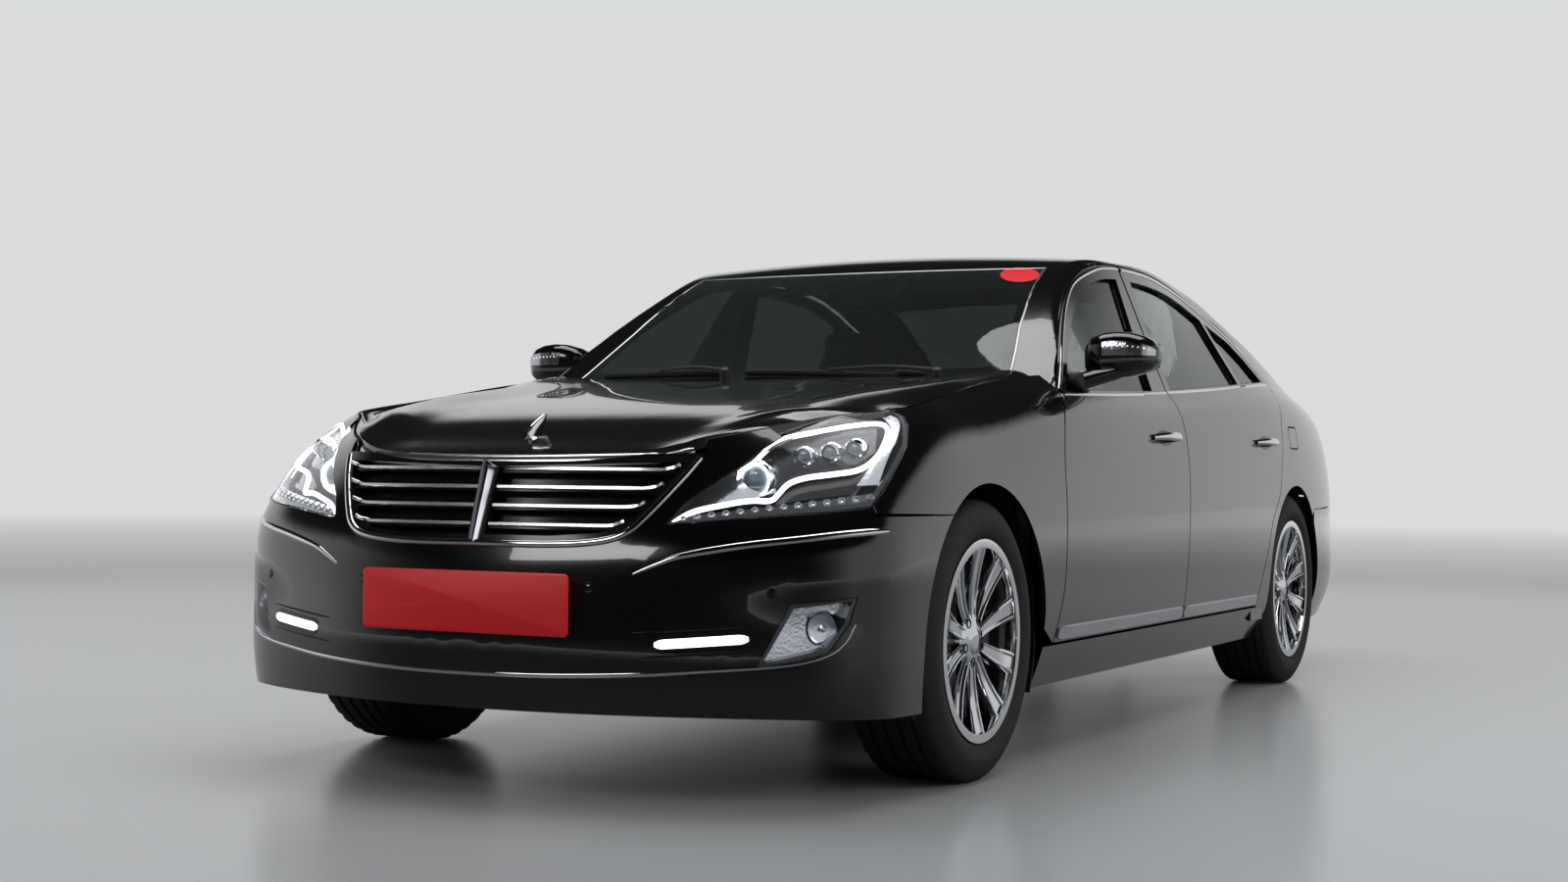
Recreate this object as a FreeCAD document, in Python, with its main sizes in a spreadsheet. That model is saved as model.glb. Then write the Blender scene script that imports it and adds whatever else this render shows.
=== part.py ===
import FreeCAD, Part
import math
import os
import re
from types import SimpleNamespace
import Sketcher
from FreeCAD import Placement, Rotation, Vector

# Full-size four-door sedan. Frame: +X forward, +Y to the car's left, +Z up,
# origin on the floor below the middle of the body. Lengths in millimetres.

os.makedirs("parts", exist_ok=True)
document = FreeCAD.newDocument("Sedan")

# Driving sizes: name, value
SIZES = [
    ("overall_length", 5160),
    ("body_width", 1900),
    ("overall_height", 1495),
    ("wheelbase", 3045),
    ("front_overhang", 915),
    ("front_track", 1620),
    ("rear_track", 1628),
    ("tyre_radius", 351.5),
    ("tyre_width", 245),
    ("tyre_flank_radius", 300),
    ("tyre_tread_inset", 26),
    ("tyre_bead_inset", 15),
    ("tyre_bead_drop", 12),
    ("rim_flange_radius", 253.5),
    ("rim_flange_thickness", 6.5),
    ("rim_barrel_radius", 241),
    ("rim_wall", 10),
    ("bead_clearance", 0.3),
    ("spoke_count", 10),
    ("spoke_root_width", 34),
    ("spoke_tip_width", 62),
    ("spoke_root_radius", 52),
    ("spoke_thickness", 26),
    ("spoke_face_inset", 22),
    ("hub_radius", 76),
    ("hub_back", 100),
    ("hub_face_inset", 26),
    ("hub_chamfer", 12),
    ("disc_radius", 165),
    ("disc_thickness", 26),
    ("disc_back", 122),
    ("bearing_gap", 0.5),
    ("front_arch_radius", 392),
    ("front_arch_setback", 15),
    ("rear_arch_radius", 385),
    ("rear_arch_setback", 20),
    ("liner_radius", 412),
    ("liner_wall", 5),
    ("liner_inner_face", 470),
    ("liner_low", 190),
    ("rear_liner_radius", 407),
    ("rail_y", 385),
    ("front_rail_height", 400),
    ("support_x", 2290),
    ("support_low", 250),
    ("support_top", 640),
    ("cowl_length", 62),
    ("cowl_drop", 26),
    ("seat_bulkhead_x", -1230),
    ("shelf_height", 1052),
    ("shelf_half_width", 610),
    ("gutter_half_width", 700),
    ("flap_round", 16),
    ("rear_liner_inner_face", 560),
    ("skin_thickness", 12),
    ("shut_gap", 6),
    ("seam_gap", 0.4),
    ("door_thickness", 125),
    ("door_core_inset", 24),
    ("door_bottom_height", 315),
    ("sill_top_height", 307),
    ("sill_inner_face", 780),
    ("frame_thickness", 36),
    ("frame_band", 44),
    ("frame_lap", 36),
    ("frame_relief", 8),
    ("rail_depth", 28),
    ("post_gap", 14),
    ("post_setback", 45),
    ("pillar_length", 95),
    ("waist_pillar_height", 1000),
    ("sill_joint_length", 100),
    ("sill_joint_setback", 22),
    ("cowl_rise", 14),
    ("cowl_width", 115),
    ("mirror_round", 40),
    ("mirror_stalk", 70),
    ("pillar_thickness", 62),
    ("roof_thickness", 34),
    ("glass_thickness", 5),
    ("glass_depth", 14),
    ("corner_round", 44),
    ("tail_lamp_depth", 40),
    ("headlamp_depth", 110),
    ("fog_lamp_depth", 80),
    ("hood_thickness", 24),
    ("lid_thickness", 24),
    ("lid_swing", 75),
    ("floor_height", 190),
    ("floor_thickness", 45),
    ("floor_half_width", 775),
    ("floor_front", 1120),
    ("floor_rear", -960),
    ("tunnel_width", 260),
    ("tunnel_height", 150),
    ("boot_floor_height", 440),
    ("boot_floor_thickness", 30),
    ("boot_floor_rear", -2440),
    ("boot_half_width", 562),
    ("firewall_thickness", 20),
    ("firewall_top", 1015),
    ("engine_length", 620),
    ("engine_width", 560),
    ("engine_height", 520),
    ("engine_base", 208.8),
    ("engine_front", 1960),
    ("door_swing", 65),
    ("steering_wheel_radius", 190),
    ("steering_rim_radius", 15),
    ("steering_hub_radius", 62),
    ("steering_hub_depth", 50),
    ("steering_spoke_width", 34),
    ("steering_spoke_depth", 18),
    ("dashboard_top", 975),
    ("dashboard_lip_x", 700),
    ("dashboard_lip_height", 960),
    ("dashboard_face_x", 645),
    ("dashboard_face_top", 900),
    ("dashboard_face_low", 800),
    ("dashboard_knee_x", 760),
    ("dashboard_knee_height", 690),
    ("dashboard_low", 640),
    ("dashboard_half_width", 735),
    ("steering_centre_x", 480),
    ("steering_centre_y", 380),
    ("steering_centre_z", 860),
    ("steering_rake", 26),
    ("column_radius", 28),
    ("column_length", 320),
    ("mirror_length", 130),
    ("mirror_width", 168),
    ("mirror_height", 145),
    ("mirror_x", 715),
    ("mirror_y", 1070),
    ("mirror_z", 1118),
    ("knuckle_width", 56),
    ("knuckle_height", 270),
    ("knuckle_length", 80),
    ("kingpin_y", 760),
    ("bearing_radius", 56),
    ("arm_width", 60),
    ("arm_clearance", 8),
    ("rail_width", 60),
    ("rail_inset", 5),
    ("carrier_height", 220),
    ("cradle_half_width", 300),
    ("tower_length", 200),
    ("arm_thickness", 36),
    ("pin_radius", 16),
    ("strut_radius", 34),
    ("strut_y", 590),
    ("strut_top", 800),
    ("exhaust_radius", 32),
    ("silencer_radius", 95),
    ("silencer_length", 1000),
    ("exhaust_height", 205),
    ("seat_gap", 0.5),
    ("lamp_lens_thickness", 5),
    ("lamp_housing_depth", 150),
    ("slat_count", 4),
    ("slat_height", 14),
    ("slat_depth", 26),
    ("grille_bar_width", 46),
]

sheet = document.addObject("Spreadsheet::Sheet", "Sizes")
for row, (name, value) in enumerate(SIZES, start=1):
    sheet.set(f"A{row}", name)
    sheet.set(f"B{row}", str(value))
    sheet.setAlias(f"B{row}", name)
document.recompute()
car = SimpleNamespace(**{name: float(sheet.get(name)) for name, _ in SIZES})

half_length = car.overall_length / 2
half_width = car.body_width / 2
front_axle = half_length - car.front_overhang
rear_axle = front_axle - car.wheelbase
axle_height = car.tyre_radius


class Curve:
    """Smooth line through hand-picked values, straight past its ends."""

    def __init__(self, knots, values):
        pairs = sorted(zip(knots, values))
        self.knots = [knot for knot, _ in pairs]
        self.values = [value for _, value in pairs]
        count = len(pairs)
        self.bends = [0.0] * count
        upper = [0.0] * count
        right = [0.0] * count
        for i in range(1, count - 1):
            before = self.knots[i] - self.knots[i - 1]
            after = self.knots[i + 1] - self.knots[i]
            slopes = (self.values[i + 1] - self.values[i]) / after
            slopes -= (self.values[i] - self.values[i - 1]) / before
            pivot = 2 * (before + after) - before * upper[i - 1]
            upper[i] = after / pivot
            right[i] = (6 * slopes - before * right[i - 1]) / pivot
        for i in range(count - 2, 0, -1):
            self.bends[i] = right[i] - upper[i] * self.bends[i + 1]

    def at(self, place):
        knots, values, bends = self.knots, self.values, self.bends
        low, high = 0, len(knots) - 2
        while low < high:
            middle = (low + high + 1) // 2
            if knots[middle] <= place:
                low = middle
            else:
                high = middle - 1
        span = knots[low + 1] - knots[low]
        rise = (values[low + 1] - values[low]) / span
        if place < knots[0]:
            slope = rise - span * bends[low + 1] / 6
            return values[0] + slope * (place - knots[0])
        if place > knots[-1]:
            slope = rise + span * bends[low] / 6
            return values[-1] + slope * (place - knots[-1])
        left = (knots[low + 1] - place) / span
        part = (place - knots[low]) / span
        sag = (left ** 3 - left) * bends[low] + (part ** 3 - part) * bends[low + 1]
        return left * values[low] + part * values[low + 1] + sag * span * span / 6


def solve(function, target, low, high):
    """Place between low and high where a rising function meets the target."""
    for _ in range(28):
        middle = (low + high) / 2
        if function(middle) < target:
            low = middle
        else:
            high = middle
    return (low + high) / 2


def spread(start, end, count):
    return [start + (end - start) * i / (count - 1) for i in range(count)]


# Plan of the body at its waist, nose to tail: shares of length and half width
PLAN_shares = [
    (0.4973, 0.0), (0.4934, 0.3158), (0.4860, 0.4842), (0.4705, 0.7011), (0.4554, 0.8421),
    (0.4341, 0.9474), (0.4031, 0.9811), (0.3227, 0.9895), (0.1938, 0.9937), (0.0039, 0.9979),
    (-0.1744, 0.9979), (-0.2674, 0.9947), (-0.3682, 0.9768), (-0.4264, 0.9347),
    (-0.4603, 0.8653), (-0.4797, 0.7368), (-0.4907, 0.4947), (-0.4973, 0.0),
]
# Upper edge of the body at the same stations
TOP_EDGE_shares = [
    (0.4760, 0.0), (0.4700, 0.3158), (0.4583, 0.4789), (0.4312, 0.6316), (0.4109, 0.7074),
    (0.3944, 0.7737), (0.3789, 0.8421), (0.3227, 0.8484), (0.1938, 0.8547), (0.0039, 0.9179),
    (-0.1744, 0.9074), (-0.2674, 0.8821), (-0.3682, 0.8316), (-0.4264, 0.8000),
    (-0.4545, 0.7632), (-0.4713, 0.6632), (-0.4810, 0.4421), (-0.4855, 0.0),
]
# Heights of that edge behind the hood, by station
TOP_HEIGHT_shares = {
    9: 0.6930, 10: 0.7331, 11: 0.7478, 12: 0.7291, 13: 0.7023, 14: 0.6789, 15: 0.6622,
    16: 0.6589, 17: 0.6589,
}
# Lower guide lines: (station, height share) and (station, inset share of half width)
LOW_HEIGHT_shares = [
    [(0, 0.1438), (4, 0.1418), (6, 0.1371), (7, 0.1324), (8, 0.1304), (10, 0.1304), (11, 0.1338),
     (12, 0.1438), (14, 0.1572), (17, 0.1639)],
    [(0, 0.1953), (4, 0.2007), (6, 0.2127), (8, 0.2207), (11, 0.2207), (17, 0.2241)],
    [(0, 0.3010), (17, 0.3077)],
    [(0, 0.4013), (17, 0.4080)],
]
LOW_INSET_shares = [
    [(0, -0.0032), (4, 0.0084), (6, 0.0211), (7, 0.0474), (8, 0.0632), (10, 0.0632),
     (11, 0.0579), (12, 0.0526), (14, 0.0526), (17, 0.0579)],
    [(0, -0.0084), (4, -0.0021), (6, 0.0053), (8, 0.0147), (11, 0.0126), (14, 0.0105),
     (17, 0.0053)],
    [(0, 0.0), (8, 0.0011), (17, 0.0)],
    [(0, 0.0400), (2, 0.0284), (4, 0.0105), (6, 0.0032), (8, 0.0), (11, 0.0), (14, 0.0042),
     (17, 0.0084)],
]
# Shoulder guide lines between waist and upper edge: shares of the way in and up
SHOULDER_IN_shares = [
    [(0, 0.33), (3, 0.30), (5, 0.16), (7, 0.05), (9, 0.03), (11, 0.03), (13, 0.08), (17, 0.15)],
    [(0, 0.64), (3, 0.60), (5, 0.42), (7, 0.22), (9, 0.16), (11, 0.18), (13, 0.28), (17, 0.40)],
    [(0, 0.84), (3, 0.82), (5, 0.70), (7, 0.52), (9, 0.46), (11, 0.48), (13, 0.56), (17, 0.68)],
]
SHOULDER_UP_shares = [0.35, 0.66, 0.86]
# Hood: centreline places and heights, crest line places and half widths
HOOD_LINE_shares = [
    (0.1744, 0.7104), (0.2190, 0.6970), (0.2713, 0.6729), (0.3488, 0.6375), (0.3876, 0.6167),
    (0.4244, 0.5873), (0.4463, 0.5619), (0.4612, 0.5472), (0.4760, 0.5304), (0.4845, 0.5191),
]
CREST_shares = [
    (0.1744, 0.7526), (0.1938, 0.7368), (0.2713, 0.6842), (0.3488, 0.6295), (0.4244, 0.5632),
    (0.4535, 0.5263),
]
hood_fall_share = 0.0107
crest_rise_share = 0.0094
crest_spread_share = 0.0737
# Canopy: centreline places and heights, and the fall to the sides
CANOPY_LINE_shares = [
    (0.2403, 0.6488), (0.2190, 0.6890), (0.1744, 0.7699), (0.1357, 0.8460), (0.0736, 0.9552),
    (0.0548, 0.9752), (0.0, 0.9926), (-0.0581, 1.0), (-0.1357, 0.9906), (-0.1938, 0.9672),
    (-0.2374, 0.9204), (-0.3062, 0.8369), (-0.3498, 0.7740), (-0.3721, 0.7438),
    (-0.3876, 0.7144),
]
CANOPY_FALL_shares = [
    (0.2190, 0.0401), (0.1913, 0.0368), (0.1357, 0.0200), (0.0736, 0.0150), (0.0, 0.0181),
    (-0.1357, 0.0187), (-0.2374, 0.0201), (-0.3062, 0.0187), (-0.3682, 0.0201),
]
canopy_reach_share = 0.6842
# Side glass: waistline height and half width, and lean, along the car
WAIST_HEIGHT_shares = [
    (0.2132, 0.6622), (0.1899, 0.6642), (0.0116, 0.6863), (-0.0547, 0.6983),
    (-0.1655, 0.7244), (-0.2364, 0.7425), (-0.2674, 0.7478), (-0.3682, 0.7291),
]
WAIST_WIDTH_shares = [
    (0.2132, 0.9074), (0.1899, 0.9137), (0.0969, 0.9189), (0.0, 0.9189), (-0.1163, 0.9137),
    (-0.1938, 0.9021), (-0.2674, 0.8821), (-0.3682, 0.8316),
]
LEAN_shares = [
    (0.1899, 0.50), (0.0979, 0.53), (0.0709, 0.50), (0.0, 0.45), (-0.0705, 0.455),
    (-0.1401, 0.53), (-0.2093, 0.60), (-0.2802, 0.66), (-0.3682, 0.68),
]
# Inner edge of the pillars and roof rails along the car
RAIL_EDGE_shares = [
    (0.1913, 0.7663), (0.0733, 0.6411), (0.0388, 0.6442), (0.0, 0.6526), (-0.0581, 0.6547),
    (-0.1357, 0.6442), (-0.1938, 0.6211), (-0.2713, 0.6684), (-0.3585, 0.7411),
]
# Upper shut line of the doors along the car, forward to rear
DOOR_TOP_shares = [
    (0.1938, 0.6656), (0.1502, 0.7726), (0.0979, 0.8756), (0.0709, 0.9211), (0.0320, 0.9565),
    (-0.0070, 0.9659), (-0.0705, 0.9645), (-0.1374, 0.9398), (-0.1946, 0.8903),
    (-0.2331, 0.8388), (-0.2490, 0.7873), (-0.2587, 0.7505),
]
# The same line goes on along the waist behind the doors
RAIL_FOOT_shares = DOOR_TOP_shares + [(-0.2713, 0.7478), (-0.2907, 0.7452), (-0.3682, 0.7291)]
# Shut lines of the doors: places along the car and heights
FRONT_EDGE_shares = [
    (0.2271, 0.2107), (0.2262, 0.2247), (0.2190, 0.3010), (0.2157, 0.3900), (0.2155, 0.4682),
    (0.2147, 0.5552), (0.2103, 0.5886), (0.2035, 0.6221), (0.1909, 0.6622),
]
MIDDLE_EDGE_shares = [
    (0.0054, 0.2107), (0.0029, 0.2676), (-0.0029, 0.4013), (-0.0039, 0.4682), (-0.0019, 0.5820),
    (0.0008, 0.6863), (-0.0058, 0.8361), (-0.0107, 0.9732),
]
REAR_EDGE_shares = [
    (-0.1686, 0.2107), (-0.1723, 0.2508), (-0.1922, 0.3552), (-0.2047, 0.4201),
    (-0.2231, 0.4796), (-0.2283, 0.5338), (-0.2349, 0.5886), (-0.2393, 0.6421),
    (-0.2500, 0.6957), (-0.2607, 0.7438),
]
# Headlamp outline on the skin: shares of length, half width and height
HEADLAMP_shares = [
    (0.4758, 0.4905, 0.4301), (0.4671, 0.5211, 0.4662), (0.4560, 0.5737, 0.4983),
    (0.4390, 0.6263, 0.5405), (0.4248, 0.6684, 0.5700), (0.4031, 0.7368, 0.5990),
    (0.3905, 0.7926, 0.6110), (0.3806, 0.8368, 0.6180), (0.3769, 0.8695, 0.6074),
    (0.3822, 0.8958, 0.5893), (0.3934, 0.9200, 0.5545), (0.4110, 0.9284, 0.5090),
    (0.4293, 0.9179, 0.4589), (0.4450, 0.8305, 0.4495), (0.4614, 0.6663, 0.4415),
]
FOG_LAMP_shares = [
    (0.4618, 0.7895, 0.3157), (0.4424, 0.9189, 0.3258), (0.4452, 0.9053, 0.2849),
    (0.4525, 0.8653, 0.2381), (0.4694, 0.7253, 0.2201),
]
TAIL_LAMP_shares = [
    (-0.4360, 0.9200, 0.5750), (-0.4420, 0.9000, 0.6290), (-0.4710, 0.6700, 0.6350),
    (-0.4830, 0.5300, 0.6290), (-0.4850, 0.5200, 0.4950), (-0.4790, 0.7300, 0.4880),
    (-0.4600, 0.8700, 0.5020), (-0.4450, 0.9200, 0.5250),
]
# Top line of the rear bumper along the car, forward to rear
BUMPER_TOP_shares = [
    (-0.5, 0.4650), (-0.4748, 0.4620), (-0.4457, 0.4395), (-0.3295, 0.4301),
]
# Grille opening seen from the front, centre to top corner
GRILLE_shares = [
    (0.0, 0.3960), (0.2116, 0.3960), (0.3442, 0.4020), (0.4116, 0.4161), (0.4526, 0.4448),
    (0.5084, 0.4990), (0.5379, 0.5405),
]


def along(shares, base):
    """Curve over lengthwise places given as shares of the overall length."""
    return Curve([a * car.overall_length for a, _ in shares], [b * base for _, b in shares])


hood_line = along(HOOD_LINE_shares, car.overall_height)
crest_line = along(CREST_shares, half_width)
canopy_line = along(CANOPY_LINE_shares, car.overall_height)
canopy_fall = along(CANOPY_FALL_shares, car.overall_height)
waist_height = along(WAIST_HEIGHT_shares, car.overall_height)
waist_width = along(WAIST_WIDTH_shares, half_width)
glass_lean = along(LEAN_shares, 1.0)
rail_edge = along(RAIL_EDGE_shares, half_width)
door_top = along(DOOR_TOP_shares, car.overall_height)
rail_foot = along(RAIL_FOOT_shares, car.overall_height)


def hood_height(x, y):
    aside = abs(y) / half_width
    crest = crest_line.at(x) / half_width
    ridge = crest_rise_share * math.exp(-((aside - crest) / crest_spread_share) ** 2)
    fade = min(1.0, max(0.0, (hood_nose - x) / (hood_nose - crest_end)))
    return hood_line.at(x) + car.overall_height * (ridge * fade - hood_fall_share * aside ** 2)


hood_nose = TOP_EDGE_shares[0][0] * car.overall_length
crest_end = CREST_shares[-1][0] * car.overall_length


def canopy_height(x, y):
    reach = canopy_reach_share * half_width
    return canopy_line.at(x) - canopy_fall.at(x) * (y / reach) ** 2


def glass_side(x, z):
    return waist_width.at(x) - glass_lean.at(x) * (z - waist_height.at(x))


def rail_corner(x):
    """Where the side glass plane meets the canopy."""
    def above(z):
        return z - canopy_height(x, glass_side(x, z))
    z = solve(above, 0.0, waist_height.at(x), car.overall_height)
    return glass_side(x, z), z


class Wrap:
    """Lower body skin from nose to tail on the left, by girth and height."""

    MIRRORED = 5

    def __init__(self):
        plan = [(a * car.overall_length, b * half_width) for a, b in PLAN_shares]
        edge = [(a * car.overall_length, b * half_width) for a, b in TOP_EDGE_shares]
        heights = []
        for index, (x, y) in enumerate(edge):
            if index in TOP_HEIGHT_shares:
                heights.append(TOP_HEIGHT_shares[index] * car.overall_height)
            else:
                heights.append(hood_height(x, y))
        plan = self.both_sides(plan)
        edge = self.both_sides(edge)
        heights = self.both_sides([(z, 0.0) for z in heights])
        girth = [0.0]
        for (x0, y0), (x1, y1) in zip(plan, plan[1:]):
            girth.append(girth[-1] + math.hypot(x1 - x0, y1 - y0))
        girth = [g - girth[self.MIRRORED] for g in girth]
        self.stations = girth[self.MIRRORED:-self.MIRRORED]
        self.plan_x = Curve(girth, [x for x, _ in plan])
        self.plan_y = Curve(girth, [y for _, y in plan])
        self.edge_x = Curve(girth, [x for x, _ in edge])
        self.edge_y = Curve(girth, [y for _, y in edge])
        self.edge_z = Curve(girth, [z for z, _ in heights])
        self.low_z = [self.line(rows, car.overall_height) for rows in LOW_HEIGHT_shares]
        self.low_in = [self.line(rows, half_width) for rows in LOW_INSET_shares]
        self.shoulder_in = [self.line(rows, 1.0) for rows in SHOULDER_IN_shares]

    def both_sides(self, points):
        last = len(points) - 1
        count = range(1, self.MIRRORED + 1)
        before = [(points[k][0], -points[k][1]) for k in reversed(count)]
        after = [(points[last - k][0], -points[last - k][1]) for k in count]
        return before + points + after

    def station(self, number):
        low = min(int(number), len(self.stations) - 2)
        span = self.stations[low + 1] - self.stations[low]
        return self.stations[low] + (number - low) * span

    def line(self, rows, base):
        places = [self.station(number) for number, _ in rows]
        values = [share * base for _, share in rows]
        places = [-places[1]] + places + [2 * places[-1] - places[-2]]
        values = [values[1]] + values + [values[-2]]
        return Curve(places, values)

    def section(self, girth):
        """Curves of x, y and z up the skin at one girth, and their length."""
        x, y = self.plan_x.at(girth), self.plan_y.at(girth)
        dx = self.plan_x.at(girth + 1) - self.plan_x.at(girth - 1)
        dy = self.plan_y.at(girth + 1) - self.plan_y.at(girth - 1)
        size = math.hypot(dx, dy)
        out_x, out_y = dy / size, -dx / size
        points = []
        for height, inset in zip(self.low_z, self.low_in):
            way = inset.at(girth)
            points.append((x - out_x * way, y - out_y * way, height.at(girth)))
        foot = points[-1]
        edge = (self.edge_x.at(girth), self.edge_y.at(girth), self.edge_z.at(girth))
        for inward, upward in zip(self.shoulder_in, SHOULDER_UP_shares):
            share = inward.at(girth)
            points.append((
                foot[0] + (edge[0] - foot[0]) * share,
                foot[1] + (edge[1] - foot[1]) * share,
                foot[2] + (edge[2] - foot[2]) * upward,
            ))
        points.append(edge)
        length = [0.0]
        for a, b in zip(points, points[1:]):
            length.append(length[-1] + math.dist(a, b))
        return [Curve(length, [p[axis] for p in points]) for axis in range(3)], length[-1]

    def at_share(self, girth, share):
        curves, length = self.section(girth)
        return Vector(*(curve.at(share * length) for curve in curves))

    def at_height(self, girth, z):
        curves, length = self.section(girth)
        place = solve(curves[2].at, z, 0.0, length)
        return Vector(curves[0].at(place), curves[1].at(place), curves[2].at(place))

    def girth_at(self, x, z):
        low, high = self.station(4), self.station(15)
        return solve(lambda girth: -self.at_height(girth, z).x, -x, low, high)

    def side(self, x, z):
        return self.at_height(self.girth_at(x, z), z)


wrap = Wrap()


# Solids from grids of points

def surface_face(grid):
    surface = Part.BSplineSurface()
    surface.interpolate(grid)
    return surface.toShape()


def normals(grid):
    """Unit normals of a grid of points, from its neighbours."""
    rows, columns = len(grid), len(grid[0])
    result = []
    for i in range(rows):
        line = []
        for j in range(columns):
            along_rows = grid[min(i + 1, rows - 1)][j] - grid[max(i - 1, 0)][j]
            along_columns = grid[i][min(j + 1, columns - 1)] - grid[i][max(j - 1, 0)]
            normal = along_rows.cross(along_columns)
            normal.normalize()
            line.append(normal)
        result.append(line)
    return result


def shifted(grid, depth, inside):
    """Grid moved along its normals, towards the point inside."""
    result = []
    for points, directions in zip(grid, normals(grid)):
        line = []
        for point, direction in zip(points, directions):
            sign = 1.0 if direction.dot(inside - point) > 0 else -1.0
            line.append(point + direction * (depth * sign))
        result.append(line)
    return result


def wall(outer, inner):
    """Solid between two grids of points."""
    def rim(grid):
        return [grid[0], [line[-1] for line in grid], grid[-1], [line[0] for line in grid]]
    faces = [surface_face(outer), surface_face(inner)]
    outer_edges = faces[0].Edges
    inner_edges = faces[1].Edges
    for line_out, line_in in zip(rim(outer), rim(inner)):
        first = nearest_edge(outer_edges, line_out)
        second = nearest_edge(inner_edges, line_in)
        faces.append(Part.makeRuledSurface(first, second, 1))
    shell = Part.Shell(faces)
    shell.sewShape()
    solid = Part.Solid(shell)
    if solid.Volume < 0:
        solid.reverse()
    return solid


def nearest_edge(edges, line):
    """Edge whose ends are the line's ends."""
    def distance(edge):
        low, high = (edge.valueAt(place) for place in edge.ParameterRange)
        same = (low - line[0]).Length + (high - line[-1]).Length
        turned = (low - line[-1]).Length + (high - line[0]).Length
        return min(same, turned)
    return min(edges, key=distance)


def mirrored(shape):
    return shape.mirror(Vector(0, 0, 0), Vector(0, 1, 0))


def prism(points, direction):
    """Solid swept from a closed outline of straight lines."""
    wire = Part.makePolygon(points + [points[0]])
    return Part.Face(wire).extrude(direction)


def side_prism(outline, y_from, y_to):
    """Prism across the car from an outline of (x, z) points."""
    return prism([Vector(x, y_from, z) for x, z in outline], Vector(0, y_to - y_from, 0))


def box(x0, x1, y0, y1, z0, z1):
    return Part.makeBox(x1 - x0, y1 - y0, z1 - z0, Vector(x0, y0, z0))


def across(radius, x, z, y_from, y_to):
    """Cylinder across the car."""
    return Part.makeCylinder(radius, y_to - y_from, Vector(x, y_from, z), Vector(0, 1, 0))


def solids(shape):
    return shape.Solids[0] if len(shape.Solids) == 1 else Part.makeCompound(shape.Solids)


def fused(first, *others):
    return solids(first.fuse(list(others)).removeSplitter())


nodes = []


def add_feature(name, shape):
    """Sub-part whose form is worked out from the sheet's sizes."""
    item = document.addObject("Part::Feature", name)
    item.Label = name
    item.Shape = shape
    nodes.append(item)
    return item


def pair(name, shape):
    add_feature(name + "_left", shape)
    add_feature(name + "_right", mirrored(shape))


def bound(kind, name, **bindings):
    """Object whose properties follow the sheet."""
    item = document.addObject(kind, name)
    bind(item, bindings)
    return item


def sheet_words(words):
    """Sum of aliases as an expression on the sheet."""
    aliases = "|".join(sorted((alias for alias, _ in SIZES), key=len, reverse=True))
    return re.sub(rf"\b({aliases})\b", r"Sizes.\1", words)


def bind(item, bindings):
    for target, words in bindings.items():
        item.setExpression(target.replace("__", "."), sheet_words(words))


def keep(item):
    """Counts an object among the sub-parts."""
    item.Label = item.Name
    nodes.append(item)


def reflected(name, source):
    item = document.addObject("Part::Mirroring", name)
    item.Source = source
    item.Normal = Vector(0, 1, 0)
    return item


def place_words(x, y, z):
    return {"Placement__Base__x": x, "Placement__Base__y": y, "Placement__Base__z": z}


def block(name, sizes, corner):
    """Box by its three sizes and its lowest corner, in words of the sheet."""
    length, width, height = sizes
    return bound("Part::Box", name, Length=length, Width=width, Height=height,
                 **place_words(*corner))


def rod(name, direction, radius, length, start):
    """Cylinder by its start, in words of the sheet."""
    item = document.addObject("Part::Cylinder", name)
    item.Placement = Placement(Vector(), Rotation(Vector(0, 0, 1), direction))
    bind(item, {"Radius": radius, "Height": length, **place_words(*start)})
    return item


def union(name, parts):
    item = document.addObject("Part::MultiFuse", name)
    item.Shapes = parts
    item.Refine = True
    return item


# Lower body skins

def skin_points(girth_from, girth_to, count, share_from=0.0, share_to=1.0, rows=15):
    shares = spread(share_from, share_to, rows)
    return [[wrap.at_share(g, share) for share in shares] for g in spread(girth_from, girth_to, count)]


def nose_points(girth, count, rows=15):
    """Skin across the nose, right to left."""
    left = skin_points(0.0, girth, count, rows=rows)
    right = [[Vector(p.x, -p.y, p.z) for p in line] for line in reversed(left[1:])]
    return right + left


def deepened(grid, depth):
    return shifted(grid, depth, Vector(0, 0, axle_height)) if depth else grid


def moved(grid, offset):
    return [[point + offset for point in line] for line in grid]


def skin_layer(grid, outer_depth, inner_depth):
    return wall(deepened(grid, outer_depth), deepened(grid, inner_depth))


far = 2 * half_width
high = 2 * car.overall_height
arch_front_x = front_axle - car.front_arch_setback
arch_rear_x = rear_axle - car.rear_arch_setback


def places(shares, dx=0.0, dz=0.0):
    return [(a * car.overall_length + dx, b * car.overall_height + dz) for a, b in shares]


def edge_places(shares, shift):
    """Close points along a shut line, moved along the car."""
    line = Curve([b * car.overall_height for _, b in shares],
                 [a * car.overall_length + shift for a, _ in shares])
    low, top = shares[0][1] * car.overall_height, shares[-1][1] * car.overall_height
    return [(line.at(z), z) for z in spread(low, top, 25)]


def slanted_prism(shares, degrees, grow, outward, inward):
    """Prism of an outline on the skin, swept along a level slanted direction."""
    turn = math.radians(degrees)
    way = Vector(math.cos(turn), math.sin(turn), 0)
    points = [
        Vector(a * car.overall_length, b * half_width, c * car.overall_height)
        for a, b, c in shares
    ]
    flat = [point - way * point.dot(way) for point in points]
    middle = sum(flat, Vector()) * (1 / len(flat))
    flat = [point + (point - middle).normalize() * grow for point in flat]
    level = sum(point.dot(way) for point in points) / len(points)
    start = [point + way * (level - inward) for point in flat]
    return prism(start, way * (inward + outward))


def top_edge_prism(inset):
    """Upright prism inside the body's upper edge."""
    girths = spread(0.0, wrap.stations[-1], 60)
    left = [Vector(wrap.edge_x.at(g), wrap.edge_y.at(g) - inset, 0) for g in girths]
    left = [point for point in left if point.y > 0]
    right = [Vector(p.x, -p.y, 0) for p in reversed(left)]
    return prism(left + right, Vector(0, 0, high))


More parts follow.
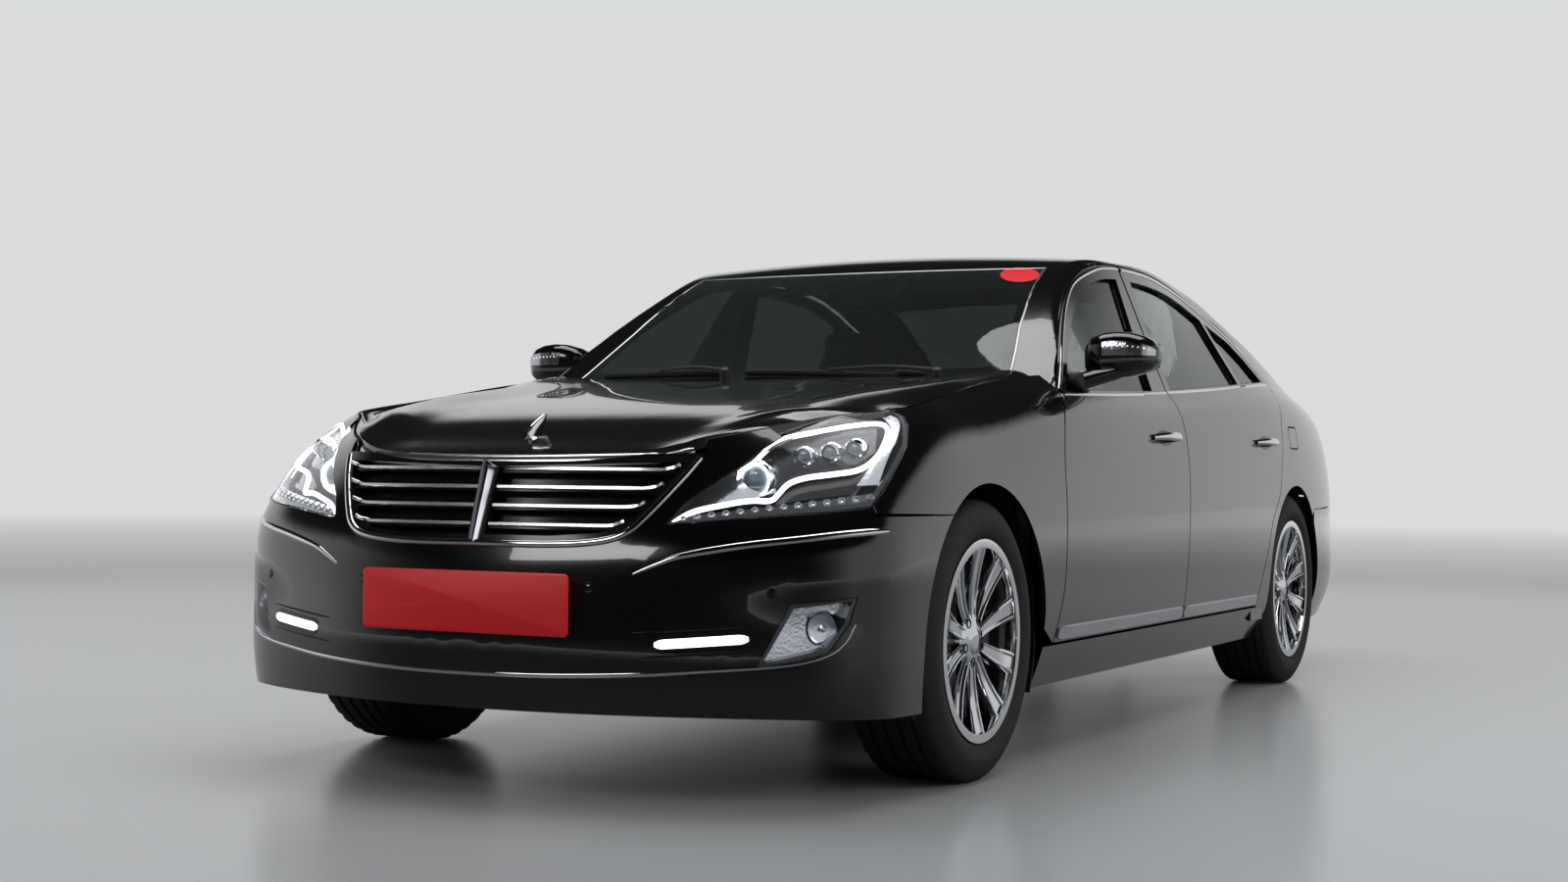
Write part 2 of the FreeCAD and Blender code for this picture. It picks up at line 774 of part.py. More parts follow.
lamp_reach = car.lamp_housing_depth
headlamp_cut = slanted_prism(HEADLAMP_shares, 45, 0, lamp_reach, 2 * lamp_reach)
fog_cut = slanted_prism(FOG_LAMP_shares, 40, 0, lamp_reach, 2 * lamp_reach)
tail_cut = slanted_prism(TAIL_LAMP_shares, 140, 0, lamp_reach, 2 * lamp_reach)
edge_cut = top_edge_prism(car.skin_thickness / 8)
front_arch = across(car.front_arch_radius, arch_front_x, axle_height, -far, far)
rear_arch = across(car.rear_arch_radius, arch_rear_x, axle_height, -far, far)
split_z = 0.4468 * car.overall_height
lid_face_half = 0.5116 * half_width
sill_front_x = 0.2403 * car.overall_length
sill_rear_x = REAR_EDGE_shares[0][0] * car.overall_length - car.seam_gap
post_front_x = 0.2403 * car.overall_length

nose_grid = nose_points(wrap.station(6.7), 25)
nose_wall = skin_layer(nose_grid, 0, car.skin_thickness).cut(edge_cut)
side_grid = skin_points(wrap.station(4.4), wrap.station(15.9), 38)
side_wall = skin_layer(side_grid, 0, car.skin_thickness).cut(edge_cut)


def tail_points(girth, count):
    left = skin_points(girth, wrap.stations[-1], count)
    right = [[Vector(p.x, -p.y, p.z) for p in line] for line in reversed(left[:-1])]
    return left + right


tail_grid = tail_points(wrap.station(11.3), 19)


def grille_outline(top):
    side = [(b * half_width, c * car.overall_height) for b, c in GRILLE_shares]
    left = side[1:]
    right = [(-y, z) for y, z in reversed(left)]
    return left + [(left[-1][0], top), (-left[-1][0], top)] + right if top else left + [
        (0.0, left[-1][1] - 14)] + right


def front_prism(outline, inset=0.0):
    points = [Vector(front_axle, y, z) for y, z in outline]
    face = Part.Face(Part.makePolygon(points + [points[0]]))
    if inset:
        face = face.makeOffset2D(-inset)
    return face.extrude(Vector(car.front_overhang * 2, 0, 0))


def front_bumper():
    shape = nose_wall.cut([headlamp_cut, mirrored(headlamp_cut), fog_cut, mirrored(fog_cut)])
    shape = shape.cut(front_prism(grille_outline(high)))
    shape = shape.cut(front_arch)
    lamp_corner = HEADLAMP_shares[12][0] * car.overall_length
    behind = [(0, split_z - car.shut_gap), (lamp_corner, split_z + 4 - car.shut_gap),
              (lamp_corner, high), (0, high)]
    return shape.cut([side_prism(behind, -far, far), hood_room()])


def grille():
    frame = front_prism(grille_outline(0), 0.4).cut(front_prism(grille_outline(0), 22))
    frame = skin_layer(nose_grid, -2, 22).common(frame)
    low = min(z for _, z in grille_outline(0)) 
    top = grille_outline(0)[5][1]
    slats = []
    inner = front_prism(grille_outline(0), 8)
    band = skin_layer(nose_grid, 8, 8 + car.slat_depth).common(inner)
    count = int(car.slat_count)
    for i in range(count):
        z = low + (top - low) * (i + 1) / (count + 1)
        slats.append(band.common(box(0, far * 2, -far, far, z - car.slat_height / 2, z + car.slat_height / 2)))
    bar = skin_layer(nose_grid, -2, 30).common(inner)
    bar = bar.common(box(0, far * 2, -car.grille_bar_width / 2, car.grille_bar_width / 2, 0, high))
    back = skin_layer(nose_grid, 32, 40).common(inner)
    return fused(frame, *slats, bar, back).cut(hood_zone(car.hood_thickness + car.shut_gap))


lamp_grid = skin_points(wrap.station(1.6), wrap.station(6.6), 22, 0.5, 1.0, 12)
fog_grid = skin_points(wrap.station(2.8), wrap.station(5.2), 10, 0.1, 0.5, 8)


def lamp_lens(grid, shares, degrees):
    cut = slanted_prism(shares, degrees, -0.4, lamp_reach, 2 * lamp_reach)
    return solids(skin_layer(grid, 0.3, 0.3 + car.lamp_lens_thickness).common(cut))


def lamp_bowl(grid, shares, degrees, depth, wall_width):
    front = car.lamp_lens_thickness + 0.6
    outside = slanted_prism(shares, degrees, -4, lamp_reach, 2 * lamp_reach)
    inside = slanted_prism(shares, degrees, -4 - wall_width, lamp_reach, 2 * lamp_reach)
    block = skin_layer(grid, front, depth).common(outside)
    hollow = skin_layer(grid, front - 1, depth - wall_width).common(inside)
    return solids(block.cut(hollow))


def both(shape):
    other = mirrored(shape)
    return Part.makeCompound(shape.Solids + other.Solids)


def edge_curve(shares, shift):
    """Lengthwise place of a shut line over height, moved along the car."""
    return Curve([b * car.overall_height for _, b in shares],
                 [a * car.overall_length + shift for a, _ in shares])


def slant(line, z):
    """Share by which a level gap beside a slanted line must be wider than a square one."""
    slope = (line.at(z + 1) - line.at(z - 1)) / 2
    return math.sqrt(1 + slope * slope) - 1


def waist_meet(line):
    """Where a shut line reaches the waist."""
    x = line.at(waist_height.at(0.0))
    for _ in range(6):
        x = line.at(waist_height.at(x))
    return x


def door_grid(front, rear, inset, place):
    """Grid over a door below the waist, drawn in by an inset."""
    low = car.door_bottom_height + inset
    gap = half_gap + inset
    rise = max(0.0, -inset)
    ahead, behind = edge_curve(front, -gap), edge_curve(rear, gap)
    lead, tail = waist_meet(ahead), waist_meet(behind)
    grid = []
    for share in spread(0.0, 1.0, 25):
        front_z = low + (waist_height.at(lead) + rise - low) * share
        rear_z = low + (waist_height.at(tail) + rise - low) * share
        front_x = ahead.at(front_z) + rise * slant(ahead, front_z)
        rear_x = behind.at(rear_z) - rise * slant(behind, rear_z)
        line = []
        for x in spread(front_x, rear_x, 13):
            line.append(place(x, low + (waist_height.at(x) + rise - low) * share))
        grid.append(line)
    return grid


def cabin_face(x, z):
    skin = wrap.side(x, z).y
    return Vector(x, skin - car.door_thickness + (half_width - skin) / 2, z)


def frame_grid(front, rear, inset, depth):
    """Grid over a door frame, from below the waist up to the rail."""
    (front_low, front_high), (rear_low, rear_high) = front, rear
    grid = []
    for share in spread(0.0, 1.0, 7):
        start = front_low + (front_high - front_low) * share - inset
        end = rear_low + (rear_high - rear_low) * share + inset
        line = []
        for x in spread(start, end, 21):
            low = waist_height.at(x) - car.frame_lap + min(inset, 0.0)
            top = door_top.at(x) - inset * (1 + slant(door_top, x) * (inset < 0))
            z = low + (top - low) * share
            line.append(Vector(x, glass_side(x, z), z))
        grid.append(line)
    return deepened(grid, depth)


def frame_outline(front, rear):
    (front_low, front_high), (rear_low, rear_high) = front, rear
    tops = [(x, door_top.at(x)) for x in spread(front_high, rear_high, 13)]
    return [(front_low, waist_height.at(front_low) - car.frame_lap)] + tops + [
        (rear_low, waist_height.at(rear_low) - car.frame_lap)]


def plane_face(outline):
    points = [Vector(x, 0, z) for x, z in outline]
    return Part.Face(Part.makePolygon(points + points[:1]))


def window_prism(outline, bars, grow=0.0):
    """Window openings: the frame's outline less its band, between slanted bars."""
    opening = plane_face(outline).makeOffset2D(grow - car.frame_band).extrude(Vector(0, far, 0))
    low, top = 0.6 * car.overall_height, car.overall_height
    pieces = []
    for front, rear in bars:
        front_x = [x * car.overall_length + grow for x in front]
        rear_x = [x * car.overall_length - grow for x in rear]
        limits = [(front_x[0], low), (front_x[1], top), (rear_x[1], top), (rear_x[0], low)]
        pieces.append(opening.common(side_prism(limits, 0, far)))
    return pieces


# Bars beside the windows: lengthwise shares at six tenths of the height and at the top
FRONT_WINDOW_shares = [((0.22, 0.22), (0.0359, -0.0030))]
REAR_WINDOW_shares = [((0.0027, -0.0266), (-0.1832, -0.1578)), ((-0.1897, -0.1643), (-0.31, -0.31))]

half_gap = car.shut_gap / 2
front_tip_x = FRONT_EDGE_shares[-1][0] * car.overall_length - half_gap
middle_low_x = MIDDLE_EDGE_shares[5][0] * car.overall_length
middle_high_x = MIDDLE_EDGE_shares[-1][0] * car.overall_length
rear_tip_x = DOOR_TOP_shares[-1][0] * car.overall_length
FRONT_FRAME = ((front_tip_x, front_tip_x),
               (middle_low_x + car.shut_gap, middle_high_x + half_gap + car.frame_relief))
REAR_FRAME = ((middle_low_x - half_gap, middle_high_x - half_gap), (rear_tip_x, rear_tip_x))


def door(front, rear, frame_ends, bars):
    block = wall(door_grid(front, rear, 0.0, wrap.side),
                 door_grid(front, rear, car.door_core_inset, cabin_face))
    frame = wall(frame_grid(*frame_ends, 0.0, 0.0),
                 frame_grid(*frame_ends, car.frame_relief, car.frame_thickness))
    frame = frame.cut(window_prism(frame_outline(*frame_ends), bars))
    return fused(block, frame)


def door_glass(frame_ends, bars):
    layer = wall(frame_grid(*frame_ends, 0.0, car.glass_depth),
                 frame_grid(*frame_ends, 0.0, car.glass_depth + car.glass_thickness))
    openings = window_prism(frame_outline(*frame_ends), bars, -car.seam_gap)
    return solids(Part.makeCompound([layer.common(piece) for piece in openings]))


def mirror():
    """Door mirror: rounded head on a stalk that stands on the door's shoulder."""
    head = box(car.mirror_x - car.mirror_length / 2, car.mirror_x + car.mirror_length / 2,
               car.mirror_y - car.mirror_width, car.mirror_y,
               car.mirror_z - car.mirror_height / 2, car.mirror_z + car.mirror_height / 2)
    head = head.makeFillet(car.mirror_round, head.Edges)
    low = car.mirror_z - car.mirror_height / 2
    foot = wrap.side(car.mirror_x, waist_height.at(car.mirror_x) - car.mirror_stalk / 2)
    reach = car.mirror_stalk
    outline = [(foot.y - reach / 2, foot.z), (foot.y, foot.z - reach / 3),
               (foot.y + reach, low + reach / 2), (foot.y + reach / 3, low + reach / 2)]
    start = car.mirror_x - reach / 2
    stalk = prism([Vector(start, y, z) for y, z in outline], Vector(reach, 0, 0))
    return fused(head, stalk)


# Body sides

def fender():
    x_lamp = HEADLAMP_shares[12][0] * car.overall_length
    edge = edge_places(FRONT_EDGE_shares, half_gap)
    front = x_lamp - car.seam_gap
    above = [(edge[-1][0], high), (front, high), (front, split_z + car.shut_gap),
             (front_axle + car.front_arch_radius / 2, split_z)]
    shape = side_wall.common(side_prism(edge + above, 0, far))
    shape = shape.cut([front_arch, headlamp_cut, rail(), cowl_joint(), front_door_space(),
                       hood_room()])
    return max(shape.Solids, key=lambda solid: solid.Volume)


def rail_section(x):
    """Points across a rail, from the roof's or glass's edge to its foot."""
    edge_y = rail_edge.at(x)
    start = Vector(x, edge_y, canopy_height(x, edge_y))
    corner_y, corner_z = rail_corner(x)
    corner = Vector(x, corner_y, corner_z)
    slope = door_top.at(x + 1) - door_top.at(x - 1)
    fade = min(1.0, max(0.0, (x - rail_tail_x) / car.corner_round))
    gap = car.shut_gap * math.sqrt(1 + slope * slope / 4) * fade
    lap = car.rail_depth * (1 - fade)
    foot_z = min(rail_foot.at(x) + gap - lap, corner_z - car.shut_gap / 2)
    foot = Vector(x, glass_side(x, foot_z), foot_z)
    bend = min(car.corner_round, 0.8 * (corner - foot).Length, 0.8 * (corner - start).Length)
    first = corner + (start - corner).normalize() * bend
    last = corner + (foot - corner).normalize() * bend
    points = [start + (first - start) * share for share in spread(0.0, 0.9, 8)]
    for share in spread(0.0, 1.0, 9):
        points.append(first * (1 - share) ** 2 + corner * (2 * share * (1 - share))
                      + last * share ** 2)
    points += [last + (foot - last) * share for share in spread(0.15, 1.0, 6)]
    return even(points, 11)


def even(points, count):
    """Points at equal steps along a line of points."""
    length = [0.0]
    for a, b in zip(points, points[1:]):
        length.append(length[-1] + (b - a).Length)
    result = []
    for place in spread(0.0, length[-1], count):
        index = max(i for i, value in enumerate(length[:-1]) if value <= place + 1e-9)
        part = (place - length[index]) / (length[index + 1] - length[index])
        result.append(points[index] + (points[index + 1] - points[index]) * part)
    return result


rail_tail_x = RAIL_FOOT_shares[len(DOOR_TOP_shares)][0] * car.overall_length
rail_front_x = 0.1938 * car.overall_length
rail_rear_x = -0.3659 * car.overall_length


def rail():
    outer = [rail_section(x) for x in spread(rail_front_x, rail_rear_x, 41)]
    inner = []
    for line in outer:
        blend = spread(0.0, 1.0, len(line))
        inner.append([
            point + Vector(0, -car.rail_depth * share, -car.rail_depth * (1 - share))
            for point, share in zip(line, blend)
        ])
    return wall(outer, inner)


def quarter():
    edge = edge_places(REAR_EDGE_shares, -half_gap)
    bumper_top = [(a * car.overall_length, b * car.overall_height + half_gap)
                  for a, b in BUMPER_TOP_shares]
    start = [(edge[0][0], 0)]
    outline = start + edge + [(edge[-1][0], high), (-half_length, high)] + bumper_top
    shape = side_wall.common(side_prism(outline, 0, far))
    shape = shape.cut([rear_arch, tail_cut])
    tail = -0.45 * car.overall_length
    shape = shape.cut(box(-half_length, tail, 0, lid_face_half + car.shut_gap, 0, high))
    return shape


def sill():
    grid_out, grid_in = [], []
    for x in spread(sill_front_x, sill_rear_x, 15):
        bottom = wrap.at_share(wrap.girth_at(x, car.sill_top_height), 0.0).z
        heights = spread(bottom + 1, car.sill_top_height, 6)
        grid_out.append([wrap.side(x, z) for z in heights])
        grid_in.append([Vector(x, car.sill_inner_face, z) for z in heights])
    return wall(grid_out, grid_in)


def front_post():
    """Post between the fender and the front door."""
    edge = [(x + car.post_gap, z) for x, z in places(FRONT_EDGE_shares)]
    edge.insert(0, (edge[0][0], car.sill_top_height - car.rail_depth))
    rear = [(post_front_x, edge[-1][1]), (post_front_x, edge[0][1])]
    return side_prism(edge + rear, car.sill_inner_face, half_width - car.post_setback)


def middle_post():
    """Pillar between the doors, inboard of them, from the sill to the rail."""
    top_y, top_z = rail_corner(middle_high_x)
    depth = car.pillar_thickness
    inner = car.sill_inner_face
    waist_z = car.waist_pillar_height
    outline = [
        (inner - 2, car.sill_top_height), (inner - 2, waist_z),
        (top_y - depth * 0.65, top_z - car.rail_depth), (top_y - depth * 0.65, top_z - car.rail_depth / 4),
        (top_y - depth * 0.9, top_z - car.rail_depth / 4), (top_y - depth, top_z - car.rail_depth * 1.5),
        (inner - depth * 1.2, waist_z), (inner - depth, car.sill_top_height - car.floor_thickness),
        (inner + depth / 4, car.sill_top_height - car.floor_thickness), (inner + depth / 4, car.sill_top_height),
    ]
    return prism([Vector(-car.pillar_length / 2, y, z) for y, z in outline],
                 Vector(car.pillar_length, 0, 0))


def sill_joint():
    """Block behind the sill and the quarter that joins them."""
    rear = sill_rear_x - car.sill_joint_length
    return box(rear, sill_rear_x + car.sill_joint_length / 2,
               car.sill_inner_face + car.shut_gap, half_width - car.sill_joint_setback,
               car.sill_top_height - car.floor_thickness, car.sill_top_height)


def cowl_joint():
    """Block below the windscreen's corner that joins post and rail."""
    top = waist_height.at(rail_front_x) + car.cowl_rise
    inner = rail_edge.at(rail_front_x)
    return box(rail_front_x - car.post_gap, rail_front_x + car.sill_joint_length * 0.7,
               inner + car.shut_gap, inner + car.cowl_width, top - 2 * car.rail_depth, top)


def door_space(front, rear):
    """Room of a closed door's block with its clearance."""
    return wall(door_grid(front, rear, -car.shut_gap, outer_face),
                door_grid(front, rear, -car.shut_gap, inner_face))


def front_door_space():
    return door_space(FRONT_EDGE_shares, MIDDLE_EDGE_shares)


def frame_space(frame_ends):
    """Room of a closed door's frame with its clearance."""
    gap = car.shut_gap
    return wall(frame_grid(*frame_ends, -gap, -gap),
                frame_grid(*frame_ends, -gap, car.frame_thickness + gap))


def outer_face(x, z):
    return Vector(x, wrap.side(x, z).y + car.shut_gap, z)


def inner_face(x, z):
    return cabin_face(x, z) - Vector(0, car.shut_gap, 0)


def body_side():
    roof_space = moved(between(ROOF_shares, 0), Vector(0, 0, -car.roof_thickness))
    roof_space = wall(moved(roof_space, Vector(0, 0, high)), roof_space)
    joint = cowl_joint().cut(front_door_space())
    shape = rail()
    for part in (quarter(), sill(), middle_post().cut(roof_space), front_post(), sill_joint(), joint):
        shape = shape.fuse(part)
    return solids(shape.cut([frame_space(FRONT_FRAME), frame_space(REAR_FRAME),
                             door_space(MIDDLE_EDGE_shares, REAR_EDGE_shares), *lid_room()]))


# Outer panels across the car

def edge_y_at(x):
    """Half width of the body's upper edge at a place along the car."""
    girth = solve(lambda g: -wrap.edge_x.at(g), -x, 0.0, wrap.station(16))
    return wrap.edge_y.at(girth)


def edge_x_at(y):
    """Place along the car of the upper edge at the nose, by half width."""
    girth = solve(wrap.edge_y.at, abs(y), 0.0, wrap.station(4))
    return wrap.edge_x.at(girth)


def hood_grid(inset, columns=17, rows=19):
    """Grid over the hood, front to rear, drawn in by an inset."""
    corner_y = HOOD_CORNER_shares[1] * half_width - inset
    corner_x = edge_x_at(corner_y) - inset
    grid = []
    for share in spread(0.0, 1.0, rows):
        share = share ** 1.3
        side_x = corner_x + (hood_rear_side - corner_x) * share
        side_y = edge_y_at(side_x + inset / 2) - inset
        line = []
        for way in spread(-1.0, 1.0, columns):
            front_x = edge_x_at(way * corner_y) - inset
            rear_x = hood_rear_middle + (hood_rear_side - hood_rear_middle) * way * way
            rear_x += min(inset, 0.0) * 1.4
            x = front_x + (rear_x - front_x) * share
            line.append(Vector(x, way * side_y, hood_height(x, way * side_y)))
        grid.append(line)
    return grid


def sheet_down(grid, thickness):
    return wall(grid, moved(grid, Vector(0, 0, -thickness)))


def canopy_grid(front_middle, front_side, rear_middle, rear_side, inset, columns=15, rows=15):
    """Grid between the rails from a front line to a rear line."""
    grid = []
    for share in spread(0.0, 1.0, rows):
        side_x = front_side + (rear_side - front_side) * share
        side_y = rail_edge.at(side_x) - inset
        line = []
        for way in spread(-1.0, 1.0, columns):
            front_x = front_middle + (front_side - front_middle) * way * way
            rear_x = rear_middle + (rear_side - rear_middle) * way * way
            x = front_x + (rear_x - front_x) * share
            line.append(Vector(x, way * side_y, canopy_height(x, way * side_y)))
        grid.append(line)
    return grid


def deck_height(x, y):
    return deck_line.at(x) - deck_fall_share * car.overall_height * (y / half_width) ** 2


def deck_grid(columns=15, rows=11):
    grid = []
    for share in spread(0.0, 1.0, rows):
        line = []
        for way in spread(-1.0, 1.0, columns):
            corner_y = lid_corner_y
            rear_x = tail_edge_x(way * corner_y) + car.shut_gap / 2
            front_x = lid_front_middle + (lid_front_side - lid_front_middle) * way * way
            side_x = lid_front_side + (lid_corner_x - lid_front_side) * share
            side_y = edge_y_at(min(side_x, lid_front_side - car.lid_swing)) - car.shut_gap - 1
            x = front_x + (rear_x - front_x) * share
            line.append(Vector(x, way * side_y, deck_height(x, way * side_y)))
        grid.append(line)
    return grid


def tail_edge_x(y):
    girth = solve(lambda g: -wrap.edge_y.at(g), -abs(y), wrap.station(12), wrap.stations[-1])
    return wrap.edge_x.at(girth)


HOOD_CORNER_shares = (0.4535, 0.5347)
DECK_LINE_shares = [
    (-0.3682, 0.7485), (-0.4264, 0.7204), (-0.4545, 0.6950), (-0.4713, 0.6749),
    (-0.4810, 0.6642), (-0.4855, 0.6589),
]
deck_line = along(DECK_LINE_shares, car.overall_height)
deck_fall_share = 0.0273
hood_rear_middle = 0.2258 * car.overall_length
hood_rear_side = 0.2025 * car.overall_length
lid_front_middle = -0.3725 * car.overall_length
lid_front_side = -0.3676 * car.overall_length
lid_corner_x = -0.4770 * car.overall_length
lid_corner_y = edge_y_at(lid_corner_x) - car.shut_gap - 1
lid_low_z = 0.4716 * car.overall_height
WINDSHIELD_shares = (0.2190, 0.1909, 0.0824, 0.0736)
ROOF_shares = (0.0814, 0.0727, -0.1909, -0.1948)
BACKLIGHT_shares = (-0.1919, -0.1957, -0.3705, -0.3643)


def between(shares, inset):
    return canopy_grid(*(share * car.overall_length for share in shares), inset)


def trunk_lid():
    deck = sheet_down(deck_grid(), car.lid_thickness)
    face = skin_layer(tail_grid, 0, car.lid_thickness)
    face = face.common(box(-half_length, -0.4 * car.overall_length,
                           -lid_face_half, lid_face_half, lid_low_z, high))
    return fused(deck, face)


def rear_bumper():
    shape = skin_layer(tail_grid, 0, car.skin_thickness)
    top = [(a * car.overall_length, b * car.overall_height - half_gap)
           for a, b in BUMPER_TOP_shares]
    below = top + [(top[-1][0], 0), (top[0][0] - 1, 0)]
    return solids(shape.common(side_prism(below, -far, far)).cut(rear_arch))


def tail_lamps():
    cut = slanted_prism(TAIL_LAMP_shares, 140, -car.seam_gap, lamp_reach, 2 * lamp_reach)
    layer = skin_layer(tail_grid, car.seam_gap, car.tail_lamp_depth)
    lid_space = [*lid_room(), box(-half_length, 0, 0, lid_face_half + car.shut_gap, 0, high)]
    return both(layer.common(cut).cut(lid_space))


def above(grid, depth):
    """Space from a depth below a grid upwards."""
    return wall(moved(grid, Vector(0, 0, -depth)), moved(grid, Vector(0, 0, half_width)))


def hood_zone(clearance):
    """Wide space from a clearance below the hood upwards."""
    return above(hood_grid(-car.shut_gap), clearance)


def hood_room():
    """Room of the closed hood with its shut gap."""
    return above(hood_grid(car.seam_gap), car.hood_thickness + car.shut_gap)


def lid_room():
    """Rooms of the closed trunk lid's deck with the shut gap beside and behind it."""
    grid = []
    for line in deck_grid():
        grow = 1 + car.shut_gap / line[-1].y
        grid.append([Vector(point.x, point.y * grow, point.z) for point in line])
    room = above(grid, car.lid_thickness + car.shut_gap)
    return [room, room.translated(Vector(-car.shut_gap, 0, 0))]


def lamp_housings():
    head = lamp_bowl(lamp_grid, HEADLAMP_shares, 45, car.headlamp_depth, car.skin_thickness)
    head = head.cut([hood_zone(car.hood_thickness + car.shut_gap), edge_cut])
    fog = lamp_bowl(fog_grid, FOG_LAMP_shares, 40, car.fog_lamp_depth, car.skin_thickness)
    return Part.makeCompound(both(solids(head)).Solids + both(fog).Solids)


def lamp_lenses():
    head = lamp_lens(lamp_grid, HEADLAMP_shares, 45).cut(edge_cut)
    fog = lamp_lens(fog_grid, FOG_LAMP_shares, 40)
    return Part.makeCompound(both(head).Solids + both(fog).Solids)


def liner(x_axle, radius, inner_face, window_half, window_top):
    """Wheel arch liner: part of a drum over the wheel, its inner wall open for the arms."""
    outer_face = half_width - car.post_setback
    drum = across(radius, x_axle, axle_height, inner_face, outer_face)
    hollow = across(radius - car.liner_wall, x_axle, axle_height,
                    inner_face + car.liner_wall, outer_face + 1)
    window = box(x_axle - window_half, x_axle + window_half, inner_face - 1,
                 inner_face + car.liner_wall + 1, 0, window_top)
    below = box(x_axle - radius - 1, x_axle + radius + 1, 0, far, -high, car.liner_low)
    return drum.cut([hollow, window, below])


# Wheels

def corner_names(index):
    return f"corner_{index}_x", f"corner_{index}_y"


def outline_sketch(body, name, plane, corners):
    """Closed outline of straight lines whose corners are words of the sheet."""
    drawing = body.newObject("Sketcher::SketchObject", name)
    support = next(item for item in body.Origin.OriginFeatures if item.Role == plane)
    drawing.AttachmentSupport = (support, [""])
    drawing.MapMode = "FlatFace"
    places = [[document_value(word) for word in corner] for corner in corners]
    count = len(places)
    for index in range(count):
        ends = [Vector(*places[i % count], 0) for i in (index, index + 1)]
        drawing.addGeometry(Part.LineSegment(*ends), False)
    for index in range(count):
        drawing.addConstraint(Sketcher.Constraint("Coincident", index, 2, (index + 1) % count, 1))
    for index, corner in enumerate(corners):
        fix_corner(drawing, index, corner, places[index])
    return drawing


def fix_corner(drawing, index, corner, place):
    """Holds one corner at its place: on an axis, or by a bound distance from the origin."""
    kinds = (("DistanceX", -2), ("DistanceY", -1))
    for (kind, axis), word, value, name in zip(kinds, corner, place, corner_names(index)):
        if word == "0":
            drawing.addConstraint(Sketcher.Constraint("PointOnObject", index, 1, axis))
            continue
        number = drawing.addConstraint(Sketcher.Constraint(kind, -1, 1, index, 1, value))
        drawing.renameConstraint(number, name)
        bind(drawing, {f"Constraints__{name}": word})


def document_value(word):
    """Number that a sum of the sheet's words stands for."""
    probe = sheet.evalExpression(sheet_words(word))
    return float(probe)


def revolved(body, name, corners):
    """Solid turned about the car's width from (radius, width) corners."""
    drawing = outline_sketch(body, name + "_outline", "XY_Plane", corners)
    feature = body.newObject("PartDesign::Revolution", name)
    feature.Profile = drawing
    feature.ReferenceAxis = (drawing, ["V_Axis"])
    feature.Angle = 360
    body.Tip = feature
    return feature


def tyre_form():
    body = document.addObject("PartDesign::Body", "tyre_form")
    shoulder = "(tyre_flank_radius + tyre_radius + tyre_tread_inset) / 2"
    half = [("rim_flange_radius - tyre_bead_drop", "tyre_bead_inset"),
            ("rim_flange_radius + bead_clearance", "tyre_bead_inset"),
            ("tyre_flank_radius", "0"), (shoulder, "tyre_tread_inset * 0.6"),
            ("tyre_radius", "tyre_tread_inset")]
    other = [(radius, f"tyre_width - ({width})") for radius, width in reversed(half)]
    revolved(body, "tyre_ring", half + other)
    return body


def wheel_form():
    """Rim, one spoke repeated round the axle, hub and brake disc."""
    body = document.addObject("PartDesign::Body", "wheel_form")
    inner, flange = "tyre_bead_inset - rim_flange_thickness", "tyre_bead_inset - bead_clearance"
    wall_radius = "rim_barrel_radius - rim_wall"
    half = [(wall_radius, inner), ("rim_flange_radius", inner), ("rim_flange_radius", flange),
            ("rim_barrel_radius", flange)]
    other = [(radius, f"tyre_width - ({width})") for radius, width in reversed(half)]
    revolved(body, "rim_barrel", half + other)
    spokes(body)
    face, disc_face = "tyre_width - hub_face_inset", "disc_back + disc_thickness"
    revolved(body, "hub", [
        ("0", face), ("hub_radius * 0.8", face), ("hub_radius", "tyre_width - hub_face_inset - hub_chamfer"),
        ("hub_radius", disc_face), ("disc_radius", disc_face), ("disc_radius", "disc_back"),
        ("hub_radius * 0.8", "disc_back"), ("hub_radius * 0.8", "hub_back"), ("0", "hub_back")])
    return body


def spokes(body):
    """Tapered spoke padded inwards from its face, in a polar pattern about the axle."""
    tip = "rim_barrel_radius - rim_wall / 2"
    drawing = outline_sketch(body, "spoke_outline", "XZ_Plane", [
        ("spoke_root_radius", "spoke_root_width / -2"), (tip, "spoke_tip_width / -2"),
        (tip, "spoke_tip_width / 2"), ("spoke_root_radius", "spoke_root_width / 2")])
    bind(drawing, {"AttachmentOffset__Base__z": "spoke_face_inset - tyre_width"})
    spoke = body.newObject("PartDesign::Pad", "spoke")
    spoke.Profile = drawing
    bind(spoke, {"Length": "spoke_thickness"})
    body.Tip = spoke
    pattern = body.newObject("PartDesign::PolarPattern", "spoke_ring")
    pattern.Originals = [spoke]
    pattern.Axis = (drawing, ["N_Axis"])
    pattern.Angle = 360
    bind(pattern, {"Occurrences": "spoke_count"})
    body.Tip = pattern


def on_axle(name, form, axle, track):
    """Left wheel piece set on its axle and its mirror image on the right."""
    left = document.addObject("Part::Compound", name + "_left")
    left.Links = [form]
    bind(left, {"Placement__Base__x": axle, "Placement__Base__y": f"({track} - tyre_width) / 2",
                "Placement__Base__z": "tyre_radius"})
    keep(left)
    keep(reflected(name + "_right", left))


# Underbody, drive and cabin

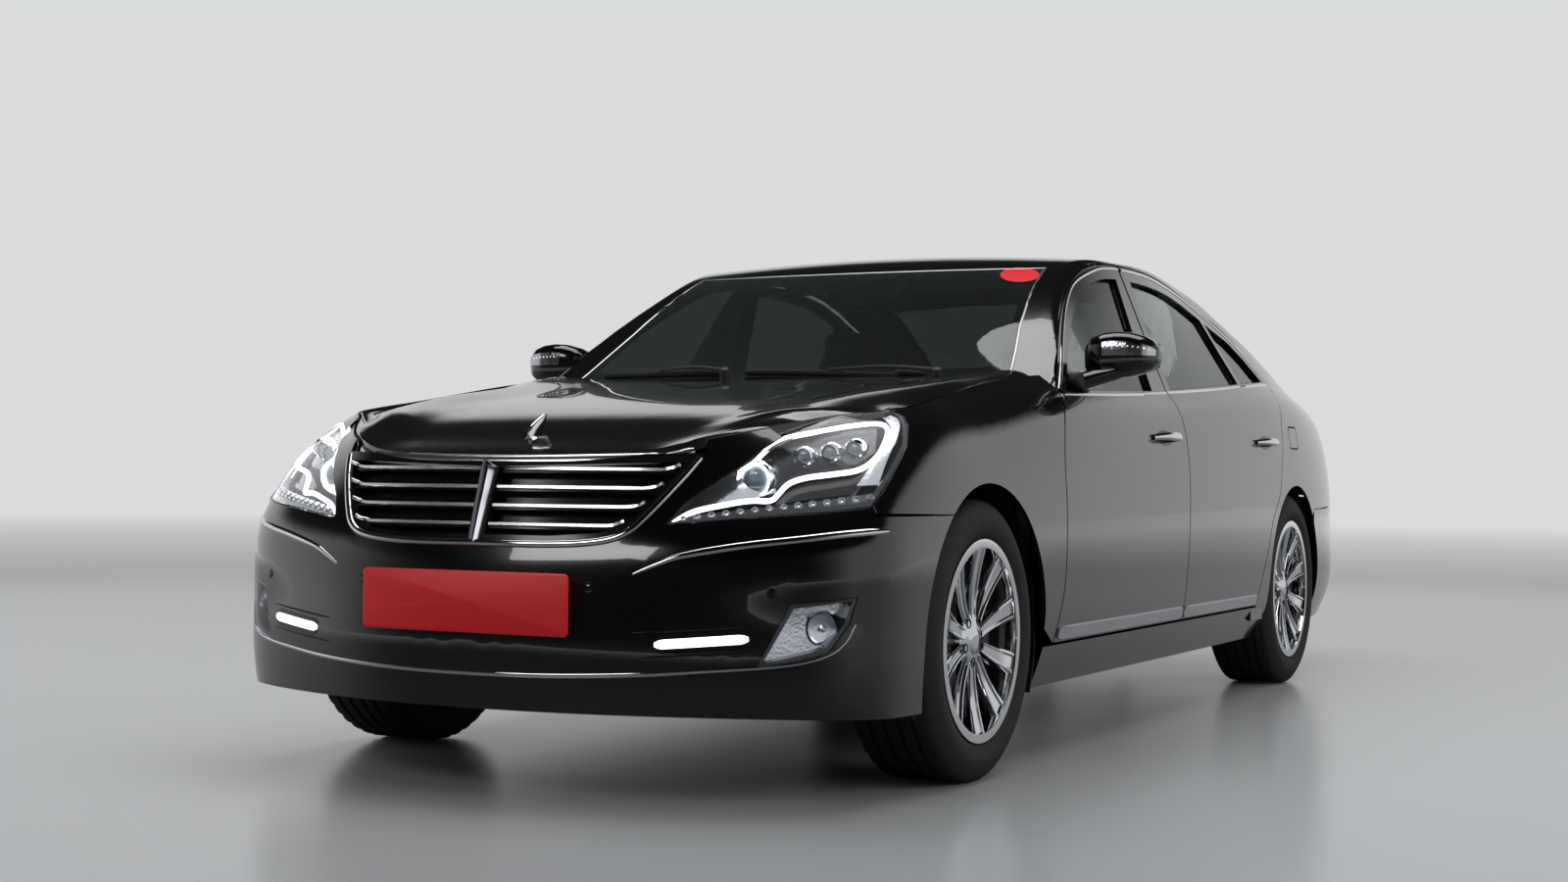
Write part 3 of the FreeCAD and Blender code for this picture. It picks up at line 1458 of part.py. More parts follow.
def floor_pan():
    half, base = car.floor_half_width, car.floor_height
    top = base + car.floor_thickness
    tunnel_half, skin = car.tunnel_width / 2, 2 * car.liner_wall
    plate = box(car.floor_rear, car.floor_front, -half, half, base, top)
    tunnel = box(car.floor_rear, car.floor_front, -tunnel_half, tunnel_half,
                 base + skin, top + car.tunnel_height)
    groove = box(car.floor_rear - 1, car.floor_front + 1, skin - tunnel_half, tunnel_half - skin,
                 0, top + car.tunnel_height - skin)
    boot_top = car.boot_floor_height + car.boot_floor_thickness
    boot = box(car.boot_floor_rear, car.floor_rear + 1, -car.boot_half_width,
               car.boot_half_width, car.boot_floor_height, boot_top)
    riser = box(car.floor_rear - 1, car.floor_rear + car.boot_floor_thickness, -half, half,
                base, boot_top)
    riser = riser.cut(groove)
    rear = liner(rear_axle, car.rear_liner_radius, car.rear_liner_inner_face, 260,
                 car.boot_floor_height - car.boot_floor_thickness / 2)
    rear = rear.cut([skin_layer(tail_grid, 0, car.skin_thickness), side_wall, sill(), sill_joint()])
    shelf = box(-0.3643 * car.overall_length, car.seat_bulkhead_x, -car.shelf_half_width,
                car.shelf_half_width, car.shelf_height, car.shelf_height + skin)
    bulkhead = box(car.seat_bulkhead_x - skin, car.seat_bulkhead_x, -car.shelf_half_width * 0.9,
                   car.shelf_half_width * 0.9, car.boot_floor_height, car.shelf_height + skin)
    gutter = box(lid_front_middle - car.pillar_length, -0.3643 * car.overall_length + 1,
                 -car.gutter_half_width, car.gutter_half_width,
                 car.shelf_height - skin, car.shelf_height + 1)
    pan = fused(plate.cut(groove), tunnel.cut(groove), boot, riser, rear, mirrored(rear),
                bulkhead, shelf, gutter)
    return pan


def front_structure():
    rails = box(car.floor_front - 40, car.support_x + 1, car.rail_y, car.rail_y + car.rail_width,
                car.front_rail_height, car.front_rail_height + 100)
    reach = car.rail_y + car.rail_width
    support = box(car.support_x, car.support_x + 40, -reach, reach, car.support_low,
                  car.support_top)
    beam = box(car.support_x + 39, car.support_x + 110, -reach, reach,
               car.front_rail_height + 20, car.front_rail_height + 100)
    firewall = box(car.floor_front - car.firewall_thickness, car.floor_front, -car.floor_half_width + 10,
                   car.floor_half_width - 10, car.floor_height + car.floor_thickness + 0.4,
                   car.firewall_top)
    skin = 2 * car.liner_wall
    tunnel_half = car.tunnel_width / 2 + 1
    firewall = firewall.cut(box(0, far, -tunnel_half, tunnel_half, 0,
                                car.floor_height + car.floor_thickness + car.tunnel_height + 1))
    cover = liner(front_axle, car.liner_radius, car.liner_inner_face, 75, 240)
    strut_hole = Part.makeCylinder(car.strut_radius + 0.4, high,
                                   Vector(front_axle, car.strut_y, 0))
    cover = cover.cut([strut_hole, nose_wall])
    bracket = box(front_axle - 60, front_axle + 60, car.rail_y + 59, car.liner_inner_face + 1,
                  car.front_rail_height, car.front_rail_height + 60)
    half_parts = [cover, rails, bracket]
    both_sides = half_parts + [mirrored(part) for part in half_parts]
    panel = cowl().cut([rail(), cowl_joint(), mirrored(rail()), mirrored(cowl_joint())])
    shape = fused(support, beam, firewall, panel, *both_sides)
    return solids(shape.cut(hood_zone(car.hood_thickness + car.shut_gap)))


def cowl():
    """Panel between the hood's rear edge and the windscreen's base."""
    grid = []
    for share in spread(0.0, 1.0, 4):
        line = []
        for way in spread(-0.93, 0.93, 15):
            front_x = hood_rear_middle + (hood_rear_side - hood_rear_middle) * way * way
            rear_x = front_x - car.cowl_length
            x = front_x - car.shut_gap + (rear_x - front_x) * share
            y = way * (edge_y_at(hood_rear_side) - car.shut_gap - 1)
            line.append(Vector(x, y, hood_height(x, y) - car.cowl_drop))
        grid.append(line)
    return sheet_down(grid, car.skin_thickness)


def knuckle():
    """Steered upright of the left front wheel with its brake caliper."""
    y_back = (car.front_track - car.tyre_width) / 2 + car.hub_back
    plate_face = y_back - car.shut_gap
    plate = box(front_axle - car.knuckle_length / 2, front_axle + car.knuckle_length / 2,
                plate_face - car.knuckle_width, plate_face,
                axle_height - car.knuckle_height / 2, axle_height + car.knuckle_height / 2)
    boss = across(car.bearing_radius, front_axle, axle_height, plate_face - 1,
                  y_back - car.bearing_gap)
    disc_y = y_back - car.hub_back + car.disc_back
    inner, outer = 0.72 * car.disc_radius, 1.16 * car.disc_radius
    caliper = box(front_axle - outer, front_axle - inner, plate_face - 20,
                  disc_y + 2 * car.disc_thickness, axle_height - 55, axle_height + 55)
    slot = across(car.disc_radius + 6, front_axle, axle_height, disc_y - 6,
                  disc_y + car.disc_thickness + 6)
    lug = box(front_axle - inner - 1, front_axle - 30, plate_face - 20, plate_face - 1,
              axle_height - 30, axle_height + 30)
    return fused(plate, boss, caliper.cut(slot), lug)


def front_suspension():
    """Lower and upper arms, strut, kingpins and the post up to the rail, on both sides."""
    up = Vector(0, 0, 1)
    axle, half = "(overall_length / 2 - front_overhang)", "arm_width / 2"
    rear_x, reach = f"{axle} - {half}", f"kingpin_y + {half}"
    low_top = "tyre_radius - knuckle_height / 2 - arm_clearance"
    high_base = "tyre_radius + knuckle_height / 2 + arm_clearance"
    overlap = "bearing_gap * 2"
    lower = block("lower_arms", ("arm_width", f"2 * ({reach})", "arm_thickness"),
                  (rear_x, f"-({reach})", f"{low_top} - arm_thickness"))
    upper = block("upper_arm", ("arm_width", f"{reach} - strut_y", "arm_thickness * 0.75"),
                  (rear_x, "strut_y", high_base))
    strut = rod("strut", up, "strut_radius", f"strut_top - ({low_top}) + {overlap}",
                (axle, "strut_y", f"{low_top} - {overlap}"))
    pin_height = "arm_clearance + bearing_gap"
    low_pin = rod("lower_kingpin", up, "pin_radius", pin_height,
                  (axle, "kingpin_y", f"{low_top} - {overlap}"))
    high_pin = rod("upper_kingpin", up, "pin_radius", pin_height,
                   (axle, "kingpin_y", f"{high_base} - arm_clearance + bearing_gap"))
    post = block("rail_post", ("arm_width", "rail_width - 2 * rail_inset",
                               f"front_rail_height - ({low_top}) + bearing_gap"),
                 (rear_x, "rail_y + rail_inset", f"{low_top} - {overlap}"))
    side = [upper, strut, post, low_pin, high_pin]
    others = [reflected("other_" + part.Name, part) for part in side]
    keep(union("front_suspension", [lower] + side + others))


def rear_suspension():
    """Cradle, towers to the boot floor, arms, links and wheel carriers."""
    across_car = Vector(0, 1, 0)
    axle = "(overall_length / 2 - front_overhang - wheelbase)"
    back = "((rear_track - tyre_width) / 2 + hub_back)"
    carrier_face = f"{back} - shut_gap"
    inner_end = "cradle_half_width - bearing_gap"
    reach = f"{carrier_face} - knuckle_width / 2 - ({inner_end})"
    carrier = block("rear_carrier", ("knuckle_length", "knuckle_width", "carrier_height"),
                    (f"{axle} - knuckle_length / 2", f"{carrier_face} - knuckle_width",
                     "tyre_radius - carrier_height / 2"))
    boss = rod("rear_boss", across_car, "bearing_radius", "2 * shut_gap - bearing_gap",
               (axle, f"{back} - 2 * shut_gap", "tyre_radius"))
    arm = block("rear_arm", ("2 * arm_width", reach, "arm_thickness"),
                (f"{axle} - arm_width", inner_end, "tyre_radius - 2 * arm_thickness"))
    link = block("rear_link", ("arm_width", reach, "arm_thickness / 2"),
                 (f"{axle} - arm_width / 2", inner_end, "tyre_radius + arm_thickness"))
    base = "tyre_radius - carrier_height * 0.4"
    tower = block("rear_tower", ("tower_length", "arm_width", f"boot_floor_height - bearing_gap - ({base})"),
                  (f"{axle} - tower_length / 2", "cradle_half_width - arm_width", base))
    cradle = block("rear_cradle", ("1.5 * tower_length", "2 * cradle_half_width", "carrier_height / 2"),
                   (f"{axle} - 0.75 * tower_length", "-cradle_half_width", base))
    side = [carrier, boss, arm, link, tower]
    others = [reflected("other_" + part.Name, part) for part in side]
    keep(union("rear_suspension", [cradle] + side + others))


def exhaust():
    """Pipe along the tunnel, silencer across the tail and two tail pipes."""
    along_car, up, across_car = Vector(1, 0, 0), Vector(0, 0, 1), Vector(0, 1, 0)
    silencer_x = "boot_floor_rear + 2 * silencer_radius"
    silencer_z = "boot_floor_height - silencer_radius - bead_clearance"
    rise = f"{silencer_z} - exhaust_height"
    tail_x = "tail_lamp_depth - overall_length / 2"
    tail_y = "silencer_length / 2 - 2 * exhaust_radius"
    silencer = rod("silencer", across_car, "silencer_radius", "silencer_length",
                   (silencer_x, "silencer_length / -2", silencer_z))
    pipe = rod("front_pipe", along_car, "exhaust_radius", f"floor_front - ({silencer_x})",
               (silencer_x, "0", "exhaust_height"))
    bend = rod("front_pipe_rise", up, "exhaust_radius", rise, (silencer_x, "0", "exhaust_height"))
    tail = rod("tail_pipe", along_car, "exhaust_radius", f"{silencer_x} - ({tail_x})",
               (tail_x, tail_y, "exhaust_height"))
    drop = rod("tail_pipe_drop", up, "exhaust_radius", rise, (silencer_x, tail_y, "exhaust_height"))
    pair_of_tails = [reflected("other_tail_pipe", tail), reflected("other_tail_pipe_drop", drop)]
    keep(union("exhaust", [silencer, pipe, bend, tail, drop] + pair_of_tails))


def steering_wheel():
    """Rim, hub, three spokes and the column towards the dashboard."""
    up, centre = Vector(0, 0, 1), ("0", "0")
    rim = bound("Part::Torus", "steering_rim", Radius1="steering_wheel_radius",
                Radius2="steering_rim_radius")
    hub = rod("steering_hub", up, "steering_hub_radius", "steering_hub_depth",
              (*centre, "steering_hub_depth * -0.6"))
    column = rod("steering_column", up, "column_radius", "column_length",
                 (*centre, "steering_hub_depth * -0.58 - column_length"))
    low = "steering_spoke_depth * -0.7"
    across_bar = block("steering_side_spokes",
                       ("steering_spoke_width", "2 * steering_wheel_radius", "steering_spoke_depth"),
                       ("steering_spoke_width / -2", "-steering_wheel_radius", low))
    low_bar = block("steering_low_spoke",
                    ("steering_wheel_radius", "steering_spoke_width", "steering_spoke_depth"),
                    ("0", "steering_spoke_width / -2", low))
    shape = union("steering_wheel", [rim, hub, column, across_bar, low_bar])
    shape.Placement = Placement(Vector(), Rotation(Vector(0, 1, 0), car.steering_rake - 90))
    bind(shape, place_words("steering_centre_x", "steering_centre_y", "steering_centre_z"))
    keep(shape)


def dashboard():
    """Padded section across the cabin, bored for the steering column."""
    body = document.addObject("PartDesign::Body", "dashboard_form")
    rear = "floor_front - firewall_thickness - seam_gap"
    drawing = outline_sketch(body, "dashboard_section", "XZ_Plane", [
        (rear, "dashboard_top"), ("dashboard_lip_x", "dashboard_lip_height"),
        ("dashboard_face_x", "dashboard_face_top"), ("dashboard_face_x", "dashboard_face_low"),
        ("dashboard_knee_x", "dashboard_knee_height"), (rear, "dashboard_low")])
    pad = body.newObject("PartDesign::Pad", "dashboard_block")
    pad.Profile = drawing
    pad.Midplane = True
    bind(pad, {"Length": "2 * dashboard_half_width"})
    body.Tip = pad
    turn = math.radians(car.steering_rake)
    bore = rod("column_bore", Vector(math.cos(turn), 0, -math.sin(turn)),
               "column_radius + bearing_gap", "2 * column_length",
               ("steering_centre_x", "steering_centre_y", "steering_centre_z"))
    shape = document.addObject("Part::Cut", "dashboard")
    shape.Base = body
    shape.Tool = bore
    keep(shape)


def rounded_box(x0, x1, y0, y1, z0, z1, radius):
    shape = box(x0, x1, y0, y1, z0, z1)
    return shape.makeFillet(radius, shape.Edges)


def front_seats():
    floor = car.floor_height + car.floor_thickness + 0.4
    cushion = rounded_box(-140, 400, 137, 630, floor + 60, floor + 250, 50)
    base = box(-60, 320, 180, 580, floor, floor + 61)
    outline = [(-90, floor + 180), (-230, floor + 190), (-400, 1080), (-300, 1130), (-240, 1100)]
    back = side_prism(outline, 140, 620)
    back = back.makeFillet(30, back.Edges)
    head = rounded_box(-420, -310, 260, 500, 1100, 1270, 40)
    return both(fused(cushion, base, back, head))


def rear_seat():
    floor = car.floor_height + car.floor_thickness + 0.4
    rear = car.floor_rear + car.boot_floor_thickness + 0.4
    cushion = rounded_box(rear, -430, -640, 640, floor + 30, floor + 250, 50)
    base = box(rear + 60, -500, -600, 600, floor, floor + 31)
    top = car.boot_floor_height + car.boot_floor_thickness + 0.4
    outline = [(rear - 10, top), (rear + 130, top + 40), (car.seat_bulkhead_x + 200, 1120),
               (car.seat_bulkhead_x + 60, 1120), (car.seat_bulkhead_x + 40, top)]
    back = side_prism(outline, -550, 550)
    upright = [edge for edge in back.Edges if edge.BoundBox.ZMax > top + 100]
    back = back.makeFillet(30, upright)
    half = car.tunnel_width / 2 + 1
    tunnel = box(rear - 1, 0, -half, half, 0, floor + car.tunnel_height + 1)
    cushion = fused(cushion, base).cut(tunnel)
    return Part.makeCompound(cushion.Solids + back.Solids)


# Fuel flap in the left rear quarter
FLAP_shares = (-0.2836, -0.2580, 0.5833, 0.6408)


def flap_prism(shrink, y_from):
    x0, x1 = (share * car.overall_length for share in FLAP_shares[:2])
    z0, z1 = (share * car.overall_height for share in FLAP_shares[2:])
    shape = box(x0 + shrink, x1 - shrink, y_from, far, z0 + shrink, z1 - shrink)
    upright = [edge for edge in shape.Edges
               if abs(edge.Vertexes[0].Y - edge.Vertexes[-1].Y) > half_width / 10]
    return shape.makeFillet(car.flap_round, upright)


def fuel_flap():
    return solids(side_wall.common(flap_prism(0.9 * car.shut_gap, 0)))


# Assembly

front_door = door(FRONT_EDGE_shares, MIDDLE_EDGE_shares, FRONT_FRAME, FRONT_WINDOW_shares)
pair("front_door", front_door)
pair("rear_door", door(MIDDLE_EDGE_shares, REAR_EDGE_shares, REAR_FRAME, REAR_WINDOW_shares))
pair("front_door_glass", door_glass(FRONT_FRAME, FRONT_WINDOW_shares))
pair("rear_door_glass", door_glass(REAR_FRAME, REAR_WINDOW_shares))
pair("mirror", solids(mirror().cut(front_door)))
side = body_side()
add_feature("body_side_left", solids(side.cut(flap_prism(0, 0))))
add_feature("body_side_right", mirrored(side))
add_feature("fuel_flap", fuel_flap())
pair("fender", fender())
add_feature("hood", sheet_down(hood_grid(car.shut_gap + 1), car.hood_thickness))
add_feature("trunk_lid", trunk_lid())
add_feature("roof", sheet_down(between(ROOF_shares, 2 * car.seam_gap), car.roof_thickness))
add_feature("windshield", sheet_down(between(WINDSHIELD_shares, car.seam_gap),
                                     car.glass_thickness))
add_feature("rear_window", sheet_down(between(BACKLIGHT_shares, car.seam_gap),
                                      car.glass_thickness))
add_feature("front_bumper", solids(front_bumper()))
add_feature("grille", grille())
add_feature("rear_bumper", rear_bumper())
add_feature("front_lamp_lenses", lamp_lenses())
add_feature("front_lamp_housings", lamp_housings())
add_feature("tail_lamps", tail_lamps())
add_feature("floor_pan", floor_pan())
add_feature("front_structure", front_structure())
front_suspension()
rear_suspension()
exhaust()
keep(block("engine", ("engine_length", "engine_width", "engine_height"),
           ("engine_front - engine_length", "engine_width / -2", "engine_base")))
dashboard()
steering_wheel()
add_feature("front_seats", front_seats())
add_feature("rear_seat", rear_seat())
pair("knuckle", knuckle())
ring, casting = tyre_form(), wheel_form()
front_axle_words = "overall_length / 2 - front_overhang"
for place, axle in (("front", front_axle_words), ("rear", f"{front_axle_words} - wheelbase")):
    on_axle(f"{place}_tyre", ring, axle, f"{place}_track")
    on_axle(f"{place}_wheel", casting, axle, f"{place}_track")


document.recompute()
for item in nodes:
    problems = [state for state in item.State if state in ("Invalid", "Error")]
    if problems or item.Shape.isNull() or not item.Shape.isValid():
        raise RuntimeError(f"{item.Label} failed: {problems}")
for item in nodes:
    item.Shape.exportStep(f"parts/{item.Label}.step")
    print(item.Label, len(item.Shape.Solids), round(item.Shape.Volume / 1e6, 3))
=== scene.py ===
"""Looks of a black full-size saloon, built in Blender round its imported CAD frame.

Strips, lamps and seals are placed by casting rays onto the CAD panels, so each
one lies on the panel that carries it. Lengths are in metres: +X is forward,
+Y is the car's left and +Z is up.
"""

import logging
import math
from collections.abc import Callable, Sequence
from dataclasses import dataclass
from enum import Enum

import bmesh
import bpy
from mathutils import Matrix, Vector
from mathutils.bvhtree import BVHTree


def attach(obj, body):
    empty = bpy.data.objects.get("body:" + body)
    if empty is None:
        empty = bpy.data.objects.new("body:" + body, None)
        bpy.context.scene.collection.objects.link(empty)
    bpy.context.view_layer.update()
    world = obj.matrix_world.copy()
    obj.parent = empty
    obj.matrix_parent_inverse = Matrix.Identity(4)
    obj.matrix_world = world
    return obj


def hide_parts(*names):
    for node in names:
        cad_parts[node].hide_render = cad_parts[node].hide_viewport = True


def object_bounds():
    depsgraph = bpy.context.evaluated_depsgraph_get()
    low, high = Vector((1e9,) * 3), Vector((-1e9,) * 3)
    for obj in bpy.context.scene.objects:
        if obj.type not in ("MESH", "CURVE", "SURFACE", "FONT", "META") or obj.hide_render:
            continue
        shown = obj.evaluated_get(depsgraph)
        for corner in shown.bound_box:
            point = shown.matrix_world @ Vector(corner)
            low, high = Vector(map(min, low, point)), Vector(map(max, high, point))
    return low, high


LOG = logging.getLogger("saloon")
PICTURE = (1600, 900)
SENSOR_WIDTH = 36
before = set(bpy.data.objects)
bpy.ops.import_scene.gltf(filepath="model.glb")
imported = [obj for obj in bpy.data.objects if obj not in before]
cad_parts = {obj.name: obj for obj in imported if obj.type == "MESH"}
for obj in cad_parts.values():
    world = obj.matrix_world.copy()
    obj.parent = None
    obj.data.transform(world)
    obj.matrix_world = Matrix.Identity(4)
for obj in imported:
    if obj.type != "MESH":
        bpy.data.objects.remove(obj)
CAD_BOX = [list(corner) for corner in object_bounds()]

Mesh = tuple[list[Vector], list[tuple[int, ...]]]
Pair = tuple[float, float]
Triple = tuple[float, float, float]
Spot = tuple[Vector, Vector]
Cast = Callable[[float, float], Spot]

AHEAD, BACK = Vector((1, 0, 0)), Vector((-1, 0, 0))
LEFT, RIGHT = Vector((0, 1, 0)), Vector((0, -1, 0))
UP, DOWN = Vector((0, 0, 1)), Vector((0, 0, -1))


class Side(Enum):
    """Sides of the car; the value is the sign of y."""

    LEFT = 1
    RIGHT = -1

    @property
    def word(self) -> str:
        """Name that bodies and nodes of this side end in."""
        return self.name.lower()


# Finishes


class Pattern(Enum):
    """Surface effects; the value is the name of the node group."""

    GRAIN = "moulded_grain"
    HIDE = "leather_hide"
    BRUSHED = "brushed_metal"
    WEAVE = "woven_cloth"


def set_inputs(node: bpy.types.Node, inputs: dict) -> None:
    """Sets the sockets of a node.

    Args:
        node: The node.
        inputs: Values by socket; a socket among them is linked.
    """
    for name, value in inputs.items():
        if isinstance(value, bpy.types.NodeSocket):
            node.id_data.links.new(value, node.inputs[name])
        else:
            node.inputs[name].default_value = value


def shader_node(tree: bpy.types.NodeTree, kind: str, inputs: dict | None = None,
                **settings: object) -> bpy.types.Node:
    """Adds one shader node.

    Args:
        tree: The tree that gets it.
        kind: Its type without the prefix ShaderNode.
        inputs: Values of its sockets, as set_inputs takes them.
        settings: Its other settings.

    Returns:
        The node.
    """
    made = tree.nodes.new("ShaderNode" + kind)
    for name, value in settings.items():
        setattr(made, name, value)
    set_inputs(made, inputs or {})
    return made


def effect_group(pattern: Pattern) -> bpy.types.NodeTree:
    """Node group of one surface effect, built once.

    Args:
        pattern: The effect.

    Returns:
        The group, which gives Colour, Roughness and Height.
    """
    found = bpy.data.node_groups.get(pattern.value)
    if found:
        return found
    tree = bpy.data.node_groups.new(pattern.value, "ShaderNodeTree")
    for way, sockets in (("INPUT", "Colour,Worn Colour,Amount,Size,Roughness,Spread"),
                         ("OUTPUT", "Colour,Roughness,Height")):
        for name in sockets.split(","):
            kind = "NodeSocketColor" if "Colour" in name else "NodeSocketFloat"
            tree.interface.new_socket(name=name, in_out=way, socket_type=kind)
    given = tree.nodes.new("NodeGroupInput").outputs
    result = tree.nodes.new("NodeGroupOutput")
    place = shader_node(tree, "TexCoord").outputs["Object"]
    scale = (1, 1, 14) if pattern is Pattern.BRUSHED else (1, 1, 1)
    stretch = shader_node(tree, "Mapping", {"Vector": place, "Scale": scale})
    broad = shader_node(tree, "TexNoise", {"Vector": place, "Scale": 7.0, "Detail": 5.0})
    kind = {Pattern.HIDE: "TexVoronoi", Pattern.WEAVE: "TexWave"}.get(pattern, "TexNoise")
    fine = shader_node(tree, kind, {"Vector": stretch.outputs[0], "Scale": given["Size"]})
    mask = shader_node(tree, "Math", {0: broad.outputs[0], 1: given["Amount"]},
                       operation="MULTIPLY")
    tint = shader_node(tree, "Mix", {"Factor": mask.outputs[0], 6: given["Colour"],
                                     7: given["Worn Colour"]}, data_type="RGBA")
    centred = shader_node(tree, "Math", {0: broad.outputs[0], 1: 0.5}, operation="SUBTRACT")
    gloss = shader_node(tree, "Math", {0: centred.outputs[0], 1: given["Spread"],
                                       2: given["Roughness"]}, operation="MULTIPLY_ADD")
    height = fine.outputs["Distance"] if pattern is Pattern.HIDE else fine.outputs[0]
    set_inputs(result, {"Colour": tint.outputs[2], "Roughness": gloss.outputs[0], "Height": height})
    return tree


@dataclass(frozen=True)
class Finish:
    """One finish of the car.

    Attributes:
        name: Material name.
        colour: Linear colour.
        roughness: Middle roughness.
        slot: The record's material slot; not used.
        metallic: 1 for bare metal.
        coat: Weight of a clear coat.
        transmission: 1 for glass and clear plastic.
        index: Refractive index.
        glow: Strength of its own light.
        pattern: Surface effect.
        worn: Second colour of the effect.
        amount: Share of the second colour.
        size: Scale of the effect's fine texture.
        spread: How much the roughness varies.
        relief: Height of the fine texture in metres, or 0.
    """

    name: str
    colour: Triple
    roughness: float
    slot: str
    metallic: float = 0.0
    coat: float = 0.0
    transmission: float = 0.0
    index: float = 1.5
    glow: float = 0.0
    pattern: Pattern = Pattern.GRAIN
    worn: Triple | None = None
    amount: float = 0.3
    size: float = 400.0
    spread: float = 0.04
    relief: float = 0.0

    def material(self) -> bpy.types.Material:
        """The Blender material, built at its first use."""
        found = bpy.data.materials.get(self.name)
        return found or self.build()

    def build(self) -> bpy.types.Material:
        """Builds the material from its effect group and one shader.

        Returns:
            The new material.
        """
        made = bpy.data.materials.new(self.name)
        made.use_nodes = True
        tree = made.node_tree
        worn = self.worn or tuple(min(1.0, part * 1.25 + 0.001) for part in self.colour)
        effect = shader_node(tree, "Group", {
            "Colour": (*self.colour, 1), "Worn Colour": (*worn, 1), "Amount": self.amount,
            "Size": self.size, "Roughness": self.roughness, "Spread": self.spread},
            node_tree=effect_group(self.pattern)).outputs
        values = {"Base Color": effect["Colour"], "Roughness": effect["Roughness"],
                  "Metallic": self.metallic, "Coat Weight": self.coat, "Coat Roughness": 0.015,
                  "Transmission Weight": self.transmission, "IOR": self.index}
        if self.relief:
            bump = shader_node(tree, "Bump", {"Distance": self.relief, "Height": effect["Height"]})
            values["Normal"] = bump.outputs["Normal"]
        if self.glow:
            values |= {"Emission Color": effect["Colour"], "Emission Strength": self.glow}
        set_inputs(tree.nodes["Principled BSDF"], values)
        return made


FINE_RELIEF = 0.00002
PAINT = Finish("black_gloss_paint", (0.0025, 0.0025, 0.003), 0.14, "paint", coat=1.0,
               amount=0.2, spread=0.03)
GLASS = Finish("tinted_glass", (0.16, 0.18, 0.18), 0.0, "glass", transmission=1.0, index=1.45,
               amount=0.05, spread=0.0)
CLEAR = Finish("clear_lens", (0.97, 0.98, 1.0), 0.0, "clear", transmission=1.0, index=1.2,
               amount=0.02, spread=0.0)
CHROME = Finish("bright_chrome", (0.86, 0.87, 0.89), 0.05, "chrome", metallic=1.0, spread=0.03)
DARK_CHROME = Finish("smoked_chrome", (0.16, 0.16, 0.175), 0.14, "chrome", metallic=1.0)
BRIGHT_BAR = Finish("bright_grille_bar", (0.92, 0.925, 0.94), 0.23, "chrome", metallic=1.0)
SATIN = Finish("satin_strip", (0.62, 0.62, 0.64), 0.28, "chrome", metallic=1.0,
               pattern=Pattern.BRUSHED, size=900, relief=FINE_RELIEF)
GLOSS_BLACK = Finish("gloss_black_trim", (0.006, 0.006, 0.007), 0.12, "paint")
# Black rubber; the dots on the brake discs use it as painted shade of drilled holes.
SEAL_RUBBER_AND_HOLE_SHADE = Finish("black_seal_rubber", (0.012, 0.012, 0.012), 0.55, "trim", spread=0.15,
              relief=FINE_RELIEF)
GRAINED = Finish("grained_black_plastic", (0.02, 0.02, 0.021), 0.5, "trim", size=900,
                 relief=0.00012, spread=0.12)
TYRE = Finish("tyre_rubber", (0.014, 0.0138, 0.0135), 0.72, "rubber", worn=(0.04, 0.038, 0.035),
              amount=0.45, spread=0.2, size=700, relief=0.0001)
WHEEL = Finish("chromed_wheel", (0.78, 0.79, 0.81), 0.08, "rim", metallic=1.0, spread=0.05)
# Dark metal: on the wheels it is painted shade of the bolt recesses; the rear window's heater lines
# have it as their own colour.
POCKET_SHADE_AND_HEATER_METAL = Finish("dark_wheel_pocket", (0.12, 0.12, 0.13), 0.35, "rim", metallic=1.0,
                      relief=FINE_RELIEF)
DISC = Finish("brake_disc_steel", (0.34, 0.33, 0.32), 0.32, "steel", metallic=1.0,
              pattern=Pattern.BRUSHED, worn=(0.2, 0.13, 0.09), amount=0.4, size=300,
              relief=FINE_RELIEF)
STEEL = Finish("coated_steel", (0.05, 0.05, 0.052), 0.5, "steel", worn=(0.1, 0.07, 0.05),
               spread=0.2, relief=FINE_RELIEF)
UNDERSEAL = Finish("stone_chip_coating", (0.02, 0.02, 0.02), 0.75, "underseal", spread=0.2,
                   size=260, relief=0.0004)
BAY_PAINT = Finish("bay_paint", (0.006, 0.006, 0.0065), 0.55, "underseal", spread=0.1)
PIPE = Finish("heat_tinted_steel", (0.36, 0.33, 0.29), 0.35, "exhaust", metallic=1.0,
              worn=(0.2, 0.14, 0.09), amount=0.7, spread=0.15, relief=FINE_RELIEF)
ENGINE = Finish("engine_cover", (0.035, 0.035, 0.037), 0.5, "engine", spread=0.15, relief=0.0002)
LEATHER = Finish("black_leather", (0.022, 0.02, 0.019), 0.42, "seat_leather",
                 pattern=Pattern.HIDE, size=520, relief=0.0003, spread=0.12)
CARPET = Finish("black_carpet", (0.018, 0.018, 0.019), 0.95, "trim", pattern=Pattern.WEAVE,
                size=500, relief=0.0008)
HEADLINER = Finish("pale_headliner", (0.42, 0.4, 0.37), 0.9, "trim", pattern=Pattern.WEAVE,
                   size=800, relief=0.0001)
RED_LENS = Finish("red_lamp_lens", (0.32, 0.004, 0.006), 0.06, "red_lens", coat=1.0)
RED_TUBE = Finish("red_light_guide", (0.8, 0.02, 0.02), 0.15, "red_lens", coat=1.0)
AMBER = Finish("amber_lens", (0.75, 0.2, 0.01), 0.1, "clear", coat=1.0)
REFLECTOR = Finish("lamp_reflector", (0.62, 0.64, 0.67), 0.16, "lamp_inner", metallic=1.0,
                   size=120, relief=0.0004)
LAMP_DARK = Finish("lamp_bezel", (0.05, 0.052, 0.055), 0.25, "lamp_inner", metallic=0.6,
                   relief=FINE_RELIEF)
LENS_BALL = Finish("projector_lens", (0.1, 0.13, 0.16), 0.02, "clear", coat=1.0)
TUBE = Finish("white_light_tube", (1.0, 1.0, 1.0), 0.3, "clear", glow=2.2, amount=0.0)
DAY_LIGHT = Finish("white_light_bar", (1.0, 1.0, 0.93), 0.3, "clear", glow=2.2, amount=0.0)
PLATE = Finish("red_blank_plate", (0.72, 0.012, 0.018), 0.4, "trim", coat=0.2)
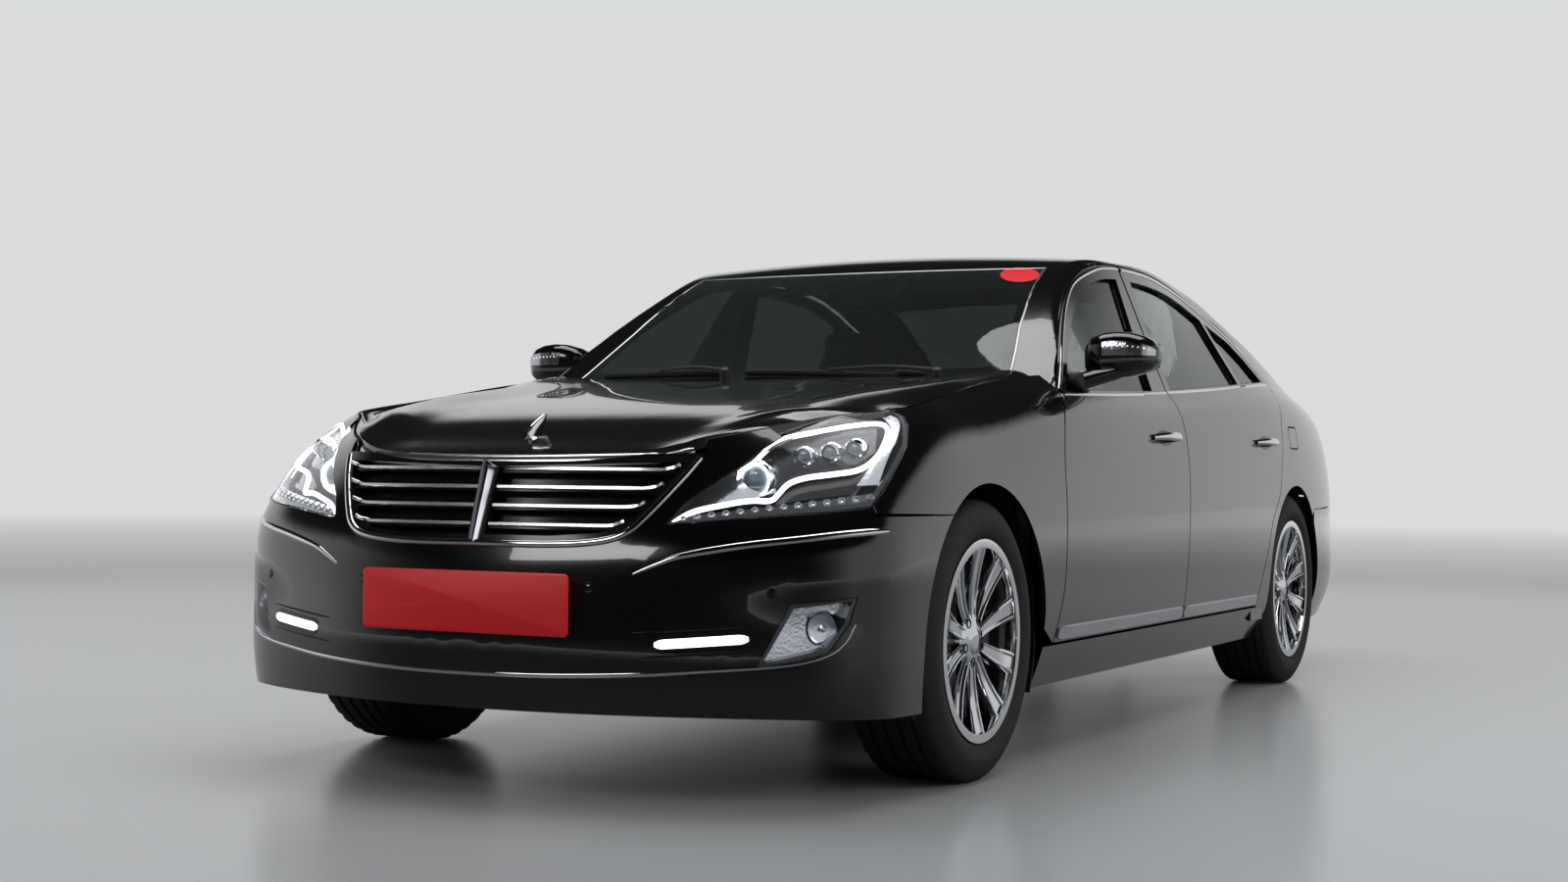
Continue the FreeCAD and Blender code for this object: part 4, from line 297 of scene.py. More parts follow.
MIRROR = Finish("mirror_glass", (0.8, 0.82, 0.84), 0.01, "chrome", metallic=1.0)

CAD_FINISHES = {
    PAINT: ("body_side_", "fender_", "roof", "front_bumper", "rear_bumper", "hood", "trunk_lid",
            "fuel_flap", "front_door_left", "front_door_right", "rear_door_left",
            "rear_door_right", "mirror_"),
    GLASS: ("windshield", "rear_window", "front_door_glass_", "rear_door_glass_"),
    GLOSS_BLACK: ("grille",),
    CLEAR: ("front_lamp_lenses",),
    LAMP_DARK: ("front_lamp_housings",),
    RED_LENS: ("tail_lamps",),
    UNDERSEAL: ("floor_pan",),
    BAY_PAINT: ("front_structure",),
    STEEL: ("front_suspension", "rear_suspension", "knuckle_"),
    PIPE: ("exhaust",),
    ENGINE: ("engine",),
    GRAINED: ("dashboard",),
    LEATHER: ("front_seats", "rear_seat", "steering_wheel"),
    TYRE: ("front_tyre_", "rear_tyre_"),
    WHEEL: ("front_wheel_", "rear_wheel_"),
}


def dress_frame() -> None:
    """Gives every CAD node the finish of the real part."""
    for name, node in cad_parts.items():
        for finish, starts in CAD_FINISHES.items():
            if any(name == start or (start.endswith("_") and name.startswith(start))
                   for start in starts):
                node.data.materials.clear()
                node.data.materials.append(finish.material())
                break
        else:
            LOG.warning("no finish for %s", name)


# Mesh work


def add_piece(name: str, mesh: Mesh, finish: Finish, body: str = "body", sharp: float = 40.0,
              bevel: float = 0.0) -> bpy.types.Object:
    """Makes one piece of the car from points and faces.

    Args:
        name: Piece name.
        mesh: Points and faces.
        finish: Its finish.
        body: CAD body that it rides on.
        sharp: Angle in degrees above which an edge stays sharp.
        bevel: Width of rounded edges, or 0.

    Returns:
        The new object.
    """
    points, faces = mesh
    data = bpy.data.meshes.new(name)
    data.from_pydata([tuple(point) for point in points], [], faces)
    work = bmesh.new()
    work.from_mesh(data)
    bmesh.ops.remove_doubles(work, verts=work.verts, dist=0.00002)
    bmesh.ops.recalc_face_normals(work, faces=work.faces)
    work.to_mesh(data)
    work.free()
    data.shade_smooth()
    data.set_sharp_from_angle(angle=math.radians(sharp))
    made = bpy.data.objects.new(name, data)
    bpy.context.scene.collection.objects.link(made)
    data.materials.append(finish.material())
    if bevel:
        rounding = made.modifiers.new("rounding", "BEVEL")
        rounding.width = bevel
        rounding.segments = 2
        rounding.limit_method = "ANGLE"
        rounding.angle_limit = math.radians(sharp)
    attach(made, body)
    return made


def on_side(mesh: Mesh, side: Side) -> Mesh:
    """The mesh of a left piece, mirrored for the right side."""
    return [Vector((point.x, point.y * side.value, point.z)) for point in mesh[0]], mesh[1]


def add_both(name: str, mesh: Mesh, finish: Finish, body: str = "body", sharp: float = 40.0,
             bevel: float = 0.0) -> None:
    """Makes a left piece and its mirror image.

    Args:
        name: Piece name without its side.
        mesh: Points and faces of the left piece.
        finish: Its finish.
        body: CAD body; the side's word follows a name that ends in an underscore.
        sharp: Angle in degrees above which an edge stays sharp.
        bevel: Width of rounded edges, or 0.
    """
    for side in Side:
        rides = body + side.word if body.endswith("_") else body
        add_piece(f"{name}_{side.word}", on_side(mesh, side), finish, rides, sharp, bevel)


def joined(meshes: Sequence[Mesh]) -> Mesh:
    """Several meshes as one.

    Args:
        meshes: The meshes.

    Returns:
        All their points and faces.
    """
    points: list[Vector] = []
    faces: list[tuple[int, ...]] = []
    for some, more in meshes:
        start = len(points)
        points += some
        faces += [tuple(start + index for index in face) for face in more]
    return points, faces


def steps_between(start: float, end: float, count: int) -> list[float]:
    """Equal steps from start to end."""
    return [start + (end - start) * i / (count - 1) for i in range(count)]


def smooth_line(points: Sequence[Vector], count: int) -> list[Vector]:
    """Points at equal steps along a smooth line through the given ones.

    Args:
        points: Points that the line goes through.
        count: Number of points wanted.

    Returns:
        The points along the line.
    """
    line = [points[0] * 2 - points[1], *points, points[-1] * 2 - points[-2]]
    dense = []
    for i in range(1, len(line) - 2):
        a, b, c, d = line[i - 1: i + 3]
        for step in range(12):
            t = step / 12
            dense.append(0.5 * (2 * b + (c - a) * t + (2 * a - 5 * b + 4 * c - d) * t * t
                                + (3 * b - a - 3 * c + d) * t ** 3))
    dense.append(points[-1])
    lengths = [0.0]
    for a, b in zip(dense, dense[1:]):
        lengths.append(lengths[-1] + (b - a).length)
    result, at = [], 0
    for step in range(count):
        want = lengths[-1] * step / (count - 1)
        while at < len(lengths) - 2 and lengths[at + 1] < want:
            at += 1
        span = max(lengths[at + 1] - lengths[at], 1e-9)
        result.append(dense[at].lerp(dense[at + 1], min(1.0, (want - lengths[at]) / span)))
    return result


def neighbours(count: int, closed: bool) -> list[tuple[int, int]]:
    """Pairs of indices that follow each other, with last and first where it is closed."""
    return [(i, (i + 1) % count) for i in range(count if closed else count - 1)]


def grid_faces(count: int, width: int, loop: bool = False,
               ring: bool = False) -> list[tuple[int, ...]]:
    """Faces between rows of points.

    Args:
        count: Number of rows.
        width: Points in a row.
        loop: True where the last row meets the first.
        ring: True where each row closes on itself.

    Returns:
        The faces.
    """
    return [(i * width + j, i * width + k, other * width + k, other * width + j)
            for i, other in neighbours(count, loop) for j, k in neighbours(width, ring)]


def swept(path: Sequence[Vector], outward: Sequence[Vector], profile: Sequence[Pair],
          sizes: Sequence[float] | None = None, loop: bool = False) -> Mesh:
    """A bar of one section along a path.

    Args:
        path: Points along the bar.
        outward: Direction away from the panel at each point.
        profile: Section as (across, outward) pairs, a closed outline.
        sizes: Scale of the section at each point.
        loop: True where the path closes on itself.

    Returns:
        The bar's mesh.
    """
    count, width = len(path), len(profile)
    points: list[Vector] = []
    for i, place in enumerate(path):
        after = path[(i + 1) % count] if loop else path[min(i + 1, count - 1)]
        before = path[i - 1] if loop else path[max(i - 1, 0)]
        along = (after - before).normalized()
        out = (outward[i] - along * outward[i].dot(along)).normalized()
        across = along.cross(out)
        scale = sizes[i] if sizes else 1.0
        points += [place + (across * a + out * b) * scale for a, b in profile]
    faces = grid_faces(count, width, loop, ring=True)
    if not loop:
        faces += [tuple(range(width)), tuple(range((count - 1) * width, count * width))]
    return points, faces


def dome(width: float, height: float, foot: float = 0.001, steps: int = 6) -> list[Pair]:
    """Half-round section that stands a little into its panel.

    Args:
        width: Width of the section.
        height: Its height above the panel.
        foot: How deep it stands in the panel.
        steps: Steps of its arc.

    Returns:
        The outline.
    """
    arc = [(-width / 2 * math.cos(math.pi * i / steps), height * math.sin(math.pi * i / steps))
           for i in range(steps + 1)]
    return [(-width / 2, -foot)] + arc + [(width / 2, -foot)]


def slab_section(width: float, height: float, foot: float = 0.001) -> list[Pair]:
    """Flat section with cut upper corners that stands a little into its panel.

    Args:
        width: Width of the section.
        height: Its height above the panel.
        foot: How deep it stands in the panel.

    Returns:
        The outline.
    """
    edge = min(width, height) * 0.3
    return [(-width / 2, -foot), (-width / 2, height - edge), (-width / 2 + edge, height),
            (width / 2 - edge, height), (width / 2, height - edge), (width / 2, -foot)]


def round_section(radius: float, steps: int = 10) -> list[Pair]:
    """Round section."""
    return [(radius * math.cos(2 * math.pi * i / steps), radius * math.sin(2 * math.pi * i / steps))
            for i in range(steps)]


def ends_tapered(count: int, low: float, length: int) -> list[float]:
    """Sizes of a bar whose two ends shrink to a share over some points."""
    return [low + (1 - low) * min(1.0, min(i, count - 1 - i) / length) ** 0.5 for i in range(count)]


def turned(outline: Sequence[Pair], place: Vector, axis: Vector, steps: int = 32) -> Mesh:
    """A turned form.

    Args:
        outline: (radius, distance along the axis) pairs.
        place: Where the axis starts.
        axis: Direction of the axis.
        steps: Number of steps round it.

    Returns:
        The mesh, closed where the outline starts or ends on the axis.
    """
    axis = axis.normalized()
    first = axis.orthogonal().normalized()
    second = axis.cross(first)
    points = []
    for i in range(steps):
        angle = 2 * math.pi * i / steps
        way = first * math.cos(angle) + second * math.sin(angle)
        points += [place + way * radius + axis * far for radius, far in outline]
    return points, grid_faces(steps, len(outline), loop=True)


def grid_mesh(rows: Sequence[Sequence[Vector]], thickness: Vector | None = None) -> Mesh:
    """Surface through rows of points.

    Args:
        rows: The points, with as many in each row.
        thickness: Way from each point to the one behind it, or None for no back.

    Returns:
        The mesh.
    """
    if thickness is not None:
        return sheet(rows, [[point + thickness for point in row] for row in rows])
    return [point for row in rows for point in row], grid_faces(len(rows), len(rows[0]))


def sheet(rows: Sequence[Sequence[Vector]], backs: Sequence[Sequence[Vector]]) -> Mesh:
    """Closed sheet between two surfaces.

    Args:
        rows: Points of the first surface, row by row.
        backs: Points of the second, in the same order.

    Returns:
        The mesh.
    """
    points, faces = grid_mesh(rows)
    back, count, width = len(points), len(rows), len(rows[0])
    rim = ([j for j in range(width)] + [i * width + width - 1 for i in range(1, count)]
           + [(count - 1) * width + j for j in range(width - 2, -1, -1)]
           + [i * width for i in range(count - 2, 0, -1)])
    faces += [tuple(back + index for index in reversed(face)) for face in faces[:]]
    faces += [(a, back + a, back + b, b) for a, b in zip(rim, rim[1:] + rim[:1])]
    return points + [point for row in backs for point in row], faces


class Probe:
    """Finds points on CAD nodes by casting rays at them."""

    def __init__(self, *names: str) -> None:
        """Collects the faces of the named nodes.

        Args:
            names: CAD nodes.
        """
        points: list[Vector] = []
        faces: list[tuple[int, ...]] = []
        for name in names:
            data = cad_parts[name].data
            start = len(points)
            points += [vertex.co.copy() for vertex in data.vertices]
            faces += [tuple(start + index for index in face.vertices) for face in data.polygons]
        self.tree = BVHTree.FromPolygons(points, faces)

    def hit(self, start: Vector, way: Vector) -> Spot:
        """Where a ray meets the nodes.

        Args:
            start: Where the ray starts.
            way: Its direction.

        Returns:
            The point and the normal that looks back along the ray; the nearest
            point of the nodes where the ray misses them.
        """
        way = way.normalized()
        place, normal, _, _ = self.tree.ray_cast(start, way)
        if place is None:
            near = start
            for step in range(1, 120):
                near = start + way * (step * 0.08)
                found = self.tree.find_nearest(near)
                if found[3] is not None and found[3] < 0.08:
                    break
            place, normal, _, _ = self.tree.find_nearest(near)
        return place, (-normal if normal.dot(way) > 0 else normal)

    def side(self, x: float, z: float) -> Spot:
        """Point and normal on the left, seen from the left."""
        return self.hit(Vector((x, 3.0, z)), RIGHT)

    def front(self, y: float, z: float) -> Spot:
        """Point and normal seen from the front."""
        return self.hit(Vector((5.0, y, z)), BACK)

    def rear(self, y: float, z: float) -> Spot:
        """Point and normal seen from the rear."""
        return self.hit(Vector((-5.0, y, z)), AHEAD)

    def top(self, x: float, y: float) -> Spot:
        """Point and normal seen from above."""
        return self.hit(Vector((x, y, 3.0)), DOWN)


def strip(cast: Cast, places: Sequence[Pair],
          count: int, profile: Sequence[Pair], sizes: Sequence[float] | None = None,
          lift: float = 0.0) -> Mesh:
    """A bar that follows a panel.

    Args:
        cast: Probe method that finds the panel.
        places: Given places that the probe takes.
        count: Number of points along the bar.
        profile: Section of the bar.
        sizes: Scale of the section at each point.
        lift: How far the bar stands off the panel.

    Returns:
        The bar's mesh.
    """
    line = smooth_line([Vector((a, b, 0)) for a, b in places], count)
    found = [cast(place.x, place.y) for place in line]
    normals = [normal for _, normal in found]
    even = [sum(normals[max(0, i - 2): i + 3], Vector()).normalized() for i in range(count)]
    path = [place + normal * lift for (place, _), normal in zip(found, even)]
    return swept(path, even, profile, sizes)


@dataclass
class Viewpoint:
    """The photograph's camera.

    Attributes:
        place: Where it stands.
        heading: Direction in degrees from +X.
        rise: Angle above level in degrees.
        roll: Turn about its own axis in degrees.
        focal: Focal length in pixels of a 1600 by 900 picture.
    """

    place: Triple = (6.6399, 2.93137, 0.76135)
    heading: float = -152.678
    rise: float = 0.876
    roll: float = 0.59
    focal: float = 2191.487

    def axes(self) -> tuple[Vector, Vector, Vector]:
        """Directions of the camera.

        Returns:
            Its right, its up and where it looks.
        """
        turn, lift, roll = (math.radians(a) for a in (self.heading, self.rise, self.roll))
        ahead = Vector((math.cos(turn) * math.cos(lift), math.sin(turn) * math.cos(lift),
                        math.sin(lift)))
        right = ahead.cross(UP).normalized()
        up = right.cross(ahead)
        return (right * math.cos(roll) + up * math.sin(roll),
                up * math.cos(roll) - right * math.sin(roll), ahead)

    def ray(self, across: float, down: float) -> Vector:
        """Direction through a place of the picture.

        Args:
            across: Pixel from the left.
            down: Pixel from the top.

        Returns:
            The direction from the camera.
        """
        right, up, ahead = self.axes()
        return (ahead + right * ((across - PICTURE[0] / 2) / self.focal)
                - up * ((down - PICTURE[1] / 2) / self.focal)).normalized()

    def build(self) -> None:
        """Makes the camera."""
        right, up, ahead = self.axes()
        lens = bpy.data.cameras.new("photo_view")
        lens.sensor_width = SENSOR_WIDTH
        lens.lens = self.focal / PICTURE[0] * SENSOR_WIDTH
        lens.clip_end = 300
        camera = bpy.data.objects.new("photo_view", lens)
        turn = Matrix((right, up, -ahead)).transposed().to_4x4()
        camera.matrix_world = Matrix.Translation(self.place) @ turn
        bpy.context.scene.collection.objects.link(camera)
        bpy.context.scene.camera = camera


class LensField:
    """Places behind a lamp's lens, by the pixel that they show at."""

    def __init__(self, view: Viewpoint, node: str = "front_lamp_lenses") -> None:
        """Keeps the view and a probe of the lens.

        Args:
            view: The photograph's camera.
            node: CAD node of the lenses.
        """
        self.view = view
        self.probe = Probe(node)

    def at(self, across: float, down: float, depth: float) -> Vector:
        """Point behind the lens.

        Args:
            across: Pixel from the left.
            down: Pixel from the top.
            depth: Distance behind the lens along the sight line.

        Returns:
            The point.
        """
        way = self.view.ray(across, down)
        return self.probe.hit(Vector(self.view.place), way)[0] + way * depth

    def line(self, pixels: Sequence[Pair], count: int, depth: float) -> list[Vector]:
        """Smooth line behind the lens through pixels."""
        return smooth_line([self.at(a, b, depth) for a, b in pixels], count)


@dataclass
class Headlamps:
    """Main lamps: light tube, projectors, indicator row and bezels.

    Attributes:
        view: The photograph's camera, which the places were read from.
        tube_radius: Radius of the white light tube.
        main_radius: Radius of the large projector's lens.
        small_radius: Radius of a small projector's lens.
        cells: Number of indicator cells.
        upper: Pixels along the light tube.
        main_spot: Pixel of the large projector.
        small_spots: Pixels of the small projectors.
    """

    view: Viewpoint
    tube_radius: float = 0.0062
    main_radius: float = 0.034
    small_radius: float = 0.0185
    cells: int = 14
    upper: tuple[Pair, ...] = ((753, 474), (766, 463.5), (794, 451), (832, 441.5), (870, 435),
                               (897, 433), (905.5, 439), (902, 454), (892.5, 469), (876, 480),
                               (851, 484.3), (823, 488), (805, 494), (794, 505), (786, 511.5),
                               (765, 511.5), (737, 516), (708, 522.5), (686, 533))
    main_spot: Pair = (770.5, 490.5)
    small_spots: tuple[Pair, ...] = ((820.7, 467), (847.5, 463.1), (872.4, 459.3))

    def __post_init__(self) -> None:
        """Finds the lenses."""
        self.field = LensField(self.view)

    def build(self) -> None:
        """Builds both lamps."""
        self.light_tube()
        self.projectors()
        self.indicator_row()
        self.bezels()

    def light_tube(self) -> None:
        """White tube round the upper bay and along the lower edge."""
        path = self.field.line(self.upper, 90, 0.012)
        out = [Vector((1, 0.2, 0.1))] * len(path)
        sizes = ends_tapered(len(path), 0.35, 4)
        add_both("headlamp_light_tube", swept(path, out, round_section(self.tube_radius), sizes),
                 TUBE)

    def projectors(self) -> None:
        """Large projector with its bright ring, and three small ones."""
        spots = [(self.main_spot, self.main_radius, 0.045, "main")]
        spots += [(spot, self.small_radius, 0.035, f"small_{i}")
                  for i, spot in enumerate(self.small_spots)]
        for (across, down), radius, depth, word in spots:
            place = self.field.at(across, down, depth)
            ball = [(0.0, radius * 0.42)]
            ball += [(radius * math.sin(a), radius * 0.42 * math.cos(a))
                     for a in (i * math.pi / 12 for i in range(1, 7))]
            ball += [(radius, -0.012), (0.0, -0.012)]
            forward = Vector((1, 0.04, 0))
            add_both(f"headlamp_lens_{word}", turned(ball, place, forward), LENS_BALL)
            ring = [(radius * 1.02, -0.014), (radius * 1.02, 0.004), (radius * 1.1, 0.01),
                    (radius * 1.3, 0.008), (radius * 1.42, -0.002), (radius * 1.42, -0.04),
                    (radius * 1.0, -0.06)]
            add_both(f"headlamp_ring_{word}", turned(ring, place, forward), CHROME)
        radius = self.main_radius
        halo = [(radius, -0.01), (radius, 0.004), (radius * 1.12, 0.013), (radius * 1.22, 0.012),
                (radius * 1.24, 0.006)]
        place = self.field.at(*self.main_spot, 0.045)
        add_both("headlamp_halo_main", turned(halo, place, Vector((1, 0.04, 0))), TUBE)

    def indicator_row(self) -> None:
        """Row of faceted indicator cells on a shelf along the lower edge."""
        start, end = (697, 529.8), (888, 508.6)
        cells = []
        for share in steps_between(0, 1, self.cells):
            across = start[0] + (end[0] - start[0]) * share
            down = start[1] + (end[1] - start[1]) * share
            place = self.field.at(across, down, 0.012)
            size = 0.0095
            facets = [(0.0, 0.004), (size * 0.45, 0.0055), (size * 0.8, 0.001), (size, 0.003),
                      (size, -0.012)]
            cells.append(turned(facets, place, Vector((1, 0.35, 0.1)), 8))
        add_both("headlamp_indicator_cells", joined(cells), REFLECTOR, sharp=10)
        top = self.field.line(((690, 528), (790, 517.5), (893, 503.5)), 24, 0.012)
        low = self.field.line(((684, 536), (790, 527.5), (893, 514.5)), 24, 0.01)
        rows = [top, low]
        add_both("headlamp_indicator_shelf", grid_mesh(rows, Vector((-0.012, -0.006, 0))), LAMP_DARK)

    def bezels(self) -> None:
        """Carrier of the small projectors, inner reflector, side section and lower panel."""
        top = ((775, 466), (800, 454), (834, 445), (868, 438.5), (895, 437))
        low = ((793, 500), (806, 491), (832, 484), (862, 480), (893, 462))
        self.patch("headlamp_projector_carrier", self.field, top, low, 0.045, LAMP_DARK)
        top = ((690, 527), (715, 503), (740, 484), (762, 470), (790, 456))
        low = ((700, 522), (722, 517.5), (745, 512.5), (768, 509), (792, 503))
        self.patch("headlamp_inner_reflector", self.field, top, low, 0.05, REFLECTOR)
        top = ((912, 424), (918, 432), (915, 447), (905, 470), (896, 495))
        low = ((900, 427), (909, 437), (905, 455), (891, 473), (874, 496))
        self.patch("headlamp_side_section", self.field, top, low, 0.02, REFLECTOR)
        top = ((800, 503), (822, 494), (850, 490.5), (872, 486), (884, 477))
        low = ((792, 515), (820, 511), (846, 507.5), (868, 504), (876, 495))
        self.patch("headlamp_lower_panel", self.field, top, low, 0.04, GLOSS_BLACK)

    @staticmethod
    def patch(name: str, field: LensField, top: Sequence[Pair], low: Sequence[Pair],
              depth: float, finish: Finish) -> None:
        """Panel that follows the lens between two lines of pixels.

        Args:
            name: Piece name.
            field: Places behind the lens.
            top: Pixels of the upper edge.
            low: Pixels of the lower edge.
            depth: Distance behind the lens.
            finish: The panel's finish.
        """
        columns, rows = 20, 8
        upper = smooth_line([Vector((a, b, 0)) for a, b in top], columns)
        lower = smooth_line([Vector((a, b, 0)) for a, b in low], columns)
        grid = []
        for i in range(rows):
            line = [a.lerp(b, i / (rows - 1)) for a, b in zip(upper, lower)]
            grid.append([field.at(p.x, p.y, depth) for p in line])
        add_both(name, grid_mesh(grid, Vector((-0.004, -0.002, 0))), finish)


@dataclass
class Grille:
    """Chrome surround, bright bars and keel of the grille, and the bar above it.

    Attributes:
        surround_width: Width of the chrome surround.
        bar_height: Height of a bar's bright edge.
        bar_count: Bars, one above the other.
        outline: (distance from the middle, height) pairs of the surround's left half.
        low: Height of the opening's foot.
        top: Height of its top.
    """

    surround_width: float = 0.017
    bar_height: float = 0.0085
    bar_count: int = 4
    outline: tuple[Pair, ...] = ((0.0, 0.5955), (0.2, 0.5957), (0.325, 0.6045), (0.388, 0.626),
                                 (0.4265, 0.668), (0.478, 0.747), (0.5035, 0.797))
    low: float = 0.592
    top: float = 0.808

    def build(self) -> None:
        """Builds the grille's bright parts."""
        probe = Probe("grille", "front_bumper")
        right = [(-y, z) for y, z in reversed(self.outline[1:])]
        profile = dome(self.surround_width, 0.006)
        add_piece("grille_surround", strip(probe.front, right + list(self.outline), 120, profile),
                  CHROME)
        inside = Probe("grille")
        meshes = []
        for i in range(self.bar_count):
            z = self.low + (self.top - self.low) * (i + 1) / (self.bar_count + 1)
            reach = self.reach(z) - 0.016
            for sign in (1, -1):
                line = []
                for y in steps_between(0.026, reach, 25):
                    curl = max(0.0, (y - reach + 0.05) / 0.05)
                    place = inside.front(sign * y, z)[0]
                    line.append(Vector((place.x, sign * y, z + 0.003 + 0.012 * curl ** 2)))
                out = [Vector((1, 0, 0.25))] * len(line)
                meshes.append(swept(line, out, slab_section(self.bar_height, 0.004)))
        add_piece("grille_bright_bars", joined(meshes), BRIGHT_BAR)
        self.keel(inside)
        self.top_bar()

    def reach(self, z: float) -> float:
        """Half width of the opening.

        Args:
            z: Height that it is wanted at.

        Returns:
            The half width.
        """
        for (y0, z0), (y1, z1) in zip(self.outline, self.outline[1:]):
            if z0 <= z <= z1 and z1 > z0:
                return y0 + (y1 - y0) * (z - z0) / (z1 - z0)
        return self.outline[-1][0]

    def keel(self, probe: Probe) -> None:
        """Upright bar with a ridge down the middle, narrower at its foot.

        Args:
            probe: The grille.
        """
        heights = steps_between(self.low + 0.004, self.top - 0.02, 21)
        path = [probe.front(0.0, z)[0] for z in heights]
        out = [Vector((1, 0, 0.3))] * 21
        sizes = steps_between(0.62, 1.0, 21)
        half = 0.026
        section = [(-half, -0.004), (-half, 0.001), (-half * 0.8, 0.003), (-0.004, 0.0095),
                   (0.004, 0.0095), (half * 0.8, 0.003), (half, 0.001), (half, -0.004)]
        add_piece("grille_keel", swept(path, out, section, sizes), DARK_CHROME, sharp=25)

    def top_bar(self) -> None:
        """Thick chrome bar along the hood's front edge."""
        hood = Probe("hood")
        path, out = [], []
        for y in steps_between(-0.497, 0.497, 61):
            z = 0.7835 + 0.0135 * (abs(y) / 0.5) ** 2
            place, normal = hood.front(y, z)
            path.append(place)
            out.append(Vector((normal.x, normal.y, 0.45)).normalized())
        sizes = ends_tapered(61, 0.5, 4)
        section = dome(0.034, 0.0115, 0.004, 8)
        add_piece("grille_top_bar", swept(path, out, section, sizes), BRIGHT_BAR, "hood")


@dataclass
class BumperTrim:
    """Bright strips, day lights, plate, sensors and fog lamp inserts.

    Attributes:
        view: The photograph's camera.
        plate_size: Width and height of the blank plate.
        plate_round: Corner radius of the plate.
        upper: (distance from the middle, height) pairs along the upper bright strip.
        lower: The same along the left half of the lower one.
    """

    view: Viewpoint
    plate_size: Pair = (0.576, 0.143)
    plate_round: float = 0.013
    upper: tuple[Pair, ...] = ((0.418, 0.533), (0.47, 0.556), (0.523, 0.5755), (0.645, 0.599),
                               (0.764, 0.6155), (0.85, 0.628), (0.905, 0.634))
    lower: tuple[Pair, ...] = ((0.0, 0.2965), (0.218, 0.299), (0.438, 0.309), (0.58, 0.32),
                               (0.689, 0.3285), (0.765, 0.338), (0.822, 0.3555), (0.852, 0.384),
                               (0.868, 0.425))

    def __post_init__(self) -> None:
        """Finds the bumper."""
        self.probe = Probe("front_bumper")

    def build(self) -> None:
        """Builds the bumper's trim."""
        count = 50
        sizes = [0.25 + 0.75 * min(1.0, i / 16) ** 0.7 for i in range(count)]
        sizes[-1], sizes[-2] = 0.6, 0.85
        self.side_strip("bumper_upper_strip", self.upper, count, dome(0.017, 0.005), sizes)
        right = [(-y, z) for y, z in reversed(self.lower[1:])]
        main = right + list(self.lower)
        width = [0.35 + 0.65 * min(1.0, min(i, 119 - i) / 30) for i in range(120)]
        add_piece("bumper_lower_strip", strip(self.probe.front, main, 120, dome(0.011, 0.0018), width),
                  CHROME)
        self.day_lights()
        self.plate()
        self.sensors()
        self.fog_inserts()

    def side_strip(self, name: str, places: Sequence[Pair], count: int,
                   profile: Sequence[Pair], sizes: Sequence[float]) -> None:
        """Strip that follows the bumper's corner on each side.

        Args:
            name: Piece name.
            places: (distance from the middle, height) pairs along it.
            count: Number of points along it.
            profile: Its section.
            sizes: Scale of the section at each point.
        """
        line = smooth_line([Vector((a, b, 0)) for a, b in places], count)
        path, normals = zip(*(self.corner_point(spot.x, spot.y) for spot in line))
        add_both(name, swept(path, normals, profile, sizes), CHROME)

    def corner_point(self, y: float, z: float) -> Spot:
        """Point of the bumper at a distance from the middle, round its corner.

        Args:
            y: Distance from the middle.
            z: Height.

        Returns:
            The point and its normal.
        """
        low, high = math.radians(2), math.radians(88)
        centre = Vector((1.9, 0, z))
        for _ in range(24):
            middle = (low + high) / 2
            way = Vector((math.cos(middle), math.sin(middle), 0))
            place, normal = self.probe.hit(centre + way * 3, -way)
            if place.y < y:
                low = middle
            else:
                high = middle
        return place, normal

    def day_lights(self) -> None:
        """Glowing bars in dark bays beside the plate."""
        path, normals = zip(*(self.probe.front(0.476 + 0.196 * share, 0.3765 + 0.0165 * share)
                              for share in steps_between(0, 1, 24)))
        sizes = ends_tapered(24, 0.45, 2)
        add_both("day_light", swept(path, normals, dome(0.0235, 0.004), sizes), DAY_LIGHT)
        bay = [place - normal * 0.0005 for place, normal in zip(path, normals)]
        add_both("day_light_bay", swept(bay, normals, slab_section(0.042, 0.002),
                                        ends_tapered(24, 0.7, 2)), GLOSS_BLACK)
        for word, drop in (("upper", 0.03), ("lower", -0.026)):
            line = [(0.425 + 0.262 * share, 0.372 + drop + 0.0205 * share)
                    for share in steps_between(0, 1, 30)]
            add_both(f"day_light_fin_{word}",
                     strip(self.probe.front, line[::5] + line[-1:], 30, dome(0.006, 0.003),
                           ends_tapered(30, 0.2, 8)), GLOSS_BLACK)

    def plate(self) -> None:
        """Blank plate with rounded corners on its bracket."""
        half_y, half_z = self.plate_size[0] / 2, self.plate_size[1] / 2
        middle = Vector((CAD_BOX[1][0] - 0.0015, 0, 0.4595))
        rows = []
        for inset, depth in ((0.0, -0.0035), (0.0, -0.0008), (0.0012, 0.0)):
            ring = []
            for corner, (sy, sz) in enumerate(((1, 1), (-1, 1), (-1, -1), (1, -1))):
                for step in range(7):
                    angle = math.radians(90 * corner + 15 * step)
                    ring.append(middle + Vector((
                        depth,
                        sy * (half_y - self.plate_round)
                        + (self.plate_round - inset) * math.cos(angle),
                        sz * (half_z - self.plate_round)
                        + (self.plate_round - inset) * math.sin(angle))))
            rows.append(ring + ring[:1])
        points, faces = grid_mesh(rows)
        count = len(rows[0]) - 1
        faces.append(tuple(2 * (count + 1) + i for i in range(count)))
        faces.append(tuple(reversed(range(count))))
        add_piece("front_plate_blank", (points, faces), PLATE, sharp=60)
        back = [[Vector((middle.x - 0.004, y, z)) for y in (-0.2, 0.0, 0.2)]
                for z in (0.405, 0.4595, 0.514)]
        add_piece("front_plate_bracket", grid_mesh(back, Vector((-0.02, 0, 0))), GRAINED,
                  bevel=0.003)

